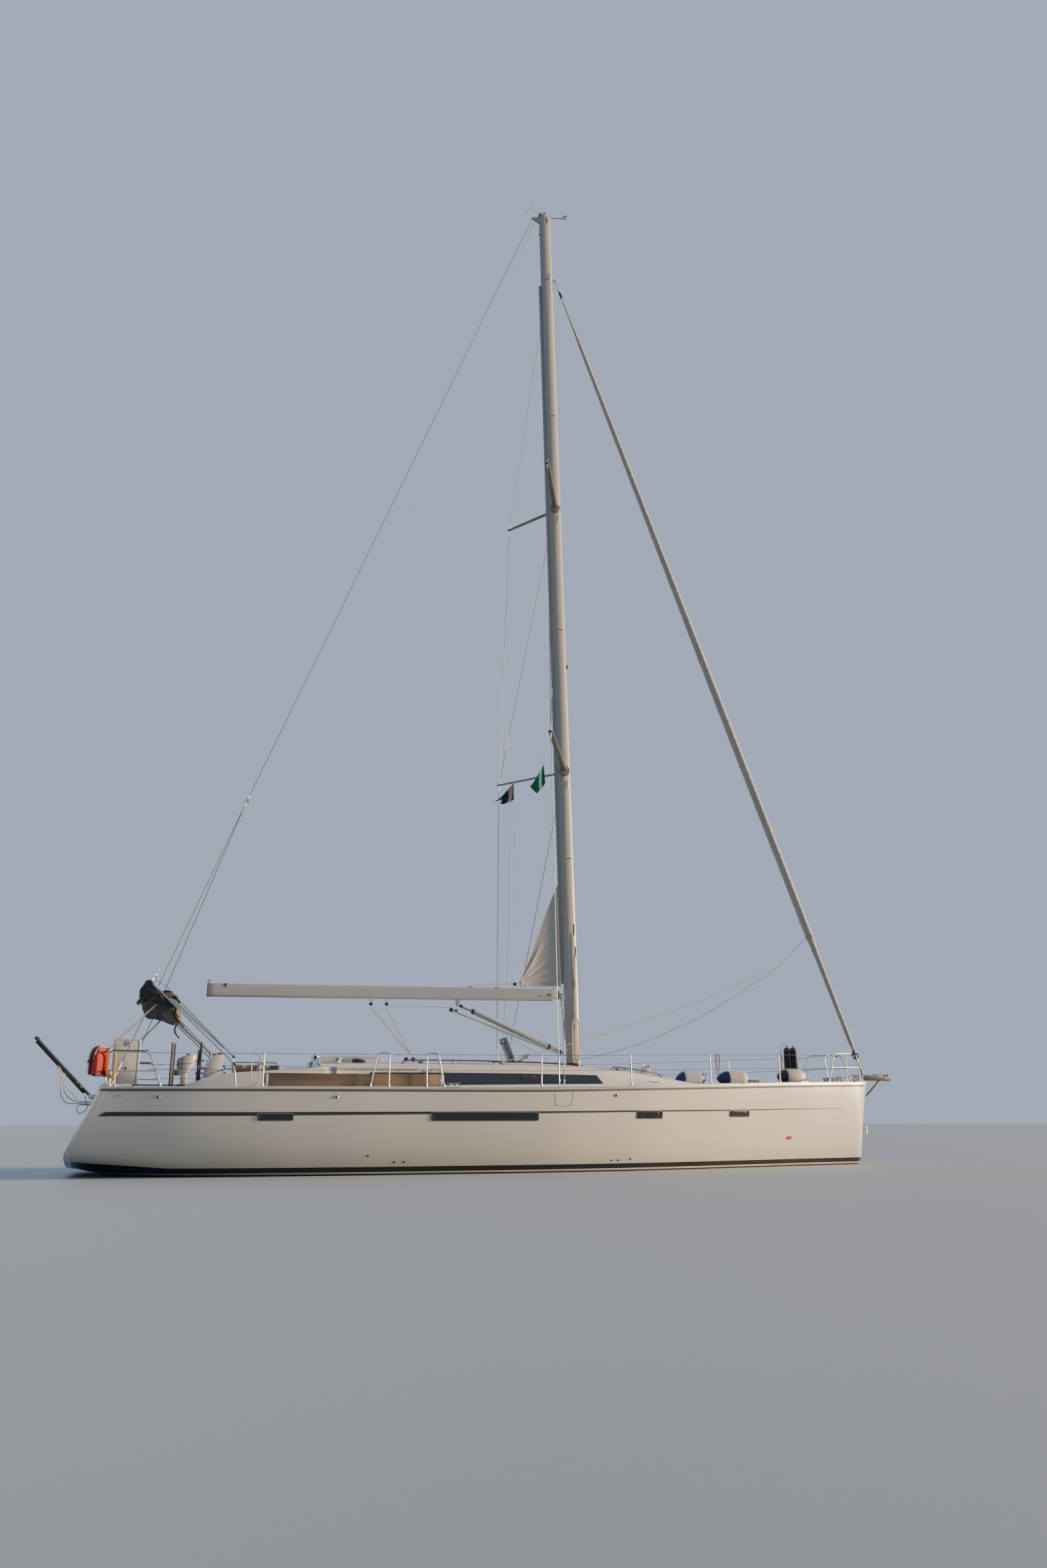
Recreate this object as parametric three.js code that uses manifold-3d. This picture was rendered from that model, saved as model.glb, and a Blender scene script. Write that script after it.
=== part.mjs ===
// Sloop-rigged sailing yacht of about 56 ft, afloat with her gear stowed as in harbour.
// Millimetres. +X is the bow, +Y is port, +Z is up. The origin is amidships at the waterline.
import * as THREE from 'three';
import { mergeVertices } from 'three/addons/utils/BufferGeometryUtils.js';
import Module from 'manifold-3d';

const wasm = await Module();
wasm.setup();

const SEAT = 0.3; // gap left between two pieces that touch
const SIDES = { starboard: -1, port: 1 };

// Hull lines: station, half breadth at the rub line, top of the toe rail, height of the rub line below it,
// height of the hull's bottom, and fullness of the section (2 is an ellipse, more is boxier)
const HULL_LINES = [
  [-8100, 2030, 1445, 50, 140, 3.0],
  [-7400, 2100, 1447, 49, 0, 3.0],
  [-6000, 2270, 1451, 48, -230, 2.9],
  [-4500, 2350, 1459, 52, -430, 2.75],
  [-3000, 2380, 1467, 58, -570, 2.6],
  [-1500, 2375, 1477, 64, -650, 2.5],
  [0, 2340, 1492, 70, -690, 2.4],
  [1700, 2170, 1531, 74, -680, 2.25],
  [3500, 1770, 1580, 77, -600, 2.05],
  [5300, 1200, 1638, 80, -450, 1.8],
  [6300, 840, 1664, 80, -320, 1.65],
  [6900, 600, 1680, 80, -230, 1.6],
  [7400, 410, 1693, 80, -130, 1.55],
  [7700, 290, 1701, 80, -45, 1.5],
  [7800, 240, 1703, 80, 20, 1.5],
  [7930, 160, 1707, 80, 760, 1.5],
  [8080, 60, 1711, 80, 1590, 1.5],
];
const STATIONS = [
  -8100, -7600, -6800, -5700, -4500, -3000, -1500, 0, 1400, 2700, 3900, 4900, 5800, 6500, 7100, 7500,
  7700, 7800,
  7865, 7930, 8005, 8080,
];
const INNER_STATIONS = [-7480, -6800, -5000, -3000, 0, 2700, 4900, 6500, 7200, 7560];
const SECTION_STEPS = 8;
const HULL_WALL = 45;
const PANE = 12; // thickness of the dark side band, its panes and the coachroof windows

// The transom leans forward from its foot and is slightly hollow: x and z of its outline
const TRANSOM = [[-7590, 1560], [-7605, 1415], [-7700, 1180], [-7850, 840], [-8010, 500], [-8085, 330],
  [-8080, 60]];

// Coachroof: station, half width at the deck, height of its shoulder, height of its crown
const ROOF_LINES = [
  [-3950, 1620, 1800, 1950],
  [-2500, 1580, 1812, 1985],
  [-140, 1500, 1807, 2000],
  [1400, 1380, 1770, 1945],
  [2300, 1200, 1720, 1860],
  [3000, 1000, 1655, 1750],
  [3700, 720, 1602, 1655],
  [4200, 430, 1580, 1604],
];
const ROOF_STATIONS = [-3950, -2500, -140, 1400, 2300, 3000, 3700, 4200];
const ROOF_WALL = 40;

// Cockpit
const COCKPIT = { aft: -7050, bench: -5450, fore: -3950, sole: 1120, seat: 1500, footwell: 520, back: 1400,
  side: 1690 };
const TUB_FLOOR = 1070;
const GATE_HALF = 450; // half width of the walk-through to the stern
const HELM_SEAT_SIDE = 1700;

// Mast and rig
const MAST = { foot: [1345, 1962], head: [867, 23100], chord: 293, width: 150 };
const RAKE = Math.atan2(MAST.foot[0] - MAST.head[0], MAST.head[1] - MAST.foot[1]);
const GOOSENECK = { x: 1095, z: 3350 };
const STAY_RADIUS = 7;
const RAIL_TUBE = 12.5;
const WIRE = 4;

const v = (x, y, z) => new THREE.Vector3(x, y, z);
const mastX = (z) => MAST.foot[0] - (z - MAST.foot[1]) * Math.tan(RAKE);
const swingX = (z) => GOOSENECK.x - (z - GOOSENECK.z) * Math.tan(RAKE);

// Smooth curve through a table's column, without overshoot
function lineThrough(table, column) {
  const xs = table.map((row) => row[0]);
  const ys = table.map((row) => row[column]);
  const slopes = xs.map((x, i) => {
    if (i === 0 || i === xs.length - 1) return 0;
    const before = (ys[i] - ys[i - 1]) / (xs[i] - xs[i - 1]);
    const after = (ys[i + 1] - ys[i]) / (xs[i + 1] - xs[i]);
    return before * after <= 0 ? 0 : (2 * before * after) / (before + after);
  });
  slopes[0] = (ys[1] - ys[0]) / (xs[1] - xs[0]);
  slopes[xs.length - 1] = (ys.at(-1) - ys.at(-2)) / (xs.at(-1) - xs.at(-2));
  return (x) => {
    const last = xs.length - 2;
    const i = Math.min(Math.max(xs.findIndex((value) => value > x) - 1, 0), last);
    const at = x >= xs.at(-1) ? last : i;
    const span = xs[at + 1] - xs[at];
    const t = Math.min(Math.max((x - xs[at]) / span, 0), 1);
    const rise = 3 * t * t - 2 * t * t * t;
    return ys[at] * (1 - rise) + ys[at + 1] * rise
      + span * (slopes[at] * (t ** 3 - 2 * t * t + t) + slopes[at + 1] * (t ** 3 - t * t));
  };
}

const beam = lineThrough(HULL_LINES, 1);
const railTop = lineThrough(HULL_LINES, 2);
const rubDrop = lineThrough(HULL_LINES, 3);
const bottom = lineThrough(HULL_LINES, 4);
const fullness = lineThrough(HULL_LINES, 5);
const roofHalf = lineThrough(ROOF_LINES, 1);
const roofShoulder = lineThrough(ROOF_LINES, 2);
const roofCrown = lineThrough(ROOF_LINES, 3);
const rubLine = (x) => railTop(x) - rubDrop(x);
const RAIL_HEIGHT = 40;
const camber = (x) => 25 * beam(x) / 1000;
const waterway = (x) => Math.max(beam(x) - 60, beam(x) * 0.5);
const deckHeight = (x, y) => railTop(x) - RAIL_HEIGHT + camber(x) * (1 - Math.abs(y) / waterway(x));
const railPoint = (x, side, rise = 0) => v(x, side * (beam(x) - 28), railTop(x) + rise);

// Solids from closed geometry, and back
function signedVolume(positions, index) {
  const a = v(0, 0, 0);
  const b = v(0, 0, 0);
  const c = v(0, 0, 0);
  let sum = 0;
  for (let i = 0; i < index.length; i += 3) {
    a.fromArray(positions, index[i] * 3);
    b.fromArray(positions, index[i + 1] * 3);
    c.fromArray(positions, index[i + 2] * 3);
    sum += a.dot(b.cross(c));
  }
  return sum / 6;
}

function solid(geometry) {
  const bare = geometry.clone();
  bare.deleteAttribute('normal');
  bare.deleteAttribute('uv');
  const merged = mergeVertices(bare, 0.01);
  const vertProperties = Float32Array.from(merged.attributes.position.array);
  const triVerts = Uint32Array.from(merged.index.array);
  if (signedVolume(vertProperties, triVerts) < 0) triVerts.reverse();
  return new wasm.Manifold(new wasm.Mesh({ numProp: 3, vertProperties, triVerts }));
}

function geometryOf(body) {
  const mesh = body.getMesh();
  const geometry = new THREE.BufferGeometry();
  geometry.setAttribute('position', new THREE.BufferAttribute(mesh.vertProperties, 3));
  geometry.setIndex(new THREE.BufferAttribute(mesh.triVerts, 1));
  geometry.computeVertexNormals();
  return geometry;
}

const join = (...bodies) => bodies.flat().reduce((sum, body) => sum.add(body));
const mirrored = (body) => body.mirror([0, 1, 0]);
const onSide = (body, side) => (side < 0 ? body : mirrored(body));

function box(x0, x1, y0, y1, z0, z1) {
  const geometry = new THREE.BoxGeometry(x1 - x0, y1 - y0, z1 - z0);
  return solid(geometry.translate((x0 + x1) / 2, (y0 + y1) / 2, (z0 + z1) / 2));
}

// Outline in x and z, drawn through from y0 to y1
function prismY(outline, y0, y1) {
  const shape = new THREE.Shape(outline.map(([x, z]) => new THREE.Vector2(x, z)));
  const geometry = new THREE.ExtrudeGeometry(shape, { depth: y1 - y0, bevelEnabled: false });
  return solid(geometry.rotateX(Math.PI / 2).translate(0, y1, 0));
}

// Outline in x and y, drawn up from z0 to z1
// Places a shape made about the Z axis so that it starts at one point and heads for another
function aim(body, from, to) {
  const turn = new THREE.Quaternion().setFromUnitVectors(v(0, 0, 1), to.clone().sub(from).normalize());
  const matrix = new THREE.Matrix4().compose(from, turn, v(1, 1, 1));
  return body.transform(matrix.elements);
}

function rod(from, to, radius, sides = 8, endRadius = radius) {
  const length = from.distanceTo(to);
  const geometry = new THREE.CylinderGeometry(endRadius, radius, length, sides);
  geometry.rotateX(Math.PI / 2).translate(0, 0, length / 2);
  return aim(solid(geometry), from, to);
}

// Body of revolution about the line between two points: pairs of radius and distance along it
function turned(profile, from, to, sides = 16) {
  const points = profile.map(([radius, along]) => new THREE.Vector2(radius, along));
  const geometry = new THREE.LatheGeometry(points, sides).rotateX(Math.PI / 2);
  return aim(solid(geometry), from, to);
}

// Skin through closed rings of points, with flat ends
function loft(rings) {
  const count = rings[0].length;
  const positions = rings.flat().flatMap((point) => [point.x, point.y, point.z]);
  const index = [];
  for (let ring = 0; ring < rings.length - 1; ring += 1) {
    for (let i = 0; i < count; i += 1) {
      const a = ring * count + i;
      const b = ring * count + ((i + 1) % count);
      index.push(a, b, b + count, a, b + count, a + count);
    }
  }
  const normalOf = (ring) => {
    const sum = v(0, 0, 0);
    ring.forEach((point, i) => sum.add(point.clone().cross(ring[(i + 1) % count])));
    return sum.normalize();
  };
  [0, rings.length - 1].forEach((ring) => {
    const points = rings[ring];
    const turn = new THREE.Quaternion().setFromUnitVectors(normalOf(points), v(0, 0, 1));
    const flat = points.map((point) => point.clone().applyQuaternion(turn));
    const outline = flat.map((point) => new THREE.Vector2(point.x, point.y));
    const faces = THREE.ShapeUtils.triangulateShape(outline, []);
    faces.forEach(([a, b, c]) => {
      const corners = ring === 0 ? [a, c, b] : [a, b, c];
      index.push(...corners.map((corner) => ring * count + corner));
    });
  });
  const geometry = new THREE.BufferGeometry();
  geometry.setAttribute('position', new THREE.Float32BufferAttribute(positions, 3));
  geometry.setIndex(index);
  return solid(geometry);
}

// Route of straight runs with rounded corners
class BentPath extends THREE.Curve {
  constructor(corners, bend, steps = 3) {
    super();
    this.route = [corners[0]];
    for (let i = 1; i < corners.length - 1; i += 1) {
      const [before, corner, after] = [corners[i - 1], corners[i], corners[i + 1]];
      const reach = Math.min(bend, before.distanceTo(corner) * 0.45, after.distanceTo(corner) * 0.45);
      const start = corner.clone().lerp(before, reach / before.distanceTo(corner));
      const end = corner.clone().lerp(after, reach / after.distanceTo(corner));
      const arc = new THREE.QuadraticBezierCurve3(start, corner, end);
      this.route.push(...arc.getPoints(steps));
    }
    this.route.push(corners.at(-1));
  }

  get steps() {
    return this.route.length - 1;
  }

  getPoint(t) {
    const at = Math.min(Math.round(t * this.steps), this.steps);
    return this.route[at].clone();
  }

  getPointAt(t) {
    return this.getPoint(t);
  }

  getTangentAt(t, target = v(0, 0, 0)) {
    const at = Math.min(Math.round(t * this.steps), this.steps);
    const before = this.route[Math.max(at - 1, 0)];
    const here = this.route[at];
    const after = this.route[Math.min(at + 1, this.steps)];
    const arriving = here.clone().sub(before);
    const leaving = after.clone().sub(here);
    if (arriving.lengthSq() > 0) arriving.normalize();
    if (leaving.lengthSq() > 0) leaving.normalize();
    return target.copy(arriving.add(leaving).normalize());
  }
}

const circle = (radius, sides) => Array.from({ length: sides }, (_, i) => {
  const angle = (i + 0.5) * 2 * Math.PI / sides;
  return new THREE.Vector2(radius * Math.cos(angle), radius * Math.sin(angle));
});

function tube(corners, radius = RAIL_TUBE, bend = 90, sides = 6) {
  const path = new BentPath(corners, bend);
  const section = new THREE.Shape(circle(radius, sides));
  return solid(new THREE.ExtrudeGeometry(section, { steps: path.steps, extrudePath: path }));
}

// Scene graph
const yacht = new THREE.Group();
const PAINT = {
  gelcoat: [0xdedfdb, 0.35, 0],
  deck: [0xe4e4e0, 0.5, 0],
  antifouling: [0x23262b, 0.8, 0],
  lead: [0x2a2c30, 0.75, 0],
  darkGlass: [0x17181d, 0.12, 0],
  steel: [0xc9c7c0, 0.25, 0.9],
  alloy: [0xb9bcc0, 0.4, 0.6],
  whiteAlloy: [0xd8d8d4, 0.45, 0.1],
  greyAlloy: [0x5a5d62, 0.45, 0.5],
  canvas: [0x2f3135, 0.9, 0],
  genoa: [0x8f8c7c, 0.85, 0],
  sailcloth: [0xd9d4c4, 0.85, 0],
  teak: [0x8d6a48, 0.7, 0],
  plank: [0x7a5c3a, 0.75, 0],
  bronze: [0x9a7b45, 0.4, 0.8],
  engine: [0x6e7478, 0.6, 0.3],
  fender: [0xd9d2bd, 0.55, 0],
  fenderBlack: [0x1d1d20, 0.6, 0],
  buoy: [0xb51f2c, 0.8, 0],
  black: [0x1c1c1f, 0.5, 0],
  outboard: [0xc6c6c0, 0.4, 0],
};

function piece(name, body, finish) {
  const [color, roughness, metalness] = PAINT[finish];
  const paint = new THREE.MeshStandardMaterial({ color, roughness, metalness });
  const mesh = new THREE.Mesh(geometryOf(body), paint);
  mesh.name = name;
  yacht.add(mesh);
  return body;
}

// Hull
function hullSection(x, inset, top, steps) {
  const half = beam(x) - inset;
  const low = Math.min(bottom(x) + inset, top - 20);
  const power = 2 / fullness(x);
  const side = [];
  for (let i = 1; i <= steps; i += 1) {
    const angle = (i / steps) * Math.PI / 2;
    side.push([half * Math.sin(angle) ** power, top - (top - low) * Math.cos(angle) ** power]);
  }
  const starboard = side.toReversed().map(([y, z]) => v(x, -y, z));
  return [...starboard, v(x, 0, low), ...side.map(([y, z]) => v(x, y, z))];
}

const hullForm = (inset, stations = STATIONS, raise = 0, steps = SECTION_STEPS) => (
  loft(stations.map((x) => hullSection(x, inset, rubLine(x) + raise, steps)))
);
const cabinForm = (inset) => hullForm(inset, INNER_STATIONS, 60, 6);

const transomCut = (shift = 0) => prismY(
  [...TRANSOM.map(([x, z]) => [x + shift, z]), [-8080, -400], [-9200, -400], [-9200, 1560]], -2600, 2600,
);

const hullOuter = hullForm(0).subtract(transomCut());
const hullInner = cabinForm(HULL_WALL);
const hullBehindPane = hullForm(PANE, STATIONS, 60);
const hullBehindRecess = hullForm(PANE + SEAT, STATIONS, 60);
const hullClearance = hullForm(-SEAT);

// Dark band along the topsides, widening into four windows a side: x, height of its lower and upper edge
const BAND = [
  [-7570, 978, 982], [-7470, 978, 1046], [-5200, 984, 1043], [0, 1030, 1062], [4000, 1078, 1103],
  [7230, 1140, 1150],
];
const HULL_WINDOWS = [[-5050, -4450, 900, 1025], [-2100, -120, 894, 1050], [1840, 2410, 928, 1075],
  [4000, 4520, 959, 1090]];
const bandOutline = (grow) => [
  ...BAND.map(([x, low]) => [x, low - grow]), ...BAND.toReversed().map(([x, , high]) => [x, high + grow]),
];
const windowOutline = ([x0, x1, z0, z1], grow) => {
  const [a, b, c, d] = [x0 - grow, x1 + grow, z0 - grow, z1 + grow];
  const corner = 30;
  return [[a + corner, c], [b - corner, c], [b, c + corner], [b, d], [a, d], [a, c + corner]];
};
const bandPrism = (grow, y0, y1) => join(
  prismY(bandOutline(grow), y0, y1), HULL_WINDOWS.map((pane) => prismY(windowOutline(pane, grow), y0, y1)),
);
const bandSides = { starboard: [-2600, -60], port: [60, 2600] };

const THRUSTER = { x: 6080, z: -128, bore: 94, wall: 106 };
const RUDDER = { x: -6700, stock: 45, bearing: 85 };
const DRIVE = { x: -3150, z: -1000 };

// The swim platform fills the middle of the transom; its hinge runs along its foot
const PLATFORM = { half: 800, low: 372, high: 1378, thick: 80, gap: 6 };
const PLATFORM_HINGE = { x: -8046, z: 352, radius: 16, barrel: 120, lug: 30, at: 620 };
function transomX(z) {
  const i = Math.min(Math.max(TRANSOM.findIndex((point) => point[1] < z), 1), TRANSOM.length - 1);
  const [[x0, z0], [x1, z1]] = [TRANSOM[i - 1], TRANSOM[i]];
  return x0 + (x1 - x0) * (z - z0) / (z1 - z0);
}
function platformOutline(outward, inward, low, high) {
  const heights = [low, ...TRANSOM.map(([, z]) => z).filter((z) => z > low && z < high).reverse(), high];
  return [...heights.map((z) => [transomX(z) - outward, z]),
    ...heights.toReversed().map((z) => [transomX(z) + inward, z])];
}
const platformRecess = prismY(
  platformOutline(60, PLATFORM.thick + PLATFORM.gap, PLATFORM.low - PLATFORM.gap, 1520),
  -PLATFORM.half - PLATFORM.gap, PLATFORM.half + PLATFORM.gap,
);

const PASSERELLE = { foot: [-7790, 1310], tip: [-8765, 2285], y: -1030, half: 165, depth: 56, thick: 36 };
function passerelleCheeks() {
  const { foot: [x, z], y, half } = PASSERELLE;
  const outline = [[x - 26, z - 24], [x + 26, z - 60], [-7560, z - 60], [-7560, z + 50], [x - 26, z + 24]];
  return [y - half - SEAT - 14, y + half + SEAT].map((start) => prismY(outline, start, start + 14));
}

function hullShell() {
  let shell = hullOuter.subtract(hullInner);
  Object.values(bandSides).forEach(([y0, y1]) => {
    shell = shell.subtract(bandPrism(SEAT, y0, y1).subtract(hullBehindRecess));
    HULL_WINDOWS.forEach((pane) => {
      shell = shell.subtract(prismY(windowOutline(pane, -25), y0, y1));
    });
  });
  const acrossBow = [v(THRUSTER.x, -700, THRUSTER.z), v(THRUSTER.x, 700, THRUSTER.z)];
  const tunnel = rod(...acrossBow, THRUSTER.wall, 24).intersect(hullOuter);
  const gearLeg = rod(v(THRUSTER.x, 30, THRUSTER.z - 100), v(THRUSTER.x, 30, THRUSTER.z), 12, 8);
  const gearCase = rod(v(THRUSTER.x, 0, THRUSTER.z), v(THRUSTER.x, 70, THRUSTER.z), 24, 12);
  shell = shell.add(tunnel).subtract(rod(...acrossBow, THRUSTER.bore, 24)).add(gearLeg).add(gearCase);
  const bearing = rod(v(RUDDER.x, 0, -180), v(RUDDER.x, 0, 330), RUDDER.bearing, 16).intersect(hullOuter);
  const stockHole = rod(v(RUDDER.x, 0, -400), v(RUDDER.x, 0, 600), RUDDER.stock + 0.9, 32);
  shell = shell.add(bearing).subtract(stockHole);
  const width = PLATFORM.half + PLATFORM.gap;
  const footGap = box(-8200, -8010, -width, width, 322, PLATFORM.low);
  const gate = box(-8200, -7400, -GATE_HALF, GATE_HALF, TUB_FLOOR - SEAT, 1700);
  shell = shell.subtract(platformRecess).subtract(footGap).subtract(gate);
  const { x, z, radius, barrel, lug, at } = PLATFORM_HINGE;
  const lugs = [-at, at].flatMap((y) => [-1, 1].map((end) => {
    const near = y + end * (barrel / 2 + SEAT);
    const [y0, y1] = [Math.min(near, near + end * lug), Math.max(near, near + end * lug)];
    return rod(v(x, y0, z), v(x, y1, z), radius, 12).add(box(x, x + 60, y0, y1, z - radius, z + radius - 2));
  }));
  return join(shell, lugs, passerelleCheeks());
}
const hull = piece('hull_shell', hullShell(), 'gelcoat');

Object.entries(bandSides).forEach(([name, [y0, y1]]) => {
  const band = hullOuter.subtract(hullBehindPane).intersect(bandPrism(0, y0, y1));
  piece(`window_band_${name}`, band, 'darkGlass');
});

// Deck plate with its toe rails
function deckSection(x) {
  const half = beam(x);
  const rail = railTop(x);
  const low = rubLine(x) + SEAT;
  const inner = waterway(x);
  const lip = Math.min(half - 8, inner + (half - inner) * 0.75);
  const railInner = Math.min(inner + 12, lip - 2);
  const floor = rail - RAIL_HEIGHT;
  const side = [[half, low], [lip, rail], [railInner, rail], [inner, floor]];
  const port = side.map(([y, z]) => v(x, y, z));
  const starboard = side.toReversed().map(([y, z]) => v(x, -y, z));
  return [...port, v(x, 0, floor + camber(x)), ...starboard, v(x, 0, low + Math.max(camber(x) - 25, 0))];
}

function roofSection(x, inset, drop = 0) {
  const half = roofHalf(x) - inset;
  const shoulder = roofShoulder(x) - inset;
  const crown = roofCrown(x) - inset;
  const base = 1380 - drop;
  const side = [
    [half, base], [half, deckHeight(x, half)], [half - 90, shoulder],
      [half - 165, shoulder + (crown - shoulder) * 0.3],
    [half * 0.5, crown - (crown - shoulder) * 0.16],
  ];
  const port = side.map(([y, z]) => v(x, y, z));
  const starboard = side.toReversed().map(([y, z]) => v(x, -y, z));
  return [...port, v(x, 0, crown), ...starboard];
}

const roofOuter = loft(ROOF_STATIONS.map((x) => roofSection(x, 0)));
const roofBehindPane = loft([-4200, ...ROOF_STATIONS].map((x) => roofSection(x, PANE, 40)));
const roofBehindRecess = loft([-4200, ...ROOF_STATIONS].map((x) => roofSection(x, PANE + SEAT, 40)));
const ROOF_INNER_STATIONS = [-3900, -2500, -140, 1400, 2300, 3000, 3500];
const roofInner = loft(ROOF_INNER_STATIONS.map((x) => roofSection(x, ROOF_WALL, 300)));

// Outline of the side windows in x and z, and the way each corner moves when the outline grows
const ROOF_BAND = [[-3300, 1540, -3, -1], [-1730, 1525, 0, -1], [1486, 1577, 3, -1], [1358, 1739, 1, 1],
  [-140, 1752, 0, 1],
  [-1730, 1750, 0, 1], [-3050, 1740, -1, 1]];
const roofBandOutline = (grow) => ROOF_BAND.map(([x, z, aside, up]) => [x + grow * aside, z + grow * up]);
const ROOF_PANES = [[-2950, -1560, 1570, 1700], [-1460, -60, 1565, 1710], [40, 1250, 1600, 1700]];

const HELM = { x: -6020, y: 1170, z: 1800, rim: 430, podFore: -5640, podAft: -5900 };
function helmPedestal() {
  const { y, z, podFore, podAft } = HELM;
  const low = TUB_FLOOR + 10;
  return prismY([[podFore, low], [podFore - 20, 1760], [podFore + 30, 2010], [podFore - 110, 2030],
    [podAft, z + 60], [podAft, z - 60], [podAft + 90, low]], -y - 170, -y + 170);
}

// Hump over the companionway, which carries the sliding hatch
const HUMP = { aft: -3950, fore: -2860, toe: -2700, half: 950, top: 2045, entry: 330, entryFore: -3250 };

const COMPANION = { aft: -3940, fore: -3200, half: 370, thick: 26 };
const LIFT_SEAT = { aft: -7570, fore: -7090, y: 447, z: 1513, length: 870, thick: 46, under: 9 };

// Flat frames for the four lids on deck: the lid's ends, its half width and the height of its frame
const LID = { thick: 24, hinge: 12, lug: 40, barrel: 90 };
const HATCHES = {
  saloon_hatch_aft: { hingeX: 30, free: -470, half: 260, frame: 2022, open: 68 },
  saloon_hatch_fore: { hingeX: 130, free: 430, half: 200, frame: 2014, open: 35 },
  fore_hatch: { hingeX: 5420, free: 4820, half: 300, frame: 1688, open: 0 },
};
const LOCKER = { aft: 6230, fore: 6930, half: 250, frame: 1700 };

function hatchLid({ hingeX, free, half, frame, open }) {
  const reach = Math.sign(free - hingeX);
  const axisZ = frame + SEAT + LID.hinge;
  const plate = box(Math.min(free, hingeX), Math.max(free, hingeX), -half, half, frame + SEAT,
    frame + SEAT + LID.thick);
  const gaps = [-1, 1].map((side) => {
    const middle = side * half * 0.6;
    return box(hingeX - 22, hingeX + 22, middle - LID.barrel / 2 - LID.lug, middle + LID.barrel / 2 + LID.lug,
      frame, frame + 60);
  });
  const barrels = [-1, 1].map((side) => {
    const middle = side * half * 0.6;
    const barrel = rod(v(hingeX, middle - LID.barrel / 2, axisZ), v(hingeX, middle + LID.barrel / 2, axisZ),
      LID.hinge, 12);
    const tongue = box(Math.min(hingeX, hingeX + reach * 40), Math.max(hingeX, hingeX + reach * 40),
      middle - LID.barrel / 2, middle + LID.barrel / 2, axisZ - LID.hinge + 1, axisZ + LID.hinge);
    return barrel.add(tongue);
  });
  let lid = plate;
  gaps.forEach((gap) => { lid = lid.subtract(gap); });
  lid = join(lid, barrels);
  return lid.translate([-hingeX, 0, -axisZ]).rotate([0, -reach * open, 0]).translate([hingeX, 0, axisZ]);
}

function hatchLugs({ hingeX, half, frame }) {
  return [-1, 1].flatMap((side) => [-1, 1].map((end) => {
    const inner = side * half * 0.6 + end * (LID.barrel / 2 + SEAT);
    const outer = inner + end * (LID.lug - 8);
    return box(hingeX - 12, hingeX + 12, Math.min(inner, outer), Math.max(inner, outer), frame - 30,
      frame + 26);
  }));
}

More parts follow.
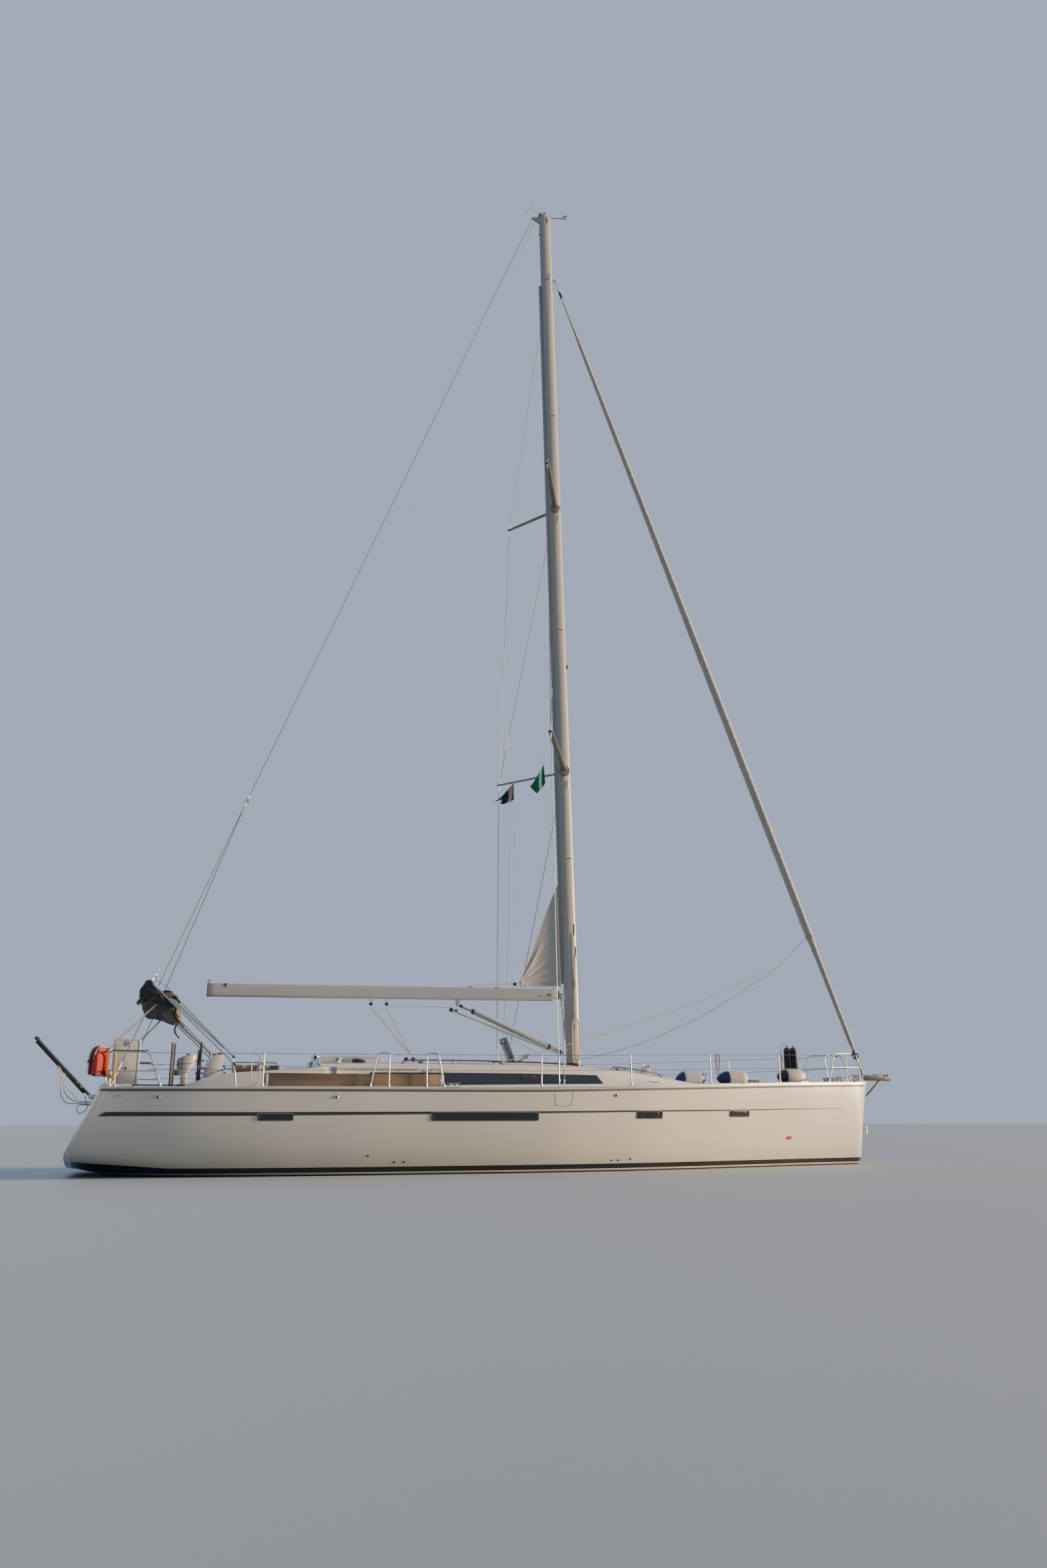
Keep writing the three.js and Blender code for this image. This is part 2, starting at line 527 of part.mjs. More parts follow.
function deckMoulding() {
  const deckStations = [-7620, ...STATIONS.filter((x) => x > -7600)];
  let deck = loft(deckStations.map(deckSection));
  const { aft, bench, fore, sole, seat, footwell, back, side } = COCKPIT;
  const tub = box(-7470, fore + 45, -1760, 1760, TUB_FLOOR, 1440).intersect(cabinForm(HULL_WALL + 8));
  const coamingOutline = [[-6377, 1400], [-6377, 1450], [-5680, 1682], [-5100, 1726], [-4000, 1798],
    [-3700, 1815],
    [-3700, 1400]];
  const coamings = [prismY(coamingOutline, -1860, -1330), prismY(coamingOutline, 1330, 1860)];
  const hump = prismY([[HUMP.aft, 1600], [HUMP.aft, 1990], [HUMP.aft + 60, HUMP.top], [HUMP.fore, HUMP.top],
    [HUMP.toe, 1930], [HUMP.toe, 1600]], -HUMP.half, HUMP.half);
  const helmSeat = join(box(-7470, aft, GATE_HALF, HELM_SEAT_SIDE, TUB_FLOOR, seat),
    box(-7600, aft, GATE_HALF, HELM_SEAT_SIDE, rubLine(-7500) + 4, seat));
  const gateFloor = box(-7700, aft, -GATE_HALF + SEAT, GATE_HALF - SEAT, TUB_FLOOR, sole);
  deck = join(deck, tub, roofOuter, coamings, hump, helmSeat, mirrored(helmSeat), gateFloor);
  const cuts = [
    box(aft, bench, -side, side, sole, 3000),
    box(bench - 1, fore, -footwell, footwell, sole, 3000),
    box(bench - 1, fore, -back, back, seat, 3000),
    box(-8300, aft + 1, -GATE_HALF, GATE_HALF, sole, 3000),
    platformRecess,
    roofInner,
    box(HUMP.aft + 40, HUMP.toe - 160, -HUMP.half + 60, HUMP.half - 60, 1650, HUMP.top - 45),
    box(HUMP.aft - 20, HUMP.entryFore, -HUMP.entry, HUMP.entry, 1500, 3000),
    box(HUMP.aft - 20, HUMP.aft + 80, -HUMP.entry, HUMP.entry, 1300, 3000),
    box(HUMP.aft + 45, 3400, -1000, 1000, 900, 1700),
  ];
  cuts.forEach((cut) => { deck = deck.subtract(cut); });
  Object.values(bandSides).forEach(([y0, y1]) => {
    deck = deck.subtract(prismY(roofBandOutline(1), y0, y1).subtract(roofBehindRecess));
    ROOF_PANES.forEach(([x0, x1, z0, z1]) => {
      const hole = y0 < 0 ? box(x0, x1, y0, -900, z0, z1) : box(x0, x1, 900, y1, z0, z1);
      deck = deck.subtract(hole);
    });
  });
  Object.values(HATCHES).forEach((hatch) => {
    const [low, high] = [Math.min(hatch.free, hatch.hingeX) - 25, Math.max(hatch.free, hatch.hingeX) + 25];
    const frame = box(low, high, -hatch.half - 15, hatch.half + 15, hatch.frame - 120, hatch.frame);
    const opening = box(low + 60, high - 60, -hatch.half + 40, hatch.half - 40, hatch.frame - 400,
      hatch.frame + 1);
    deck = join(deck.add(frame).subtract(opening), hatchLugs(hatch));
  });
  const lockerFrame = box(LOCKER.aft - 40, LOCKER.fore + 40, -LOCKER.half - 20, LOCKER.half + 30,
    LOCKER.frame - 90, LOCKER.frame);
  const lockerLugs = [LOCKER.aft - 30, LOCKER.fore + SEAT].map((x) => (
    box(x, x + 30 - SEAT, LOCKER.half - 12, LOCKER.half + 12, LOCKER.frame - 10, LOCKER.frame + 24)
  ));
  const seatLugs = [LIFT_SEAT.aft + 30, LIFT_SEAT.fore - 60 + SEAT].map((x) => (
    box(x, x + 30 - SEAT, GATE_HALF + 1, GATE_HALF + 30, seat - 10, LIFT_SEAT.z + 10)
  ));
  const hatchRails = [-1, 1].map((end) => box(HUMP.aft + 60, HUMP.fore,
    end < 0 ? -390 : COMPANION.half + SEAT,
    end < 0 ? -COMPANION.half - SEAT : 390, HUMP.top - 5, HUMP.top + 28));
  const lockerWell = box(LOCKER.aft + 40, LOCKER.fore - 40, -LOCKER.half + 40, LOCKER.half - 40, 1400, 1800);
  deck = join(deck.add(lockerFrame).subtract(lockerWell), lockerLugs, seatLugs, hatchRails);
  const mastPad = box(1120, 1570, -200, 200, 1800, MAST.foot[1] - 2 - SEAT);
  deck = deck.add(mastPad);
  return join(deck.subtract(transomCut()), helmPedestal(), mirrored(helmPedestal()));
}
const deck = deckMoulding();
const COCKPIT_JOINT = -3900; // where the cockpit moulding ends and the deck moulding begins
piece('cockpit_moulding', deck.intersect(box(-9000, COCKPIT_JOINT - SEAT, -3000, 3000, 0, 3000)), 'deck');
piece('deck_moulding', deck.intersect(box(COCKPIT_JOINT, 9000, -3000, 3000, 0, 3000)), 'deck');

Object.entries(bandSides).forEach(([name, [y0, y1]]) => {
  const window = roofOuter.subtract(roofBehindPane).intersect(prismY(roofBandOutline(0), y0, y1));
  piece(`coachroof_window_${name}`, window, 'darkGlass');
});

['saloon_hatch_aft', 'saloon_hatch_fore', 'fore_hatch'].forEach((name) => {
  piece(name, hatchLid(HATCHES[name]), 'darkGlass');
});

// Everything below the water
function foil(x, chord, thick, y, z) {
  const shape = [[1, 0], [0.85, 0.36], [0.6, 0.5], [0.3, 0.38], [0, 0.04], [0, -0.04], [0.3, -0.38],
    [0.6, -0.5], [0.85, -0.36]];
  return shape.map(([along, across]) => v(x + chord * along, y + thick * across, z));
}

function keel() {
  const fin = loft([foil(-760, 1620, 210, 0, -480), foil(-640, 1380, 180, 0, -1500),
    foil(-560, 1260, 165, 0, -2200)]);
  const bulb = turned([[0, 0], [70, 160], [130, 500], [165, 1100], [150, 1700], [95, 2120], [0, 2300]],
    v(-1100, 0, -2145), v(1200, 0, -2145), 12);
  return fin.add(bulb).subtract(hullClearance);
}
piece('keel', keel(), 'lead');

function saildriveLeg() {
  const leg = loft([foil(DRIVE.x - 150, 330, 110, 0, -450), foil(DRIVE.x - 110, 250, 80, 0, DRIVE.z)]);
  const gearcase = turned([[0, 0], [48, 1], [60, 90], [56, 260], [0, 340]], v(DRIVE.x - 170, 0, DRIVE.z),
    v(DRIVE.x + 170, 0, DRIVE.z), 12);
  return leg.add(gearcase).subtract(hullClearance);
}
piece('saildrive_leg', saildriveLeg(), 'greyAlloy');

function bladed(count, hubRadius, length, tip, blade) {
  const hub = rod(v(0, 0, 0), v(0, 0, length), hubRadius, 12, hubRadius * 0.8);
  const blades = Array.from({ length: count }, (_, i) => {
    const flat = new THREE.Shape([[-blade * 0.3, 0], [-blade * 0.5, tip * 0.6], [-blade * 0.2, tip * 0.97],
      [blade * 0.2, tip * 0.97],
      [blade * 0.5, tip * 0.6], [blade * 0.3, 0]].map(([x, y]) => new THREE.Vector2(x, y)));
    const geometry = new THREE.ExtrudeGeometry(flat, { depth: 8, bevelEnabled: false }).translate(0, 0, -4);
    geometry.rotateY(THREE.MathUtils.degToRad(28)).translate(0, 0, length / 2);
    return solid(geometry).rotate([0, 0, i * 360 / count]);
  });
  return join(hub, blades);
}
const propHub = v(DRIVE.x - 170 - SEAT, 0, DRIVE.z);
piece('propeller', aim(bladed(3, 46, 110, 250, 110), propHub, propHub.clone().add(v(-1, 0, 0))), 'bronze');
const thrusterHub = v(THRUSTER.x, -SEAT, THRUSTER.z);
piece('thruster_propeller', aim(bladed(4, 22, 46, 88, 44), thrusterHub,
  thrusterHub.clone().add(v(0, -1, 0))), 'black');

function rudder() {
  const blade = loft([foil(RUDDER.x - 430, 640, 110, 0, -215), foil(RUDDER.x - 330, 520, 85, 0, -1150),
    foil(RUDDER.x - 230, 370, 55, 0, -1950)]);
  return blade.add(rod(v(RUDDER.x, 0, -1200), v(RUDDER.x, 0, 420), RUDDER.stock, 32));
}
piece('rudder', rudder(), 'antifouling');

const engineBay = cabinForm(HULL_WALL + SEAT);
piece('engine_block', box(-2950, -2000, -310, 310, -700, 150).intersect(engineBay), 'engine');

// Stern: swim platform, passerelle and the seat that bridges the walk-through
function swimPlatform() {
  const { x, z, radius, barrel, lug, at } = PLATFORM_HINGE;
  const panel = prismY(platformOutline(0, PLATFORM.thick, PLATFORM.low, PLATFORM.high), -PLATFORM.half,
    PLATFORM.half);
  const reach = barrel / 2 + lug + 6;
  const reliefs = [-at, at].map((y) => box(x - 60, x + 130, y - reach, y + reach, z - 60, z + radius + 8));
  const barrels = [-at, at].map((y) => {
    const pin = rod(v(x, y - barrel / 2, z), v(x, y + barrel / 2, z), radius, 12);
    return pin.add(box(x - 12, x + 14, y - barrel / 2, y + barrel / 2, z, z + 50));
  });
  let body = panel;
  reliefs.forEach((relief) => { body = body.subtract(relief); });
  return join(body, barrels);
}
piece('swim_platform', swimPlatform(), 'gelcoat');

function passerelle() {
  const { foot, tip, y, half, thick, depth } = PASSERELLE;
  const length = Math.hypot(tip[0] - foot[0], tip[1] - foot[1]);
  const plank = box(0, length - 40, -half, half, -thick / 2, thick / 2);
  const beams = [-half, half - 24].map((side) => box(120, length - 70, side, side + 24, -depth, 0));
  const barrel = rod(v(0, -half, 0), v(0, half, 0), 22, 12);
  const roller = rod(v(length - 30, -half + 20, 0), v(length - 30, half - 20, 0), 34, 12);
  const angle = THREE.MathUtils.radToDeg(Math.atan2(tip[1] - foot[1], tip[0] - foot[0]));
  return join(plank, beams, barrel, roller).rotate([0, -angle, 0]).translate([foot[0], y, foot[1]]);
}
piece('passerelle', passerelle(), 'black');

function liftingSeat() {
  const { aft, fore, y, z, length, thick, under } = LIFT_SEAT;
  const panel = box(aft, fore, y - under - thick, y - under, z + 7, z + 7 + length);
  const barrel = rod(v(aft + 60, y, z), v(fore - 60, y, z), 10, 12);
  const strap = box(aft + 60, fore - 60, y - 13, y - 1, z, z + 27);
  return join(panel, barrel, strap);
}
piece('lifting_helm_seat', liftingSeat(), 'deck');

// Steering wheel, turned on the aft face of its pedestal
function steeringWheel() {
  const { x, y, z, rim, podAft } = HELM;
  const section = circle(17, 8).map((point) => new THREE.Vector2(point.x + rim, point.y));
  const ring = solid(new THREE.LatheGeometry([...section, section[0]], 28));
  const spoke = rod(v(0, 0, 0), v(rim, 0, 0), 9, 6);
  const spokes = Array.from({ length: 5 }, (_, i) => spoke.rotate([0, 0, i * 72]));
  const hub = rod(v(0, 0, -30), v(0, 0, 30), 48, 12);
  const flat = join(ring.rotate([90, 0, 0]), spokes, hub);
  const shaft = rod(v(0, 0, 0), v(0, 0, podAft - x - SEAT), 22, 12);
  return aim(flat.add(shaft), v(x, -y, z), v(x + 1, -y, z));
}
Object.entries(SIDES).forEach(([name, side]) => {
  piece(`steering_wheel_${name}`, onSide(steeringWheel(), side), 'steel');
});

// Cockpit table with two hanging leaves
const TABLE = { aft: -5420, fore: -4560, half: 130, top: 1885, leaf: 360, leafThick: 22 };
function cockpitTable() {
  const { aft, fore, half, top } = TABLE;
  const body = box(aft, fore, -half, half, top - 330, top);
  const leg = box(aft + 180, fore - 180, -90, 90, COCKPIT.sole + SEAT, top - 320);
  const rail = tube([v(aft + 40, 0, top - 5), v(aft + 40, 0, top + 75), v(fore - 40, 0, top + 75),
    v(fore - 40, 0, top - 5)], 14, 60);
  const lugs = [aft, fore - 24].map((x) => box(x, x + 24, -half - 24, half + 24, top - 20, top + 27));
  return join(body, leg, rail, lugs);
}
piece('cockpit_table', cockpitTable(), 'deck');
function tableLeaf() {
  const { aft, fore, half, top, leaf, leafThick } = TABLE;
  const y = -half - SEAT - leafThick / 2;
  const axisZ = top + leafThick / 2 + 4;
  const [x0, x1] = [aft + 24 + SEAT, fore - 24 - SEAT];
  const barrel = rod(v(x0, y, axisZ), v(x1, y, axisZ), leafThick / 2, 12);
  return box(x0, x1, y - leafThick / 2, y + leafThick / 2, axisZ - leaf, axisZ).add(barrel);
}
Object.entries(SIDES).forEach(([name, side]) => piece(`table_leaf_${name}`, onSide(tableLeaf(), side),
  'teak'));

// Companionway
piece('companion_hatch', box(COMPANION.aft, COMPANION.fore, -COMPANION.half, COMPANION.half, HUMP.top + SEAT,
  HUMP.top + SEAT + COMPANION.thick), 'darkGlass');
piece('washboard', box(HUMP.aft + 8, HUMP.aft + 30, -HUMP.entry + SEAT, HUMP.entry - SEAT, 1300 + SEAT,
  HUMP.top - 1), 'darkGlass');

// Anchor locker lid, hinged on its port edge
function lockerLid() {
  const { aft, fore, half, frame } = LOCKER;
  const axisZ = frame + SEAT + LID.hinge;
  const barrel = rod(v(aft, half, axisZ), v(fore, half, axisZ), LID.hinge, 12);
  return box(aft, fore, -half, half, frame + SEAT, frame + SEAT + LID.thick).add(barrel);
}
piece('anchor_locker_lid', lockerLid(), 'deck');

const largest = (body) => body.decompose().sort((a, b) => b.volume() - a.volume())[0];
const liftedDeck = deck.translate([0, 0, SEAT]);
const onDeck = (body) => largest(body.subtract(liftedDeck));

// Winches: place, size and height of the pad they stand on
const WINCHES = {
  primary_winch_starboard: [-4990, -1595, 1742, 82, 150],
  primary_winch_port: [-4990, 1595, 1742, 82, 150],
  roof_winch_starboard: [-3600, -1230, 1880, 66, 120],
  roof_winch_port: [-3600, 1230, 1880, 66, 120],
};
Object.entries(WINCHES).forEach(([name, [x, y, z, radius, height]]) => {
  const profile = [[0, 0], [radius, 0], [radius, height * 0.14], [radius * 0.62, height * 0.24],
    [radius * 0.58, height * 0.6],
    [radius * 0.78, height * 0.8], [radius * 0.8, height], [0, height]];
  const drum = turned(profile, v(x, y, z), v(x, y, z + 1), 12);
  const pad = rod(v(x, y, z - 60), v(x, y, z + 5), radius, 12);
  piece(name, onDeck(drum.add(pad)), 'steel');
});

// Bow: plate with the anchor roller, and a strut to the stem
function bowPlate() {
  const arm = prismY([[7840, 1802], [8620, 1802], [8795, 1835], [8620, 1872], [7840, 1852]], -75, 75);
  const base = prismY([[7840, 1640], [8020, 1640], [8020, 1810], [7840, 1810]], -75, 75);
  const strut = prismY([[8084, 1400], [8130, 1400], [8520, 1760], [8520, 1810], [8440, 1810], [8084, 1480]],
    -16, 16);
  return join(onDeck(arm.add(base)), strut);
}
const bow = piece('bow_plate', bowPlate(), 'steel');

function windlass() {
  const z = deckHeight(7100, 0);
  const base = box(7090, 7340, -110, 110, z - 30, z + 135);
  const drum = turned([[0, -40], [75, -40], [75, 20], [48, 40], [48, 100], [78, 130], [60, 165], [0, 165]],
    v(7450, 0, z),
    v(7450, 0, z + 1), 12);
  const link = box(7300, 7420, -60, 60, z - 30, z + 60);
  return onDeck(join(base, drum, link));
}
piece('windlass', windlass(), 'steel');

// Rails round the deck; each foot starts a little inside the toe rail and is then trimmed to it
const FOOT_DEPTH = 5;
const foot = (x, side) => railPoint(x, side, -FOOT_DEPTH);
function grown(body) {
  const shifts = [[SEAT, 0, 0], [-SEAT, 0, 0], [0, SEAT, 0], [0, -SEAT, 0], [0, 0, SEAT], [0, 0, -SEAT]];
  return join(shifts.map((shift) => body.translate(shift)));
}
function pulpit(side) {
  const out = (x, y, z) => v(x, side * y, z);
  const hoop = tube([foot(6863, side), out(7050, 560, 2270), out(7740, 300, 2290), foot(7860, side)],
    RAIL_TUBE, 110);
  const middle = tube([out(6955, 575, 1975), out(7798, 250, 2000)], RAIL_TUBE - 2, 0);
  const post = tube([foot(7420, side), out(7400, 440, 2270)], RAIL_TUBE - 1, 0);
  return onDeck(join(hoop, middle, post));
}
function pushpit(side) {
  const out = (x, y, z) => v(x, side * y, z);
  const rail = tube([foot(-6646, side), out(-6857, 2120, 2008), out(-7518, 2040, 2011),
    out(-7640, 1560, 2010),
    out(-7530, 1500, COCKPIT.seat - FOOT_DEPTH)], RAIL_TUBE, 110);
  const middle = tube([out(-6748, 2140, 1700), out(-7500, 2060, 1702), out(-7625, 1555, 1702)],
    RAIL_TUBE - 2, 90);
  const leg = tube([foot(-7367, side), out(-7400, 2052, 2010)], RAIL_TUBE, 0);
  return onDeck(join(rail, middle, leg));
}
const STANCHIONS = [-4996, -63, 1745, 3574, 5393];
const GATES = [[-3175, -2854], [-2186, -1874]];
const STANCHION_HEIGHT = 555;
function lifelines(side) {
  const top = (x, rise = STANCHION_HEIGHT) => railPoint(x, side, rise);
  const posts = STANCHIONS.map((x) => rod(foot(x, side), top(x), RAIL_TUBE, 6));
  const gates = GATES.map(([aft, fore]) => tube([foot(aft, side), top(aft + 110, 575), top(fore, 575),
    foot(fore, side)],
    RAIL_TUBE, 60));
  const stops = [-6860, STANCHIONS[0], GATES[0][1], GATES[1][1], ...STANCHIONS.slice(1), 7060];
  const wires = [275, 545].flatMap((rise) => stops.slice(1).map((x, i) => (
    rod(railPoint(stops[i], side, rise), railPoint(x, side, rise), WIRE, 4)
  )));
  return onDeck(join(posts, gates, wires));
}
Object.entries(SIDES).forEach(([name, side]) => {
  const bowRail = piece(`pulpit_${name}`, pulpit(side), 'steel');
  const sternRail = piece(`pushpit_${name}`, pushpit(side), 'steel');
  const line = lifelines(side).subtract(grown(bowRail)).subtract(grown(sternRail));
  piece(`lifelines_${name}`, largest(line), 'steel');
});

// Mast, with the places where the boom and the vang are pinned to it
const onMast = (body) => body.rotate([0, -THREE.MathUtils.radToDeg(RAKE), 0]);
const atSwing = (body) => onMast(body).translate([GOOSENECK.x, 0, GOOSENECK.z]);
const MAST_AFT_FACE = mastX(GOOSENECK.z) - GOOSENECK.x - MAST.chord / 2;
const LUFF_RADIUS = 6;
const BOOM_TONGUE = 60; // half height of the boom's tongue between its two plates
const VANG_PIN = { drop: -1132, half: 22 };

function mastTube(grow) {
  const [footX, footZ] = MAST.foot;
  const [headX, headZ] = MAST.head;
  const [halfChord, halfWidth] = [MAST.chord / 2 + grow, MAST.width / 2 + grow];
  const oval = circle(1, 16).map((point) => new THREE.Vector2(point.x * halfChord, point.y * halfWidth));
  const length = Math.hypot(headX - footX, headZ - footZ);
  const geometry = new THREE.ExtrudeGeometry(new THREE.Shape(oval), { depth: length, bevelEnabled: false });
  return onMast(solid(geometry)).translate([footX, 0, footZ + 8]);
}
const SPREADERS = {
  lower: { root: 8240, tip: [274, 1985, 8420], chord: [150, 118], thick: [44, 30] },
  upper: { root: 14690, tip: [390, 1540, 14880], chord: [140, 110], thick: [40, 28] },
};
function spreaderPair({ root, tip, chord, thick }, grow) {
  const ring = (x, y, z, end) => {
    const [long, high] = [chord[end] / 2 + grow, thick[end] / 2 + grow];
    return [[long, 0], [long * 0.4, high], [-long * 0.5, high], [-long, 0], [-long * 0.5, -high],
      [long * 0.4, -high]]
      .map(([dx, dz]) => v(x + dx, y, z + dz));
  };
  const [tipX, tipY, tipZ] = tip;
  const reach = tipY + 18;
  return loft([ring(tipX, -reach, tipZ, 1), ring(mastX(root), -70, root, 0), ring(mastX(root), 70, root, 0),
    ring(tipX, reach, tipZ, 1)]);
}
const BACKSTAY = { top: [546, 22990], split: [-5496, 7045], foot: [-7450, 1955] };
function mast() {
  const plate = box(1160, 1530, -150, 150, MAST.foot[1] - 2, MAST.foot[1] + 20);
  const jaw = (middle, half, plateThick) => [-1, 1].map((end) => {
    const face = middle + end * (half + SEAT);
    return box(-26, MAST_AFT_FACE + 20, -30, 30, Math.min(face, face + end * plateThick),
      Math.max(face, face + end * plateThick));
  });
  const sailTrack = atSwing(box(LUFF_RADIUS + SEAT, MAST_AFT_FACE + 20, -20, 20, 270, 17600));
  const jaws = atSwing(join(jaw(0, BOOM_TONGUE, 15), jaw(VANG_PIN.drop, VANG_PIN.half, 14)));
  const [craneX, craneZ] = BACKSTAY.top;
  const crane = prismY([[craneX - 24, craneZ - 4], [mastX(craneZ), craneZ - 90], [mastX(craneZ), craneZ + 60],
    [craneX - 24, craneZ + 26]], -16, 16);
  const tang = box(1030, 1160, -14, 14, 21150, 21230);
  let body = join(mastTube(0), plate, sailTrack, jaws, crane, tang);
  Object.values(SPREADERS).forEach((pair) => { body = body.subtract(spreaderPair(pair, SEAT)); });
  return body;
}
function mastheadUnit() {
  const z = MAST.head[1] + 8;
  const plate = box(700, 1020, -55, 55, z - 6, z + 18);
  const whip = rod(v(960, 40, z + 5), v(905, 40, z + 600), 5, 6);
  const lamp = rod(v(860, -20, z + 5), v(860, -20, z + 120), 32, 10);
  const arm = rod(v(1000, 0, z + 8), v(1400, 0, z + 190), 8, 6);
  const vane = box(1330, 1480, -3, 3, z + 175, z + 240);
  return [plate, whip, lamp, arm, vane];
}
const mastBody = piece('mast', join(mast(), mastheadUnit()), 'alloy');
const mastClearance = grown(mastBody);

// Standing rigging. Shrouds land on the side deck beside the coachroof
const CHAINPLATE = { cap: [313, 2200], lower: [403, 2200], turnbuckle: 440 };
const SHROUD_TOP = 21200;
function shrouds(side, grow = 0) {
  const at = (x, y, z) => v(x, side * y, z);
  const deckZ = deckHeight(360, 2200) - FOOT_DEPTH;
  const { lower, upper } = SPREADERS;
  const lines = [
    [at(...CHAINPLATE.cap, deckZ), at(...lower.tip)],
    [at(...lower.tip), at(...upper.tip)],
    [at(...upper.tip), at(mastX(SHROUD_TOP), 30, SHROUD_TOP)],
    [at(...lower.tip), at(mastX(upper.root - 90), 30, upper.root - 90)],
    [at(...CHAINPLATE.lower, deckZ), at(mastX(lower.root - 90), 30, lower.root - 90)],
  ];
  const wires = lines.map(([from, to]) => rod(from, to, STAY_RADIUS + grow, 6));
  if (grow) return join(wires);
  const turnbuckles = [lines[0], lines[4]].map(([from, to]) => (
    rod(from, from.clone().lerp(to, CHAINPLATE.turnbuckle / from.distanceTo(to)), STAY_RADIUS * 2, 6)
  ));
  const deckPlate = box(270, 446, Math.min(side * 2165, side * 2235), Math.max(side * 2165, side * 2235),
    deckZ, deckZ + 22);
  return largest(onDeck(join(wires, turnbuckles, deckPlate)).subtract(mastClearance));
}
let [lowerSpreaders, upperSpreaders] = Object.values(SPREADERS).map((pair) => spreaderPair(pair, 0));
Object.entries(SIDES).forEach(([name, side]) => {
  piece(`shrouds_${name}`, shrouds(side), 'steel');
  lowerSpreaders = lowerSpreaders.subtract(shrouds(side, 4 * SEAT));
  upperSpreaders = upperSpreaders.subtract(shrouds(side, 4 * SEAT));
});
piece('spreaders_lower', largest(lowerSpreaders), 'alloy');
piece('spreaders_upper', largest(upperSpreaders), 'alloy');

function backstay(grow = 0) {
  const top = v(BACKSTAY.top[0], 0, BACKSTAY.top[1]);
  const split = v(BACKSTAY.split[0], 0, BACKSTAY.split[1]);
  const [footX, footY] = BACKSTAY.foot;
  const legs = [-1, 1].map((side) => (
    rod(split, v(footX, side * footY, deckHeight(footX, footY) - FOOT_DEPTH), STAY_RADIUS + grow, 6)
  ));
  if (grow) return join(legs);
  const tensioners = [-1, 1].map((side) => {
    const low = v(footX, side * footY, deckHeight(footX, footY) - FOOT_DEPTH);
    return rod(low, low.clone().lerp(split, 0.07), STAY_RADIUS * 2, 6);
  });
  const plate = rod(split.clone().add(v(0, -25, 0)), split.clone().add(v(0, 25, 0)), 30, 8);
  const stay = join(rod(top, split, STAY_RADIUS, 6), legs, tensioners, plate);
  return largest(onDeck(stay).subtract(mastClearance));
}
piece('backstay', backstay(), 'steel');

// Forestay, with a collar that carries the furler drum; the drum and the roll turn about it
const FORESTAY = { low: v(8070, 0, 1850), high: v(1135, 0, 21190) };
const stayLength = FORESTAY.low.distanceTo(FORESTAY.high);
const DRUM = { start: 372, height: 190, bore: 11 };
const ROLL_END = 19700;
const alongStay = (profile, sides) => turned(profile, FORESTAY.low, FORESTAY.high, sides);
const forestayProfile = [[0, 0], [10, 0], [10, 60], [17, 80], [17, DRUM.start - 22], [34, DRUM.start - 12],
  [34, DRUM.start - SEAT], [STAY_RADIUS, DRUM.start - SEAT], [STAY_RADIUS, stayLength], [0, stayLength]];
piece('forestay', largest(alongStay(forestayProfile, 8).subtract(mastClearance).subtract(grown(bow))),
  'steel');
const ring = (start, steps) => [
  [DRUM.bore, start], ...steps.map(([radius, along]) => [radius, start + along]),
    [DRUM.bore, start + steps.at(-1)[1]],
  [DRUM.bore, start],
];
piece('furler_drum', alongStay(ring(DRUM.start, [[70, 0], [70, 14], [42, 24], [42, 130], [92, 142],
  [92, 156], [44, 168],
  [44, DRUM.height]]), 12), 'black');
const rollStart = DRUM.start + DRUM.height + SEAT;
piece('rolled_headsail', alongStay(ring(rollStart, [[26, 0], [48, 160], [52, 900], [66, 2300], [88, 2700],
  [92, 7500],
  [74, 12500], [46, 17800], [22, 18900], [18, ROLL_END - rollStart]]), 10), 'genoa');

// Boom, vang and the corner of the mainsail that stays out of the mast; all swing on the same pins
const BOOM = { fore: [1006, 3388], aft: [-5990, 3286], half: 80, high: 125 };
function boomRing([x, z]) {
  const { half, high } = BOOM;
  return [[half, high * 0.5], [half * 0.5, high], [-half * 0.5, high], [-half, high * 0.5],
    [-half, -high * 0.6],
    [-half * 0.4, -high], [half * 0.4, -high], [half, -high * 0.6]].map(([y, dz]) => v(x, y, z + dz));
}
function boom() {
  const spar = loft([boomRing(BOOM.aft), boomRing(BOOM.fore)]);
  const tongue = rod(v(0, 0, -BOOM_TONGUE), v(0, 0, BOOM_TONGUE), 26,
    12).add(box(-110, 0, -20, 20, -BOOM_TONGUE, BOOM_TONGUE));
  const lug = box(-1160, -1040, -12, 12, 3100, 3250);
  return join(spar, atSwing(tongue), lug);
}
const boomBody = piece('boom', boom(), 'whiteAlloy');
function vang() {
  const eye = rod(v(0, 0, VANG_PIN.drop - VANG_PIN.half), v(0, 0, VANG_PIN.drop + VANG_PIN.half), 24, 12);
  const low = v(swingX(2218), 0, 2218);
  const high = v(-1100, 0, 3140);
  const inner = rod(low.clone().lerp(high, 0.03), low.clone().lerp(high, 0.4), 34, 10);
  const outer = rod(low.clone().lerp(high, 0.35), high, 52, 10);
  const neck = box(-80, 0, -14, 14, VANG_PIN.drop - 20, VANG_PIN.drop + 20);
  return largest(join(atSwing(eye.add(neck)), inner, outer).subtract(grown(boomBody)));
}
piece('vang', vang(), 'whiteAlloy');
function clewPatch() {
  const luff = (z) => [swingX(z), z];
  const outline = [luff(3640), luff(5684), [238, 3640], [200, 3560], [swingX(3560) - 60, 3545],
    [swingX(3600), 3600]];
  const luffRope = rod(v(...[luff(3600)[0], 0, 3600]), v(luff(5684)[0], 0, 5684), LUFF_RADIUS, 12);
  return prismY(outline, -4, 4).add(luffRope).subtract(grown(boomBody));
}
piece('mainsail_clew', clewPatch(), 'sailcloth');

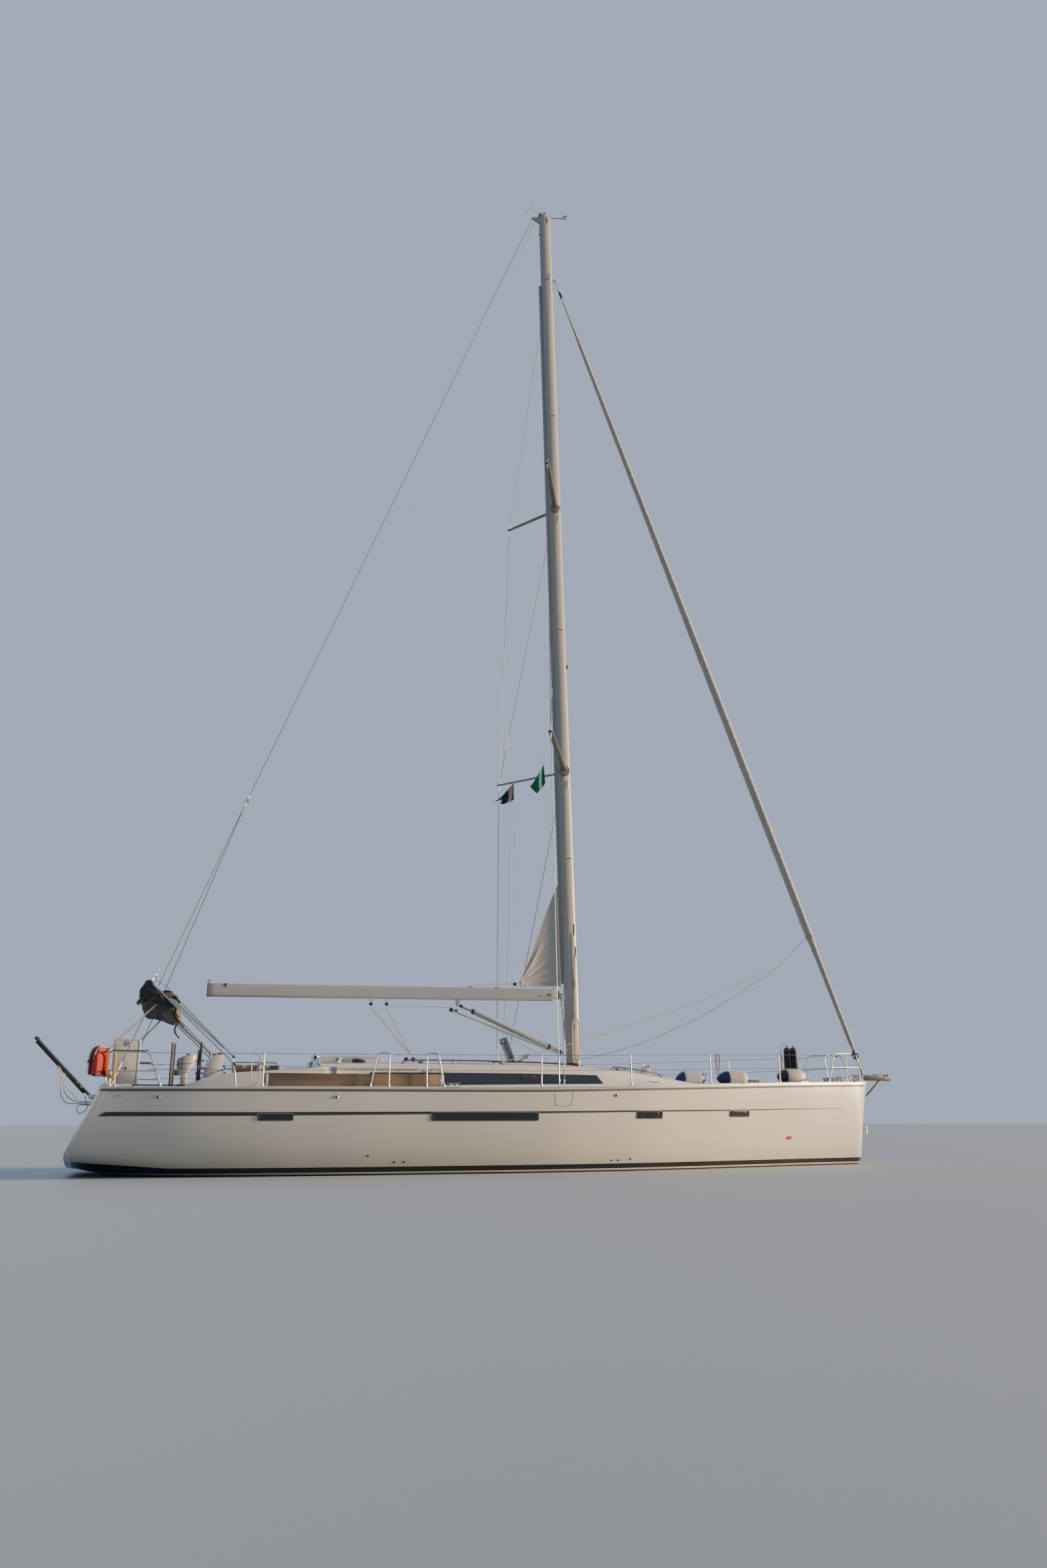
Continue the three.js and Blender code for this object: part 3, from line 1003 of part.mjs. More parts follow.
// Folded bimini: steel bows leaning aft, with the canvas gathered on them
const BIMINI = { base: [-5415, 2000], knee: [-5465, 2000, 1838], fore: [-6505, 1900, 2937],
  aft: [-6977, 1900, 3212] };
function biminiFrame(grow = 0) {
  const radius = RAIL_TUBE + grow;
  const at = (side, [x, y, z]) => v(x, side * y, z);
  const baseZ = deckHeight(...BIMINI.base) - FOOT_DEPTH;
  const mainBow = tube([at(-1, [...BIMINI.base, baseZ]), at(-1, BIMINI.knee), at(-1, BIMINI.aft),
    at(1, BIMINI.aft),
    at(1, BIMINI.knee), at(1, [...BIMINI.base, baseZ])], radius, 160);
  const pivot = [-5488, 1995, 1954];
  const foreBow = tube([at(-1, pivot), at(-1, BIMINI.fore), at(1, BIMINI.fore), at(1, pivot)], radius, 160);
  const links = [-1, 1].flatMap((side) => [
    rod(at(side, pivot), at(side, [-5480, 2000, 1850]), 8, 6),
    rod(at(side, [-7530, 2040, 2040]), at(side, [-6700, 1917, 2960]), radius - 1, 6),
  ]);
  return onDeck(join(mainBow, foreBow, links));
}
const sternRails = ['starboard', 'port'].map((name) => pushpit(SIDES[name]));
const frameBody = largest(biminiFrame().subtract(grown(join(sternRails))));
piece('bimini_frame', frameBody, 'steel');
const CANVAS = [[-7130, 2990], [-7060, 3185], [-6960, 3235], [-6700, 3150], [-6480, 2970], [-6470, 2850],
  [-6620, 2765],
  [-6900, 2830]];
piece('bimini_canvas', prismY(CANVAS, -1930, 1930).subtract(biminiFrame(2 * SEAT)).subtract(backstay(8)),
  'canvas');

// Loose gear on deck
const GANGPLANK = { aft: -4990, fore: -1860, high: 1684, thick: 38 };
function gangplank() {
  const { aft, fore, high, thick } = GANGPLANK;
  const y = -beam(-4990) + 28 + RAIL_TUBE + SEAT;
  return onDeck(box(aft, fore, y, y + thick, 1400, high));
}
piece('gangplank', gangplank(), 'plank');

const FENDERS = { fender_a: [3850, 4480, -1450, 140], fender_b: [5550, 6170, -780, 155],
  fender_c: [3730, 4392, 260, 160] };
Object.entries(FENDERS).forEach(([name, [aft, fore, y, radius]]) => {
  const rest = (x) => v(x, y, deckHeight(x, y) + radius - 2);
  const length = fore - aft;
  const profile = [[0, 0], [24, 0], [30, 30], [radius * 0.8, 70], [radius, 130], [radius, length - 130],
    [radius * 0.8, length - 70], [30, length - 30], [24, length], [0, length]];
  piece(name, onDeck(turned(profile, rest(aft), rest(fore), 14)), 'fender');
});

function uprightFenders() {
  const radius = 78;
  const one = (x) => {
    const y = beam(x) - 150;
    const z = deckHeight(x, y) - FOOT_DEPTH;
    return turned([[0, 0], [radius * 0.6, 0], [radius, 60], [radius, 740], [radius * 0.5, 800], [0, 815]],
      v(x, y, z), v(x, y, z + 1), 12);
  };
  return onDeck(join(one(6560), one(6690)));
}
piece('upright_fenders', uprightFenders(), 'fenderBlack');

function horseshoeBuoy() {
  const arc = Array.from({ length: 9 }, (_, i) => Math.PI * i / 8);
  const half = (radius) => arc.map((angle) => [radius * Math.cos(angle), 250 + radius * Math.sin(angle)]);
  const outline = [[235, 0], ...half(235), [-235, 0], [-105, 0], ...half(105).toReversed(), [105, 0]];
  const shape = prismY(outline, -55, 55);
  return shape.rotate([0, 0, 58]).translate([-7655, -1875, 1630]);
}
piece('horseshoe_buoy', horseshoeBuoy().subtract(grown(sternRails[0])), 'buoy');

function outboard() {
  const [x, y] = [-6250, 1960];
  const cowl = loft([[x, 1880, 0.8], [x, 1950, 1], [x, 2090, 1],
    [x - 10, 2190, 0.62]].map(([middle, z, scale]) => (
    circle(1, 10).map((point) => v(middle + point.x * 215 * scale, y + point.y * 125 * scale, z))
  )));
  const leg = box(x - 70, x + 30, y - 40, y + 40, 1560, 1900);
  const foot = box(x - 90, x + 110, y - 35, y + 35, 1500, 1580);
  const clamp = box(-6480, x, y - 70, y + 70, 1780, 1890);
  const boards = [box(-6552, -6506, 1840, 2060, 1400, 2420), box(-6507, -6460, 1850, 2070, 1400, 2400)];
  return onDeck(join(cowl, leg, foot, clamp, boards));
}
piece('outboard_on_boards', outboard(), 'outboard');

export default yacht;
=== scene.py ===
"""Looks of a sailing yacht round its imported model, in metres: +X is the bow, +Y is port, +Z is up."""

import math
from bisect import bisect_right

import bmesh
import bpy
from mathutils import Matrix, Vector


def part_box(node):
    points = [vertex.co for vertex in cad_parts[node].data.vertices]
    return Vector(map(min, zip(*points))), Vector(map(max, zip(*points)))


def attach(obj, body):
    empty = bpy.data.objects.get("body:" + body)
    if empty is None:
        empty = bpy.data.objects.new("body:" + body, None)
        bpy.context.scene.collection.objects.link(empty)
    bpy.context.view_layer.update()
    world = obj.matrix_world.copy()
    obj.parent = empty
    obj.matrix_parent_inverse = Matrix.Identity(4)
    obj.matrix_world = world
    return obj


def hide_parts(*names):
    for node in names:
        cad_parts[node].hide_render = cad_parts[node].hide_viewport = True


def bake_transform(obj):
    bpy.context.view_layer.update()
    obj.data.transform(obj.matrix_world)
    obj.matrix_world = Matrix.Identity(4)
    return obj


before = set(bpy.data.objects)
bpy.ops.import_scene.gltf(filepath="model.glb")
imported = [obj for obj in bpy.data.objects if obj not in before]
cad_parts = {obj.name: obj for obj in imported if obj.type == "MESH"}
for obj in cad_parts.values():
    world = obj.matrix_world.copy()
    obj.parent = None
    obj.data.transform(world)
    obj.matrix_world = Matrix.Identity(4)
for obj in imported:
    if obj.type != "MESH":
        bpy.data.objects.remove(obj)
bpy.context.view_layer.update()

SIDES = {"starboard": -1, "port": 1}
UP = Vector((0, 0, 1))
PORT = Vector((0, 1, 0))
FORWARD = Vector((1, 0, 0))

# Camera, at the photograph's viewing angle
CAMERA = {"place": (-6.348, -22.413, 0.896), "pitch": 0.2905, "yaw": 0.2878, "roll": -0.0014, "lens": 25.873}


def place_camera():
    camera = bpy.data.objects.new("camera", bpy.data.cameras.new("camera"))
    bpy.context.scene.collection.objects.link(camera)
    camera.data.sensor_width = 36
    camera.data.lens = CAMERA["lens"]
    camera.data.clip_end = 500
    turn = Matrix.Rotation(-CAMERA["yaw"], 4, "Z") @ Matrix.Rotation(math.pi / 2 + CAMERA["pitch"], 4, "X")
    roll = Matrix.Rotation(CAMERA["roll"], 4, "Z")
    camera.matrix_world = Matrix.Translation(CAMERA["place"]) @ turn @ roll
    bpy.context.scene.camera = camera


place_camera()


# Lines of the hull, as in the model: station, half breadth, toe rail, rub line below it, bottom, fullness
HULL_LINES = [
    (-8.1, 2.03, 1.445, 0.05, 0.14, 3.0), (-7.4, 2.1, 1.447, 0.049, 0, 3.0),
    (-6, 2.27, 1.451, 0.048, -0.23, 2.9),
    (-4.5, 2.35, 1.459, 0.052, -0.43, 2.75), (-3, 2.38, 1.467, 0.058, -0.57, 2.6),
    (-1.5, 2.375, 1.477, 0.064, -0.65, 2.5), (0, 2.34, 1.492, 0.07, -0.69, 2.4),
    (1.7, 2.17, 1.531, 0.074, -0.68, 2.25),
    (3.5, 1.77, 1.58, 0.077, -0.6, 2.05), (5.3, 1.2, 1.638, 0.08, -0.45, 1.8),
    (6.3, 0.84, 1.664, 0.08, -0.32, 1.65),
    (6.9, 0.6, 1.68, 0.08, -0.23, 1.6), (7.4, 0.41, 1.693, 0.08, -0.13, 1.55),
    (7.7, 0.29, 1.701, 0.08, -0.045, 1.5),
    (7.8, 0.24, 1.703, 0.08, 0.02, 1.5), (7.93, 0.16, 1.707, 0.08, 0.76, 1.5),
    (8.08, 0.06, 1.711, 0.08, 1.59, 1.5),
]
TRANSOM = [(0.06, -8.08), (0.33, -8.085), (0.5, -8.01), (0.84, -7.85), (1.18, -7.7),
    (1.415, -7.605), (1.56, -7.59)]
ROOF_LINES = [
    (-3.95, 1.62, 1.8, 1.95), (-2.5, 1.58, 1.812, 1.985), (-0.14, 1.5, 1.807, 2.0), (1.4, 1.38, 1.77, 1.945),
    (2.3, 1.2, 1.72, 1.86), (3, 1.0, 1.655, 1.75), (3.7, 0.72, 1.602, 1.655), (4.2, 0.43, 1.58, 1.604),
]


def line_through(table, column=1):
    """Smooth line through a table's column, without overshoot."""
    xs = [row[0] for row in table]
    ys = [row[column] for row in table]
    steps = [(ys[i + 1] - ys[i]) / (xs[i + 1] - xs[i]) for i in range(len(xs) - 1)]
    inner = [2 * a * b / (a + b) if a * b > 0 else 0 for a, b in zip(steps, steps[1:])]
    slopes = [steps[0], *inner, steps[-1]]

    def at(x):
        i = min(max(bisect_right(xs, x) - 1, 0), len(xs) - 2)
        span = xs[i + 1] - xs[i]
        t = min(max((x - xs[i]) / span, 0), 1)
        rise = 3 * t * t - 2 * t**3
        bow = slopes[i] * (t**3 - 2 * t * t + t) + slopes[i + 1] * (t**3 - t * t)
        return ys[i] * (1 - rise) + ys[i + 1] * rise + span * bow

    return at


beam, rail_top, rub_drop, keel_line, fullness = (line_through(HULL_LINES, column) for column in range(1, 6))
roof_half, roof_shoulder, roof_crown = (line_through(ROOF_LINES, column) for column in range(1, 4))
transom_x = line_through(TRANSOM)
RAIL_HEIGHT = 0.04


def rub_line(x):
    return rail_top(x) - rub_drop(x)


def waterway(x):
    return max(beam(x) - 0.06, beam(x) * 0.5)


def deck_height(x, y):
    return rail_top(x) - RAIL_HEIGHT + 0.025 * beam(x) * (1 - abs(y) / waterway(x))


def rail_point(x, side, rise=0.0):
    return Vector((x, side * (beam(x) - 0.028), rail_top(x) + rise))


def hull_point(x, share, inset=0.0, raised=0.0):
    """Point of the hull's section: share goes from -1 at the starboard rub line past 0 at the keel to 1."""
    top = rub_line(x) + raised
    half = beam(x) - inset
    low = min(keel_line(x) + inset, top - 0.02)
    angle = abs(share) * math.pi / 2
    power = 2 / fullness(x)
    y = math.copysign(half * math.sin(angle) ** power, share)
    return Vector((x, y, top - (top - low) * math.cos(angle) ** power))


def hull_side(x, z, side, proud=0.0):
    """Point of the topsides at a station and height, standing proud by a little."""
    depth = min(max((rub_line(x) - z) / (rub_line(x) - keel_line(x)), 0), 1)
    power = 2 / fullness(x)
    across = math.sqrt(max(1 - depth ** (2 / power), 0)) ** power
    return Vector((x, side * (beam(x) * across + proud), z))


def mix(a, b, share):
    return a + (b - a) * share


# Finishes, built node by node
class Value:
    """A socket of a finish; sums on it add Math nodes."""

    def __init__(self, finish, socket):
        self.finish = finish
        self.socket = socket

    def sum(self, operation, *others):
        inputs = dict(enumerate((self, *others)))
        return self.finish.node("Math", {"operation": operation}, inputs)

    def __add__(self, other):
        return self.sum("ADD", other)

    def __sub__(self, other):
        return self.sum("SUBTRACT", other)

    def __mul__(self, other):
        return self.sum("MULTIPLY", other)

    __radd__ = __add__

    def __rsub__(self, other):
        return self * -1 + other

    def __truediv__(self, other):
        return self.sum("DIVIDE", other)

    def __pow__(self, other):
        return self.sum("POWER", other)

    def above(self, level, soft=0.0005):
        """1 above a level and 0 below it."""
        limits = {0: self, 1: level - soft, 2: level + soft, 3: 0.0, 4: 1.0}
        return self.finish.node("MapRange", {"interpolation_type": "LINEAR", "clamp": True}, limits)

    def between(self, low, high, soft=0.0005):
        return self.above(low, soft) * (1 - self.above(high, soft))

    def wave(self, length):
        """Swings between -1 and 1 once in a length."""
        return (self * (2 * math.pi / length)).sum("SINE")


class Finish:
    """A material that is put together from nodes."""

    def __init__(self, name, color=(0.8, 0.8, 0.8), roughness=0.5, metallic=0.0, **sockets):
        self.material = bpy.data.materials.new(name)
        self.material.use_nodes = True
        self.tree = self.material.node_tree
        self.shader = self.tree.nodes["Principled BSDF"]
        self.set(Roughness=roughness, Metallic=metallic)
        self.shader.inputs["Base Color"].default_value = (*color, 1)
        for socket, value in sockets.items():
            self.shader.inputs[socket.replace("_", " ")].default_value = value
        self.place = self.node("TexCoord", output="Object")

    def node(self, kind, settings=None, inputs=None, output=0):
        made = self.tree.nodes.new("ShaderNode" + kind)
        for key, value in (settings or {}).items():
            setattr(made, key, value)
        for key, value in (inputs or {}).items():
            if isinstance(value, Value):
                self.tree.links.new(value.socket, made.inputs[key])
            else:
                made.inputs[key].default_value = value
        return Value(self, made.outputs[output])

    def set(self, **sockets):
        for name, value in sockets.items():
            socket = self.shader.inputs[name.replace("_", " ")]
            if isinstance(value, Value):
                self.tree.links.new(value.socket, socket)
            else:
                socket.default_value = value
        return self

    def axis(self, name, source=None):
        return self.node("SeparateXYZ", None, {0: source or self.place}, output=name)

    def scaled(self, *factors):
        return self.node("VectorMath", {"operation": "MULTIPLY"}, {0: self.place, 1: factors})

    def along(self, *direction):
        """How far a place lies along a direction."""
        return self.node("VectorMath", {"operation": "DOT_PRODUCT"},
            {0: self.place, 1: direction}, output="Value")

    def noise(self, scale, detail=3.0, roughness=0.5, source=None):
        return self.node("TexNoise", None, {"Vector": source or self.place, "Scale": scale, "Detail": detail,
                                            "Roughness": roughness})

    def cells(self, scale):
        return self.node("TexVoronoi", None, {"Vector": self.place, "Scale": scale})

    def blend(self, share, first, second):
        """Colour that goes from the first to the second."""
        colors = [value if isinstance(value, Value) else (*value, 1) for value in (first, second)]
        return self.node("Mix", {"data_type": "RGBA"}, {0: share, 6: colors[0], 7: colors[1]}, output=2)

    def bump(self, height, distance, strength=1.0):
        return self.set(Normal=self.node("Bump", None,
            {"Height": height, "Distance": distance, "Strength": strength}))


def gelcoat(name, color, roughness=0.22):
    """Sprayed moulding: glossy, with soft waves in its light and a little dust."""
    finish = Finish(name, color, roughness, Coat_Weight=0.25, Coat_Roughness=0.08)
    cloud = finish.noise(0.9, 4)
    dust = finish.noise(14, 5, 0.65)
    dirty = tuple(channel * 0.86 for channel in color)
    finish.set(Base_Color=finish.blend(dust * cloud * 0.6, color, dirty), Roughness=roughness + dust * 0.12)
    return finish.bump(finish.noise(3.5, 2) + dust * 0.02, 0.0012)


def painted_hull():
    """Topsides with boot stripes along the waterline and dark paint below it."""
    white, black, under = (0.735, 0.71, 0.63), (0.012, 0.014, 0.016), (0.02, 0.024, 0.03)
    finish = gelcoat("hull_gelcoat", white, 0.2)
    height = finish.axis("Z")
    x = finish.axis("X")
    aft = 1 - x.above(-7.2, 0.8)
    broad = height.between(0.056, 0.142 + aft * 0.11, 0.0015)
    thin = height.between(0.004, 0.026, 0.0015)
    below = 1 - height.above(0.004, 0.0015)
    dust = finish.noise(9, 6, 0.7)
    stretched = finish.noise(1.0, 5, 0.6, finish.scaled(1.1, 1.1, 0.12))
    tide = (1 - height.above(0.34, 0.16)) * stretched
    top = finish.blend(dust * 0.35, white, (0.60, 0.58, 0.53))
    top = finish.blend(tide * 0.45, top, (0.42, 0.38, 0.28))
    striped = finish.blend(broad.sum("MAXIMUM", thin), top, black)
    weed = finish.blend(finish.noise(22, 6, 0.7).above(0.52, 0.1), under, (0.045, 0.05, 0.04))
    finish.set(Base_Color=finish.blend(below, striped, weed))
    finish.set(Roughness=0.2 + below * 0.5 + dust * 0.1, Coat_Weight=0.3 - below * 0.3)
    return finish


def steel(name="polished_steel", color=(0.52, 0.51, 0.48), roughness=0.33):
    """Polished stainless with fine rubbing marks and a little tea staining."""
    finish = Finish(name, color, roughness, 1.0)
    stain = finish.noise(60, 6, 0.7).above(0.62, 0.12)
    finish.set(Base_Color=finish.blend(stain * 0.35, color, (0.36, 0.27, 0.18)),
        Roughness=roughness + stain * 0.2)
    return finish.bump(finish.noise(400, 2), 0.00002)


def strands(name, color, metallic, pitch, roughness=0.4, fleck=None, share=0.25):
    """Laid or braided line; its UV runs round it and along it in diameters."""
    finish = Finish(name, color, roughness, metallic)
    uv = finish.node("TexCoord", output="UV")
    around, along = finish.axis("X", uv), finish.axis("Y", uv)
    right = ((around * 4 + along * pitch) * (2 * math.pi)).sum("SINE")
    left = ((around * 4 - along * pitch) * (2 * math.pi)).sum("SINE")
    plait = right.sum("MAXIMUM", left)
    shade = tuple(channel * 0.55 for channel in color)
    base = finish.blend(plait.above(-0.2, 0.9), shade, color)
    if fleck:
        marked = ((around + along * 0.5) * (2 * math.pi)).sum("SINE").above(1 - 2 * share, 0.05)
        base = finish.blend(marked, base, fleck)
    finish.set(Base_Color=base)
    return finish.bump(plait, 0.0006)


def cloth(name, color, thread=900.0, roughness=0.85, wear=0.35, sheen=0.25):
    """Woven cloth with a fine thread, faded in places."""
    finish = Finish(name, color, roughness, Sheen_Weight=sheen)
    weave = finish.axis("X").wave(6.28 / thread) * finish.axis("Z").wave(6.28 / thread)
    faded = tuple(min(channel * 1.5 + 0.02, 1) for channel in color)
    patch = finish.noise(3.2, 5, 0.6)
    finish.set(Base_Color=finish.blend(patch.above(0.5, 0.25) * wear, color, faded))
    return finish.bump(weave + finish.noise(40, 4) * 3, 0.0006)


def moulded(name, color, roughness=0.5, grain=260.0):
    """Moulded plastic or rubber with a fine leather grain."""
    finish = Finish(name, color, roughness)
    cells = finish.cells(grain)
    scuff = finish.noise(24, 6, 0.7)
    worn = tuple(min(channel * 1.35 + 0.015, 1) for channel in color)
    finish.set(Base_Color=finish.blend(scuff.above(0.55, 0.15) * 0.5, color, worn),
        Roughness=roughness + scuff * 0.15)
    return finish.bump(cells, 0.00012)


def painted(name, color, roughness=0.35, metallic=0.0):
    """Sprayed or anodised metal with faint streaks."""
    finish = Finish(name, color, roughness, metallic, Coat_Weight=0.1)
    streak = finish.noise(2.4, 5, 0.6, finish.scaled(3, 3, 0.35))
    dark = tuple(channel * 0.84 for channel in color)
    finish.set(Base_Color=finish.blend(streak.above(0.5, 0.2) * 0.5, color, dark),
        Roughness=roughness + streak * 0.12)
    return finish.bump(finish.noise(180, 3), 0.00004)


def smoked_glass(name, color=(0.008, 0.009, 0.014)):
    """Smoked acrylic: nearly black, with faint sky-blue depth and wiping marks."""
    finish = Finish(name, color, 0.07, Coat_Weight=0.6, Coat_Roughness=0.03)
    marks = finish.noise(5, 5, 0.7)
    finish.set(Base_Color=finish.blend(marks, color, (0.02, 0.024, 0.036)), Roughness=0.05 + marks * 0.08)
    return finish.bump(finish.noise(1.2, 2), 0.0008)


def nonslip():
    """Moulded diamond pattern of a deck's walking areas."""
    color = (0.70, 0.70, 0.67)
    finish = Finish("nonslip_deck", color, 0.62)
    across = finish.along(0.707, 0.707, 0).wave(0.012)
    along = finish.along(0.707, -0.707, 0).wave(0.012)
    grime = finish.noise(6, 6, 0.65)
    finish.set(Base_Color=finish.blend(grime.above(0.48, 0.22) * 0.5, color, (0.57, 0.56, 0.52)))
    return finish.bump(across * along, 0.0006)


def planks(name, wood, seam, width, axis="Y", grain=(1.2, 26, 26), gap=0.03):
    """Boards with caulked seams, their grain along X."""
    finish = Finish(name, wood, 0.55)
    board = finish.axis(axis) / width
    edge = board.sum("FRACT").between(gap, 1 - gap, 0.01)
    number = board.sum("FLOOR")
    shift = finish.node("CombineXYZ", None, {0: number * 3.7, 1: number * 1.9, 2: number * 0.3})
    moved = finish.node("VectorMath", {"operation": "ADD"}, {0: finish.scaled(*grain), 1: shift})
    rings = finish.noise(1.0, 6, 0.62, moved)
    fibre = finish.noise(6.0, 4, 0.6, moved)
    tone = finish.node("TexWhiteNoise", {"noise_dimensions": "1D"}, {"W": number})
    dark = tuple(channel * 0.55 for channel in wood)
    base = finish.blend(rings.above(0.5, 0.2) * 0.8 + fibre * 0.2, wood, dark)
    base = finish.blend(tone * 0.35, base, tuple(min(channel * 1.5, 1) for channel in wood))
    finish.set(Base_Color=finish.blend(edge, seam, base), Roughness=0.5 + rings * 0.25)
    return finish.bump(edge * 2 + rings * 0.3, 0.0008)


WHITE = gelcoat("white_moulding", (0.76, 0.76, 0.74))
HULL = painted_hull()
STEEL = steel()
DULL_STEEL = steel("brushed_steel", (0.5, 0.5, 0.49), 0.34)
GLASS = smoked_glass("smoked_glass")
BAND_PAINT = painted("band_paint", (0.035, 0.042, 0.040), 0.3)
NONSLIP = nonslip()
WORN_STEEL = steel("worn_steel", (0.24, 0.22, 0.19), 0.42)
MAST_PAINT = painted("mast_paint", (0.46, 0.45, 0.41), 0.3)
BOOM_PAINT = painted("boom_paint", (0.43, 0.46, 0.48), 0.32)
GREY_ALLOY = painted("grey_alloy", (0.20, 0.21, 0.22), 0.35, 0.6)
ANODISED = painted("anodised_alloy", (0.46, 0.47, 0.48), 0.32, 0.8)
BLACK = moulded("black_plastic", (0.016, 0.016, 0.018), 0.42)
RUBBER = moulded("grey_rubber", (0.10, 0.105, 0.11), 0.6)
LEATHER = moulded("black_leather", (0.02, 0.019, 0.018), 0.55, 420)
CANVAS = cloth("grey_canvas", (0.026, 0.026, 0.031))
KHAKI = cloth("khaki_canvas", (0.16, 0.125, 0.07))
RED_COVER = cloth("red_cover", (0.30, 0.010, 0.018), wear=0.2)
PIPING = cloth("white_piping", (0.72, 0.71, 0.68), wear=0.1)
CREAM_VINYL = moulded("cream_vinyl", (0.66, 0.62, 0.52), 0.38, 90)
WHITE_VINYL = moulded("white_vinyl", (0.66, 0.66, 0.64), 0.38, 90)
BLACK_COVER = cloth("black_cover", (0.018, 0.018, 0.02), wear=0.3)
TEAK = planks("teak_planks", (0.36, 0.235, 0.125), (0.012, 0.011, 0.010), 0.05, gap=0.045)
PLANK = planks("weathered_plank", (0.235, 0.175, 0.115), (0.12, 0.09, 0.06), 0.225,
    "Z", (1.1, 9, 9), gap=0.004)
WIRE = strands("wire_rope", (0.13, 0.13, 0.14), 0.7, 0.5, 0.35)
ROPE = strands("white_braid", (0.62, 0.58, 0.50), 0.0, 1.6, 0.8, (0.16, 0.10, 0.07), 0.12)
CREAM_ROPE = strands("cream_braid", (0.60, 0.55, 0.44), 0.0, 1.6, 0.8)
DARK_ROPE = strands("dark_braid", (0.05, 0.05, 0.055), 0.0, 1.6, 0.8, (0.3, 0.3, 0.3), 0.12)
RED_ROPE = strands("red_braid", (0.45, 0.02, 0.02), 0.0, 1.6, 0.8)
RED_WHITE_ROPE = strands("red_fleck_braid", (0.62, 0.58, 0.52), 0.0, 1.6, 0.8, (0.5, 0.02, 0.02), 0.4)
YELLOW_ROPE = strands("yellow_rope", (0.62, 0.36, 0.03), 0.0, 0.8, 0.7)
GREEN_ROPE = strands("green_fleck_braid", (0.5, 0.5, 0.45), 0.0, 1.6, 0.8, (0.02, 0.22, 0.06), 0.3)
BRONZE = steel("bronze", (0.36, 0.24, 0.10), 0.38)
IRON = painted("lead_paint", (0.03, 0.034, 0.04), 0.6)
ANTIFOUL = painted("antifouling", (0.022, 0.026, 0.032), 0.75)
ENGINE_GREY = painted("engine_enamel", (0.20, 0.23, 0.25), 0.4)


# Shapes
def shape_of(vertices=(), edges=()):
    shape = bmesh.new()
    made = [shape.verts.new(place) for place in vertices]
    for a, b in edges:
        shape.edges.new((made[a], made[b]))
    return shape


def rounded_edges(shape, radius, segments=2, sharp=30):
    """Rounds a shape's hard edges."""
    if radius <= 0:
        return shape
    hard = [edge for edge in shape.edges if edge.is_manifold and edge.calc_face_angle(0) > math.radians(sharp)]
    bmesh.ops.bevel(shape, geom=hard, offset=radius, segments=segments, profile=0.5, affect="EDGES",
        material=-1, clamp_overlap=True)
    return shape


def block(low, high, radius=0.0, segments=2):
    shape = bmesh.new()
    bmesh.ops.create_cube(shape, size=1)
    low, high = Vector(low), Vector(high)
    bmesh.ops.scale(shape, vec=high - low, verts=shape.verts)
    bmesh.ops.translate(shape, vec=(low + high) / 2, verts=shape.verts)
    return rounded_edges(shape, radius, segments)


def block_at(middle, half, radius=0.0):
    """Block round a middle, from half its length, width and height."""
    middle, half = Vector(middle), Vector(half)
    return block(middle - half, middle + half, radius)


def moved(shape, matrix):
    bmesh.ops.transform(shape, matrix=matrix, verts=shape.verts)
    return shape


def with_ends(shape):
    """Closes a swept shape's open ends."""
    bmesh.ops.holes_fill(shape, edges=[edge for edge in shape.edges if edge.is_boundary], sides=0)
    bmesh.ops.recalc_face_normals(shape, faces=shape.faces)
    return shape


def aimed(shape, start, end):
    """Moves a shape made on the Z axis so that it starts at one point and heads for another."""
    start, end = Vector(start), Vector(end)
    return moved(shape, Matrix.Translation(start) @ (end - start).to_track_quat("Z", "Y").to_matrix().to_4x4())


def turned(profile, start, end, sides=24):
    """Body of revolution: pairs of radius and distance from start towards end."""
    points = [(radius, 0, along) for radius, along in profile]
    shape = shape_of(points, [(i, i + 1) for i in range(len(points) - 1)])
    bmesh.ops.spin(shape, geom=shape.verts[:] + shape.edges[:], cent=(0, 0, 0), axis=(0, 0, 1),
        angle=2 * math.pi, steps=sides, use_merge=True)
    bmesh.ops.remove_doubles(shape, verts=shape.verts, dist=1e-5)
    bmesh.ops.recalc_face_normals(shape, faces=shape.faces)
    return aimed(shape, start, end)


def rod(start, end, radius, sides=12, end_radius=None):
    length = (Vector(end) - Vector(start)).length
    shape = bmesh.new()
    bmesh.ops.create_cone(shape, cap_ends=True, segments=sides, radius1=radius,
                          radius2=radius if end_radius is None else end_radius, depth=length)
    bmesh.ops.translate(shape, vec=(0, 0, length / 2), verts=shape.verts)
    return aimed(shape, start, end)


def pin(middle, half, radius, sides=12):
    """Rod round a middle; half is half its length and its direction."""
    middle, half = Vector(middle), Vector(half)
    return rod(middle - half, middle + half, radius, sides)


def ball(centre, radius, squash=(1, 1, 1), rings=12):
    shape = bmesh.new()
    bmesh.ops.create_uvsphere(shape, u_segments=rings * 2, v_segments=rings, radius=radius)
    bmesh.ops.scale(shape, vec=squash, verts=shape.verts)
    bmesh.ops.translate(shape, vec=centre, verts=shape.verts)
    return shape


def ring(centre, axis, radius, thick, sides=32, section=10):
    """Ring round an axis through its centre."""
    shape = bmesh.new()
    bmesh.ops.create_circle(shape, segments=section, radius=thick)
    bmesh.ops.rotate(shape, cent=(0, 0, 0), matrix=Matrix.Rotation(math.pi / 2, 3, "X"), verts=shape.verts)
    bmesh.ops.translate(shape, vec=(radius, 0, 0), verts=shape.verts)
    bmesh.ops.spin(shape, geom=shape.verts[:] + shape.edges[:], cent=(0, 0, 0), axis=(0, 0, 1),
        angle=2 * math.pi, steps=sides, use_merge=True)
    bmesh.ops.recalc_face_normals(shape, faces=shape.faces)
    return aimed(shape, centre, Vector(centre) + Vector(axis))


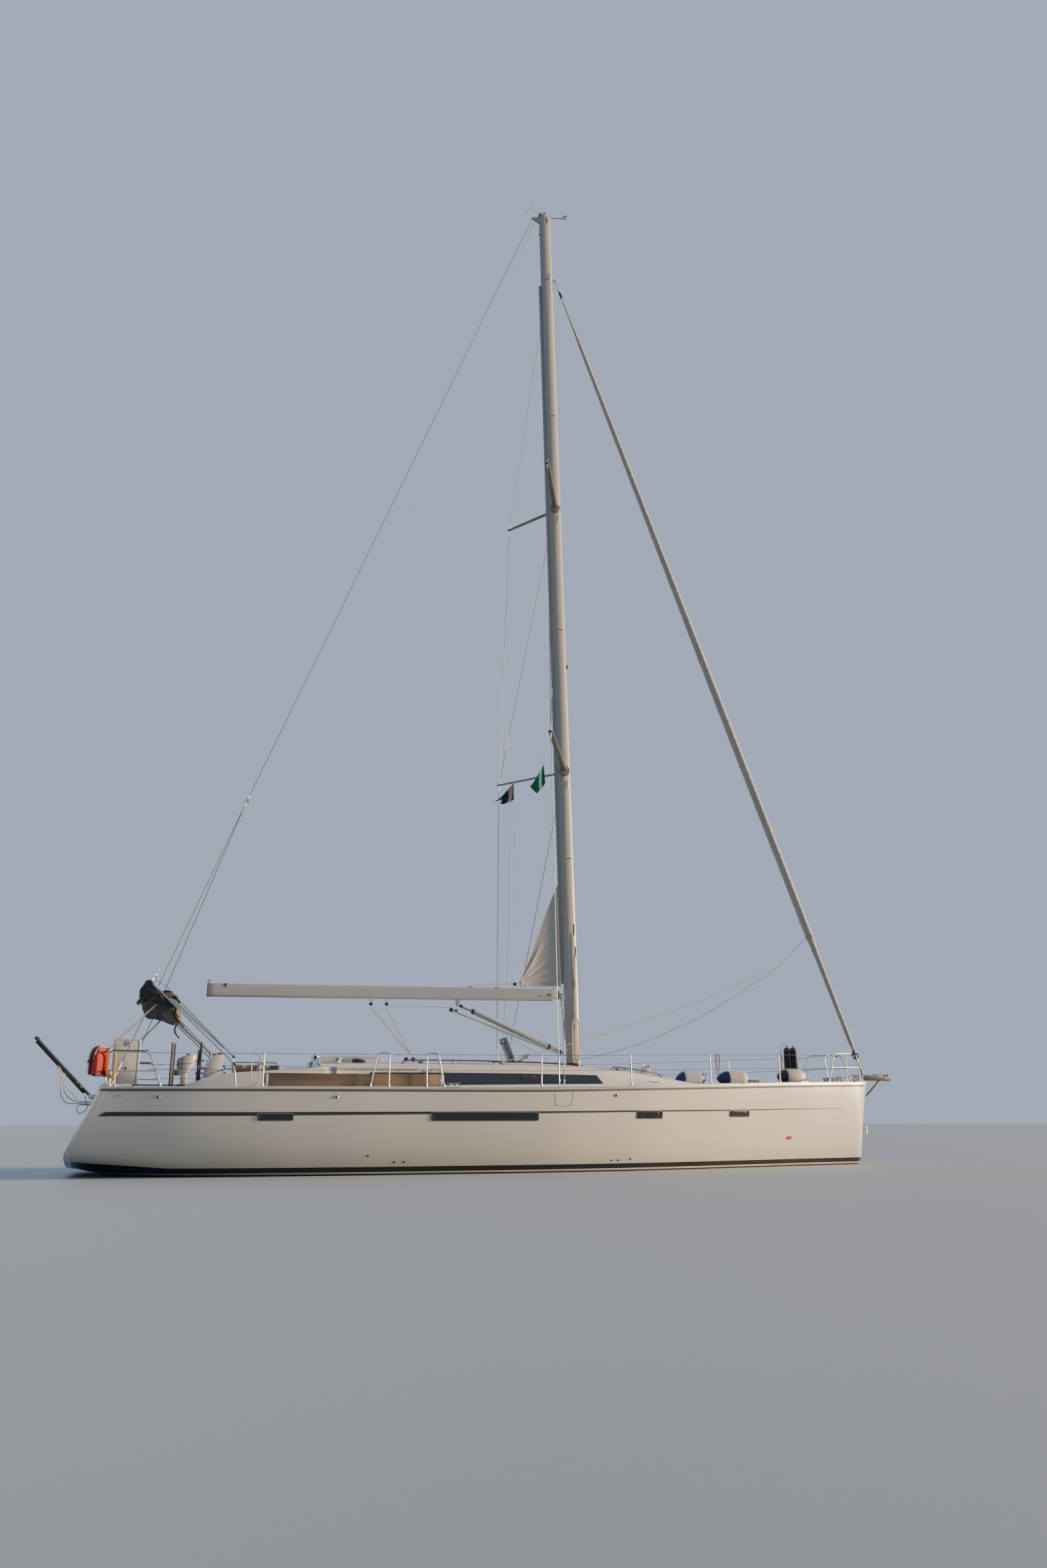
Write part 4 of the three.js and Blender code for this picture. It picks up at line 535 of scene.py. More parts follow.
def plate(outline, thick, matrix, radius=0.0, segments=2):
    """Flat outline in X and Y, drawn up by its thickness and then put in place."""
    shape = bmesh.new()
    face = shape.faces.new([shape.verts.new((x, y, 0)) for x, y in outline])
    drawn = bmesh.ops.extrude_face_region(shape, geom=[face])["geom"]
    bmesh.ops.translate(shape, vec=(0, 0, thick),
        verts=[item for item in drawn if isinstance(item, bmesh.types.BMVert)])
    bmesh.ops.recalc_face_normals(shape, faces=shape.faces)
    rounded_edges(shape, radius, segments)
    bmesh.ops.transform(shape, matrix=matrix, verts=shape.verts)
    if matrix.determinant() < 0:
        bmesh.ops.reverse_faces(shape, faces=shape.faces)
    return shape


def upright(point, turn=Matrix()):
    """Puts an outline in X and Z at a point, drawn towards starboard and turned if need be."""
    return Matrix.Translation(point) @ turn @ Matrix.Rotation(math.pi / 2, 4, "X")


def across_y(y):
    return upright((0, y, 0))


def spoke(i, count, axis, arm, start=0.0):
    """Arm in its place among evenly spaced ones round an axis."""
    return Matrix.Rotation(i * 2 * math.pi / count + start, 3, axis) @ Vector(arm)


def arc(across, high, count, half_turn, x=0.0, z=0.0):
    """Points along an ellipse's edge, with half_turn steps to half a turn."""
    angles = [i / half_turn * math.pi for i in range(count)]
    return [(x + across * math.cos(angle), z + high * math.sin(angle)) for angle in angles]


def skin(columns, rows, place, thick=0.0, closed=False):
    """Sheet of faces whose points come from a function of two shares from 0 to 1."""
    shape = bmesh.new()
    bmesh.ops.create_grid(shape, x_segments=columns, y_segments=rows, size=1)
    for vertex in shape.verts:
        vertex.co = place((vertex.co.x + 1) / 2, (vertex.co.y + 1) / 2)
    if closed:
        bmesh.ops.remove_doubles(shape, verts=shape.verts, dist=1e-5)
    bmesh.ops.recalc_face_normals(shape, faces=shape.faces)
    if thick:
        bmesh.ops.solidify(shape, geom=shape.faces[:], thickness=thick)
        bmesh.ops.recalc_face_normals(shape, faces=shape.faces)
    return shape


def rounded_route(points, bend, steps=5):
    """Straight runs with rounded corners."""
    points = [Vector(point) for point in points]
    route = [points[0]]
    for before, corner, after in zip(points, points[1:], points[2:]):
        reach = min(bend, (before - corner).length * 0.45, (after - corner).length * 0.45)
        start = corner + (before - corner).normalized() * reach
        end = corner + (after - corner).normalized() * reach
        for i in range(steps + 1):
            t = i / steps
            route.append(start * (1 - t) ** 2 + corner * 2 * t * (1 - t) + end * t * t)
    return [*route, points[-1]]


def smooth_route(points, count=24):
    """Even points on a smooth curve through a few."""
    points = [Vector(point) for point in points]
    padded = [points[0] * 2 - points[1], *points, points[-1] * 2 - points[-2]]
    fine = []
    for a, b, c, d in zip(padded, padded[1:], padded[2:], padded[3:]):
        for i in range(12):
            t = i / 12
            fine.append(0.5 * (2 * b + (c - a) * t + (2 * a - 5 * b + 4 * c - d) * t * t
                + (3 * b - a - 3 * c + d) * t**3))
    return evenly([*fine, points[-1]], count)


def route_length(points):
    return sum((b - a).length for a, b in zip(points, points[1:]))


def evenly(points, count):
    """Points at even distances along a line."""
    total, made, gone = route_length(points), [points[0]], 0.0
    target = total / count
    for a, b in zip(points, points[1:]):
        step = (b - a).length
        while step > 1e-9 and gone + step >= target - 1e-9 and len(made) < count:
            a = a + (b - a) * min((target - gone) / step, 1)
            made.append(a)
            step, gone = (b - a).length, 0.0
        gone += step
    return [*made, points[-1]]


def tube(route, radius, sides=10, taper=None):
    """Round line along a route; its UV runs round it and along it in diameters."""
    curve = bpy.data.curves.new("route", "CURVE")
    curve.dimensions = "3D"
    curve.bevel_depth = radius
    curve.bevel_resolution = max(sides // 2 - 2, 0)
    curve.use_fill_caps = True
    spline = curve.splines.new("POLY")
    spline.points.add(len(route) - 1)
    for i, (point, place) in enumerate(zip(spline.points, route)):
        point.co = (*place, 1)
        point.radius = taper(i / (len(route) - 1)) if taper else 1
    holder = bpy.data.objects.new("route", curve)
    mesh = bpy.data.meshes.new_from_object(holder)
    shape = bmesh.new()
    shape.from_mesh(mesh)
    layer = shape.loops.layers.uv.verify()
    stretch = route_length([Vector(place) for place in route]) / (2 * radius)
    for face in shape.faces:
        for loop in face.loops:
            u, w = loop[layer].uv
            loop[layer].uv = (w, u * stretch)
    bpy.data.objects.remove(holder)
    bpy.data.curves.remove(curve)
    bpy.data.meshes.remove(mesh)
    return shape


def straight(start, end, steps, radius, sides=8):
    return tube([mix(start, end, i / steps) for i in range(steps + 1)], radius, sides)


def webbing(route, across, thick):
    """Flat strap along a route, from its width as a vector."""
    count = len(route) - 1
    return skin(count, 1, lambda u, w: route[round(u * count)] + Vector(across) * (w - 0.5), thick)


def swept(columns, rows, place):
    """Solid body whose skin goes all the way round."""
    return with_ends(skin(columns, rows, place, closed=True))


def object_of(shape, name="cutter"):
    mesh = bpy.data.meshes.new(name)
    shape.to_mesh(mesh)
    shape.free()
    made = bpy.data.objects.new(name, mesh)
    bpy.context.scene.collection.objects.link(made)
    return made


def without(shape, *cutters, operation="DIFFERENCE"):
    """A closed shape with closed cutters taken out of it."""
    body = object_of(shape)
    tools = [object_of(cutter) for cutter in cutters]
    for tool in tools:
        modifier = body.modifiers.new("cut", "BOOLEAN")
        modifier.operation = operation
        modifier.object = tool
        modifier.solver = "EXACT"
    bpy.context.view_layer.update()
    mesh = bpy.data.meshes.new_from_object(body.evaluated_get(bpy.context.evaluated_depsgraph_get()))
    left = bmesh.new()
    left.from_mesh(mesh)
    for used in (body, *tools):
        bpy.data.objects.remove(used)
    return left


class Piece:
    """A named piece of the yacht, gathered from shapes that each have their finish."""

    def __init__(self, name, body="hull", slot=None):
        self.name, self.body, self.slot = name, body, slot
        self.shape = bmesh.new()
        self.shape.loops.layers.uv.verify()
        self.finishes = []

    def add(self, finish, *shapes):
        if finish not in self.finishes:
            self.finishes.append(finish)
        for shape in shapes:
            for face in shape.faces:
                face.material_index = self.finishes.index(finish)
            shape.loops.layers.uv.verify()
            mesh = bpy.data.meshes.new("share")
            shape.to_mesh(mesh)
            shape.free()
            self.shape.from_mesh(mesh)
            bpy.data.meshes.remove(mesh)
        return self

    def done(self, *replaced, sharp=38, subdivide=0):
        mesh = bpy.data.meshes.new(self.name)
        self.shape.to_mesh(mesh)
        self.shape.free()
        for finish in self.finishes:
            mesh.materials.append(finish.material)
        mesh.polygons.foreach_set("use_smooth", [True] * len(mesh.polygons))
        mesh.set_sharp_from_angle(angle=math.radians(sharp))
        made = bpy.data.objects.new(self.name, mesh)
        bpy.context.scene.collection.objects.link(made)
        if subdivide:
            finer = made.modifiers.new("finer", "SUBSURF")
            finer.levels = finer.render_levels = subdivide
        if self.body:
            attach(made, self.body)
        if replaced:
            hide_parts(*replaced)
        return made


# Stage: a pale floor at the waterline and soft light, lower and warmer from ahead
def build_stage():
    floor = Finish("stage_floor", (0.41, 0.48, 0.55), 0.7)
    sheet = bmesh.new()
    bmesh.ops.create_grid(sheet, x_segments=1, y_segments=1, size=260)
    made = object_of(sheet, "stage_floor")
    made.data.materials.append(floor.material)
    world = bpy.data.worlds.new("studio")
    world.use_nodes = True
    nodes, links = world.node_tree.nodes, world.node_tree.links
    light = nodes["Background"]
    backdrop, path, mixed = (nodes.new("ShaderNode" + kind)
        for kind in ("Background", "LightPath", "MixShader"))
    for background, color in ((light, (0.15, 0.215, 0.30, 1)), (backdrop, (0.42, 0.50, 0.66, 1))):
        background.inputs["Color"].default_value = color
    links.new(path.outputs["Is Diffuse Ray"], mixed.inputs[0])
    links.new(backdrop.outputs[0], mixed.inputs[1])
    links.new(light.outputs[0], mixed.inputs[2])
    links.new(mixed.outputs[0], nodes["World Output"].inputs["Surface"])
    bpy.context.scene.world = world
    for name, energy, angle, color, heading in (
        ("key", 10.5, 12, (1.0, 0.70, 0.41), (-0.98, 0.135, -0.13)),
        ("fill", 0.5, 60, (0.86, 0.92, 1.0), (0.25, -0.75, -0.6)),
    ):
        lamp = bpy.data.lights.new(name, "SUN")
        lamp.energy, lamp.angle, lamp.color = energy, math.radians(angle), color
        holder = bpy.data.objects.new(name, lamp)
        holder.rotation_euler = Vector(heading).to_track_quat("-Z", "Y").to_euler()
        bpy.context.scene.collection.objects.link(holder)


build_stage()


# Hull
WALL = 0.045
PLATFORM = {"half": 0.8, "low": 0.372, "high": 1.378, "thick": 0.08, "gap": 0.006, "hinges": (-0.62, 0.62)}
GATE_HALF = 0.45


def closed_hull(inset, first, last, raised=0.0, columns=150, rows=56):
    """Solid form of the hull up to the rub line, between two stations."""
    spaced = [i / columns for i in range(columns + 1)]
    stations = [first + (last - first) * (1 - (1 - share) ** 1.35) for share in spaced]
    shape = skin(columns, rows, lambda u, w: hull_point(stations[round(u * columns)],
        2 * w - 1, inset, raised))
    edges = [edge for edge in shape.edges if edge.is_boundary]
    ends = [min(v.co.x for v in shape.verts), max(v.co.x for v in shape.verts)]
    rims = [edge for edge in edges if (edge.verts[0].co - edge.verts[1].co).x != 0]
    bmesh.ops.bridge_loops(shape, edges=rims)
    for end in ends:
        bmesh.ops.holes_fill(shape, edges=[edge for edge in shape.edges if edge.is_boundary
                                           and abs(edge.verts[0].co.x - end) < 1e-6], sides=0)
    bmesh.ops.recalc_face_normals(shape, faces=shape.faces)
    return shape


def transom_prism(shift, back, low, high, half, steps=20):
    """Space aft of the transom's line, between two heights."""
    heights = [mix(low, high, i / steps) for i in range(steps + 1)]
    line = [(transom_x(z), z) for z in heights]
    outline = [(x + shift, z) for x, z in line] + [(x - back, z) for x, z in reversed(line)]
    return plate(outline, 2 * half, across_y(half))


def build_hull():
    half = PLATFORM["half"] + PLATFORM["gap"]
    thruster = rod((6.08, -0.7, -0.128), (6.08, 0.7, -0.128), 0.094, 48)
    recess = transom_prism(PLATFORM["thick"] + PLATFORM["gap"], 0.3,
        PLATFORM["low"] - PLATFORM["gap"], 1.52, half)
    hull = without(
        closed_hull(0, -8.1, 8.08),
        closed_hull(WALL, -7.48, 7.56, 0.06, 60, 32),
        transom_prism(0, 0.9, -0.3, 1.56, 2.6),
        recess,
        block((-8.2, -half, 0.322), (-8.01, half, PLATFORM["low"])),
        block((-8.2, -GATE_HALF, 1.07), (-7.4, GATE_HALF, 1.7)),
        thruster,
    )
    piece = Piece("hull_moulding", slot="gelcoat").add(HULL, hull)
    tunnel = turned([(0.1, 0), (0.1, 0.5)], (6.08, -0.25, -0.128), (6.08, 0.25, -0.128), 48)
    bmesh.ops.reverse_faces(tunnel, faces=tunnel.faces)
    piece.add(WHITE, tunnel)
    piece.add(ANTIFOUL, rod((-6.7, 0, -0.17), (-6.7, 0, 0.33), 0.085, 24))
    piece.add(BLACK, rod((6.08, 0.03, -0.228), (6.08, 0.03, -0.128), 0.012), turned(
        [(0, 0), (0.02, 0.002), (0.024, 0.02), (0.024, 0.06), (0, 0.075)],
        (6.08, 0, -0.128), (6.08, 0.07, -0.128)))
    for y in PLATFORM["hinges"]:
        for end in (-1, 1):
            near = y + end * 0.0603
            piece.add(STEEL, rod((-8.046, near, 0.352), (-8.046, near + end * 0.03, 0.352), 0.016, 20))
            low, high = sorted((near, near + end * 0.03))
            piece.add(STEEL, block((-8.046, low, 0.336), (-7.99, high, 0.366), 0.003))
    for y in (-1.209, -0.865):
        low, high = sorted((y, y + 0.014))
        cheek = [(-7.816, 1.286), (-7.764, 1.25), (-7.56, 1.25), (-7.56, 1.36), (-7.816, 1.334)]
        piece.add(STEEL, plate(cheek, high - low, across_y(high), 0.002))
    piece.done("hull_shell", sharp=32)


def side_skin(columns, rows, place, side, proud=0.0015, thick=0.003):
    """Thin skin on the topsides; place gives a station and a height."""
    return skin(columns, rows, lambda u, w: hull_side(*place(u, w), side, proud), thick)


def eased(share):
    return (1 - math.cos(math.pi * share)) / 2


def corner_cut(x, first, last, radius):
    """How far a rounded corner takes a patch's edge in, near its ends."""
    near = min(x - first, last - x, radius)
    return radius - math.sqrt(max(radius**2 - (radius - near) ** 2, 0))


def rounded_patch(first, last, low, high, radius):
    """Outline of a patch with rounded corners, low and high as functions of the station."""
    def place(u, w):
        x = mix(first, last, eased(u))
        cut = corner_cut(x, first, last, radius)
        return x, mix(low(x) + cut, high(x) - cut, w)
    return place


def level(z):
    return lambda x: z


def outward(x, z, side):
    """Point of the topsides and the direction that it faces."""
    point = hull_side(x, z, side)
    ahead, above = hull_side(x + 0.02, z, side), hull_side(x, z + 0.02, side)
    return point, (ahead - point).cross(above - point).normalized() * -side


BAND = [(-7.57, 0.978, 0.982), (-7.47, 0.978, 1.046), (-5.2, 0.984, 1.043), (0, 1.03, 1.062),
    (4, 1.078, 1.103), (7.23, 1.14, 1.15)]
HULL_WINDOWS = [(-5.05, -4.45, 0.9, 1.025), (-2.1, -0.12, 0.894, 1.05), (1.84, 2.41, 0.928, 1.075),
                (4.0, 4.52, 0.959, 1.09)]
VENTS = [(-6.66, 1.284), (-3.75, 1.293), (1.41, 1.345)]
OUTLETS = [(-3.15, 0.322), (-2.68, 0.215), (-2.51, 0.218), (1.41, 0.198), (1.545, 0.197), (1.8, 0.218)]
GROOVE = [(0.176, 1.43), (0.2, 1.2), (0.262, 1.15), (0.43, 1.15), (0.505, 1.2), (0.543, 1.43)]
RAIL_CLEATS = [-7.17, -1.7, 2.24, 6.1]


def build_window_band(name, side):
    def band_place(u, w):
        x = mix(BAND[0][0], BAND[-1][0], u)
        return x, mix(line_between(BAND, x, 1), line_between(BAND, x, 2), w)
    piece = Piece(f"hull_stripe_{name}", slot="dark_glass").add(BAND_PAINT,
        side_skin(160, 2, band_place, side, 0.001))
    edge = 0.007
    for first, last, bottom, top in HULL_WINDOWS:
        fore = first > 0
        # The light alloy rim left round each pane is a painted highlight on the edge of the window's recess.
        piece.add(ANODISED, side_skin(40, 6, rounded_patch(first, last, level(bottom), level(top),
            0.03), side, 0.0035, 0.004))
        piece.add(GLASS, side_skin(40, 6, rounded_patch(first + edge, last - edge, level(bottom + edge),
                                                        level(top - edge), 0.026), side, 0.0055, 0.004))
        margin = 0.09 if fore else 0.04
        a, b, low_edge, high_edge = first + margin, last - margin, bottom + 0.028, top - 0.028
        corners = ((a, low_edge), (b, low_edge), (b, high_edge), (a, high_edge), (a, low_edge))
        route = rounded_route([hull_side(x, z, side, 0.0085) for x, z in corners], 0.03)
        piece.add(OLIVE if fore else BAND_PAINT, tube(route, 0.0035, 6))
    piece.done(f"window_band_{name}")


def line_between(rows, x, column):
    """Straight runs between a table's rows."""
    for a, b in zip(rows, rows[1:]):
        if x <= b[0]:
            return mix(a[column], b[column], (x - a[0]) / (b[0] - a[0]))
    return rows[-1][column]


def along_rail(first, last, section, side, columns=130):
    """Closed section swept along the toe rail: pairs of distance outside the beam and height over a line."""
    rows = len(section)

    def place(u, w):
        x = mix(first, last, 1 - (1 - u) ** 1.3)
        out, up = section[round(w * rows) % rows]
        height = rub_line(x) if up < -0.02 else rail_top(x)
        return Vector((x, side * max(beam(x) + out, 0.004), height + (up + 0.05 if up < -0.02 else up)))
    return swept(columns, rows, place)


def build_rails():
    cap = [(0.002, -0.05), (0.003, -0.008), (-0.004, 0.0035), (-0.05, 0.0035),
        (-0.059, -0.003), (-0.064, -0.019)]
    strake = [(-0.002, -0.074), (0.008, -0.071), (0.014, -0.062), (0.0145, -0.05),
        (0.012, -0.039), (0.003, -0.034)]
    edge = [(0.003, -0.022), (0.0045, -0.0195), (0.0045, -0.017), (0.003, -0.0155)]
    rail = Piece("toe_rail_cap", slot="deck")
    band = Piece("rub_strake", slot="black")
    for side in SIDES.values():
        rail.add(WHITE, along_rail(-7.585, 8.06, cap, side))
        # The grey rubber strake at the hull-deck joint is a real part; its dark colour also paints the shadow
        # band under the toe rail.
        band.add(RUBBER, along_rail(-7.57, 8.03, strake, side))
        rail.add(ANODISED, along_rail(-7.57, 8.03, edge, side))
    rail.done()
    band.done()


def build_transom_trim():
    """White return and cream line where the topsides end."""
    piece = Piece("transom_trim", slot="gelcoat")
    heights = [0.1 + i * (1.42 - 0.1) / 60 for i in range(61)]
    for side in SIDES.values():
        for shift, radius, finish in ((0.012, 0.011, WHITE), (0.115, 0.0045, CREAM_LINE)):
            route = [hull_side(transom_x(z) + shift, z, side, 0.001) for z in heights]
            piece.add(finish, tube(route, radius, 8))

        def lip(u, w):
            z = mix(0.1, 1.4, w)
            return transom_x(z) + 0.006 + u * 0.105, z
        piece.add(WHITE_LIP, side_skin(4, 60, lip, side, 0.0015))
    piece.done()


def build_hull_fittings():
    piece = Piece("hull_fittings", slot="steel")
    for side in SIDES.values():
        for x, z in VENTS:
            point, out = outward(x, z, side)
            piece.add(STEEL, turned([(0, 0), (0.03, 0), (0.032, 0.006), (0.022, 0.014), (0.019, 0.010),
                (0.017, 0.003), (0, 0.003)], point - out * 0.001, point + out, 20))
            piece.add(BLACK, ball(point + out * 0.003, 0.015, rings=6))
        for x, z in OUTLETS:
            point, out = outward(x, z, side)
            piece.add(BLACK, turned([(0.0, 0.002), (0.011, 0.002), (0.016, 0.006), (0.02, 0.003),
                (0.02, -0.002)], point, point + out, 16))
        route = smooth_route([hull_side(x, z, side, 0.0) for x, z in GROOVE], 40)
        piece.add(GREY_LINE, tube(route, 0.0035, 6))
        for x in RAIL_CLEATS:
            add_rail_cleat(piece, x, side)
        for x in (-7.33, -7.29, -7.25):
            point, out = outward(x, 1.297, side)
            piece.add(GREY_LINE, pin(point + out * 0.001, (0.02, 0, 0), 0.003, 8))
    piece.add(RED_PLATE, side_skin(14, 6, rounded_patch(5.59, 5.73, level(0.525), level(0.59),
        0.012), -1, 0.002, 0.003))
    piece.add(STEEL, rod((8.035, 0, 0.62), (8.035, 0, 0.78), 0.018, 12))
    piece.done()


def add_rail_cleat(piece, x, side):
    """Horn cleat let into the toe rail, on a steel plate."""
    low = rail_point(x - 0.12, side, 0.004)
    high = rail_point(x + 0.12, side, 0.004)

    def top_plate(u, w):
        return mix(low, high, u) + Vector((0, side * (w - 0.5) * 0.05, 0.0015))

    def side_plate(u, w):
        return mix(x - 0.12, x + 0.12, u), rail_top(x) - mix(0.034, 0.006, w)
    piece.add(STEEL, skin(12, 4, top_plate, 0.003), side_skin(12, 3, side_plate, side, 0.006))
    for shift in (-0.045, 0.045):
        foot = mix(low, high, 0.5 + shift / 0.24)
        piece.add(STEEL, turned([(0.017, 0), (0.011, 0.012), (0.010, 0.036), (0.014, 0.046),
            (0, 0.05)], foot, foot + UP, 14))
    middle = mix(low, high, 0.5) + UP * 0.046
    steps = (-0.125, -0.09, -0.045, 0, 0.045, 0.09, 0.125)
    route = [middle + Vector((step, 0, 0.012 * (abs(step) / 0.12) ** 2)) for step in steps]
    piece.add(STEEL, tube(smooth_route(route, 16), 0.0105, 10, lambda t: 1 - 0.45 * abs(2 * t - 1) ** 2))


def build_platform():
    """Swim platform, with treads on its inner face for when it is let down."""
    low, high, half, thick = PLATFORM["low"], PLATFORM["high"], PLATFORM["half"], PLATFORM["thick"]
    heights = [mix(low, high, i / 24) for i in range(25)]
    line = [(transom_x(z), z) for z in heights]
    outline = line + [(x + thick, z) for x, z in reversed(line)]
    panel = plate(outline, 2 * half, across_y(half), 0.012, 3)
    reliefs = [block((-8.106, y - 0.096, 0.29), (-7.916, y + 0.096, 0.376)) for y in PLATFORM["hinges"]]
    piece = Piece("swim_platform_moulding", "swim_platform", "gelcoat").add(WHITE, without(panel, *reliefs))
    for y in PLATFORM["hinges"]:
        piece.add(STEEL, rod((-8.046, y - 0.06, 0.352), (-8.046, y + 0.06, 0.352), 0.016, 20),
            block((-8.058, y - 0.06, 0.352), (-8.032, y + 0.06, 0.402), 0.003),
            rod((-8.046, y - 0.062, 0.352), (-8.046, y + 0.062, 0.352), 0.006, 10))
    for i in range(7):
        z0, z1 = mix(0.46, 1.24, i / 7) + 0.005, mix(0.46, 1.24, (i + 1) / 7) - 0.005

        def tread(u, w):
            z = mix(z0, z1, w)
            return Vector((transom_x(z) + thick + 0.002, mix(-0.74, 0.74, u), z))
        piece.add(TEAK_ACROSS, skin(4, 6, tread, 0.008))
    rail = [(-0.66, 1.29), (-0.66, 0.44), (0.66, 0.44), (0.66, 1.29), (-0.66, 1.29)]
    route = rounded_route([Vector((transom_x(z) - 0.001, y, z)) for y, z in rail], 0.12)
    piece.add(GREY_LINE, tube(route, 0.004, 6))
    bends = ((-0.11, 0), (-0.1, 0.035), (0.1, 0.035), (0.11, 0))
    grip = [Vector((transom_x(1.3) - out, y, 1.3)) for y, out in bends]
    piece.add(STEEL, tube(rounded_route(grip, 0.03), 0.0095, 12))
    for y in (-0.2, 0.2):
        ladder = [Vector((transom_x(z) - 0.012, y, z)) for z in (0.5, 0.75, 1.0, 1.12)]
        piece.add(STEEL, tube(ladder, 0.0125, 12))
    for z in (0.56, 0.76, 0.96):
        x = transom_x(z) - 0.014
        piece.add(STEEL, rod((x, -0.2, z), (x, 0.2, z), 0.011, 12))
    piece.done("swim_platform", sharp=32)


OLIVE = painted("olive_frame", (0.10, 0.11, 0.07), 0.4)
CREAM_LINE = painted("cream_line", (0.55, 0.50, 0.38), 0.4)
WHITE_LIP = painted("white_lip", (0.70, 0.71, 0.72), 0.25)
GREY_LINE = painted("grey_line", (0.22, 0.22, 0.22), 0.5)
RED_PLATE = painted("red_plate", (0.42, 0.03, 0.02), 0.4)
TEAK_ACROSS = planks("teak_treads", (0.36, 0.235, 0.125), (0.012, 0.011, 0.010), 0.05,
    "Z", (26, 1.2, 26), gap=0.05)

build_hull()
for where, sign in SIDES.items():
    build_window_band(where, sign)
build_rails()
build_transom_trim()
build_hull_fittings()
build_platform()


# Deck, coachroof and cockpit
def copy_of(node, radius=0.0, segments=2, sharp=30):
    """Merged copy of a node of the model, with its hard edges rounded."""
    shape = bmesh.new()
    shape.from_mesh(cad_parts[node].data)
    bmesh.ops.remove_doubles(shape, verts=shape.verts, dist=2e-5)
    bmesh.ops.dissolve_limit(shape, angle_limit=math.radians(0.5), verts=shape.verts, edges=shape.edges)
    return rounded_edges(shape, radius, segments, sharp)


def rounded_rect(x0, x1, y0, y1, radius, steps=6):
    corners = [(x1 - radius, y1 - radius, 0), (x0 + radius, y1 - radius, 1), (x0 + radius, y0 + radius, 2),
               (x1 - radius, y0 + radius, 3)]
    points = []
    for x, y, turn in corners:
        for i in range(steps + 1):
            angle = (turn + i / steps) * math.pi / 2
            points.append((x + radius * math.cos(angle), y + radius * math.sin(angle)))
    return points


def slab(x0, x1, y0, y1, z, thick, corner=0.03, radius=0.002):
    return plate(rounded_rect(x0, x1, y0, y1, corner), thick, Matrix.Translation((0, 0, z)), radius)


ROOF_GROW = 0.004


def roof_height(x, y):
    half, fall = roof_half(x) + ROOF_GROW, roof_crown(x) - roof_shoulder(x)
    return roof_crown(x) + ROOF_GROW - fall * 0.64 * (y / half) ** 2


def roof_side(x, z, side, proud=0.0):
    half, low = roof_half(x), deck_height(x, roof_half(x))
    lean = 0.09 * (z - low) / (roof_shoulder(x) - low)
    return Vector((x, side * (half + ROOF_GROW + proud - lean), z))


def roof_rim(x):
    """Half section of the coachroof from its foot on the side deck up to the centreline."""
    half, low = roof_half(x) + ROOF_GROW, deck_height(x, roof_half(x))
    shoulder = roof_shoulder(x)
    foot = [(half + 0.035, low - 0.002), (half + 0.014, low + 0.006), (half + 0.002, low + 0.03)]
    side = [(half - 0.09 * t, mix(low, shoulder, t)) for t in (0.2, 0.4, 0.6, 0.8, 0.93)]
    end = (max(half - 0.24, half * 0.4), roof_height(x, max(half - 0.24, half * 0.4)))
    corner = (half - 0.1, roof_height(x, half - 0.15))
    bend = []
    for i in range(1, 10):
        t = i / 9
        weights = (1 - t) ** 2, 2 * t * (1 - t), t * t
        knots = zip(side[-1], corner, end)
        bend.append(tuple(a * weights[0] + b * weights[1] + c * weights[2] for a, b, c in knots))
    top = [(end[0] * (1 - i / 9), roof_height(x, end[0] * (1 - i / 9))) for i in range(1, 10)]
    return [*foot, *side, *bend, *top]


def build_roof():
    count = len(roof_rim(0)) - 1

    def place(u, w):
        x = mix(-3.948, 4.28, u)
        step = round(abs(2 * w - 1) * count)
        y, z = roof_rim(min(x, 4.2))[count - step]
        sink = max(x - 4.2, 0) * 0.6
        return Vector((x, math.copysign(y, 2 * w - 1) if y else 0, z - sink))
    shell = skin(150, 2 * count, place, 0.004)
    cuts = [block((-4.2, -0.33, 1.4), (-3.25, 0.33, 2.4)), block((-0.435, -0.22, 1.6), (-0.005, 0.22, 2.4)),
            block((0.165, -0.16, 1.6), (0.395, 0.16, 2.4))]
    piece = Piece("coachroof_shell", slot="deck").add(WHITE, without(shell, *cuts))
    for side in SIDES.values():
        for first, last in ((-3.85, -2.2), (-2.1, -0.6), (-0.5, 1.0), (1.7, 2.6), (2.68, 3.3)):
            inner = 0.98 if last < -2 else (0.34 if first < 1.2 else 0.05)
            piece.add(NONSLIP, surface_panel(first, last, lambda x: min(inner, roof_half(x) * 0.4),
                                             lambda x: roof_half(x) - 0.3, side, roof_height, 0.0035))
    piece.done(sharp=45)


def surface_panel(first, last, inner, outer, side, height, lift, radius=0.06, columns=30, rows=8):
    """Panel with rounded corners, lying on a surface whose height is a function of x and y."""
    def place(u, w):
        x = mix(first, last, eased(u))
        cut = corner_cut(x, first, last, radius)
        y = mix(inner(x) + cut, max(outer(x) - cut, inner(x) + cut + 0.002), w)
        return Vector((x, side * y, height(x, y) + lift))
    return skin(columns, rows, place, 0.003)


def deck_inner(x):
    if x > 4.15:
        return max(roof_half(4.15) * (1 - (x - 4.15) / 0.2), 0)
    if x > -3.95:
        return roof_half(x) - 0.02
    return 1.8 if x > -6.37 else 1.705


DECK_MATS = [(-7.35, -6.5), (-6.4, -5.55), (-5.2, -3.35), (-3.28, -1.8), (-1.7, 0.1),
    (0.62, 2.15), (2.25, 3.95)]


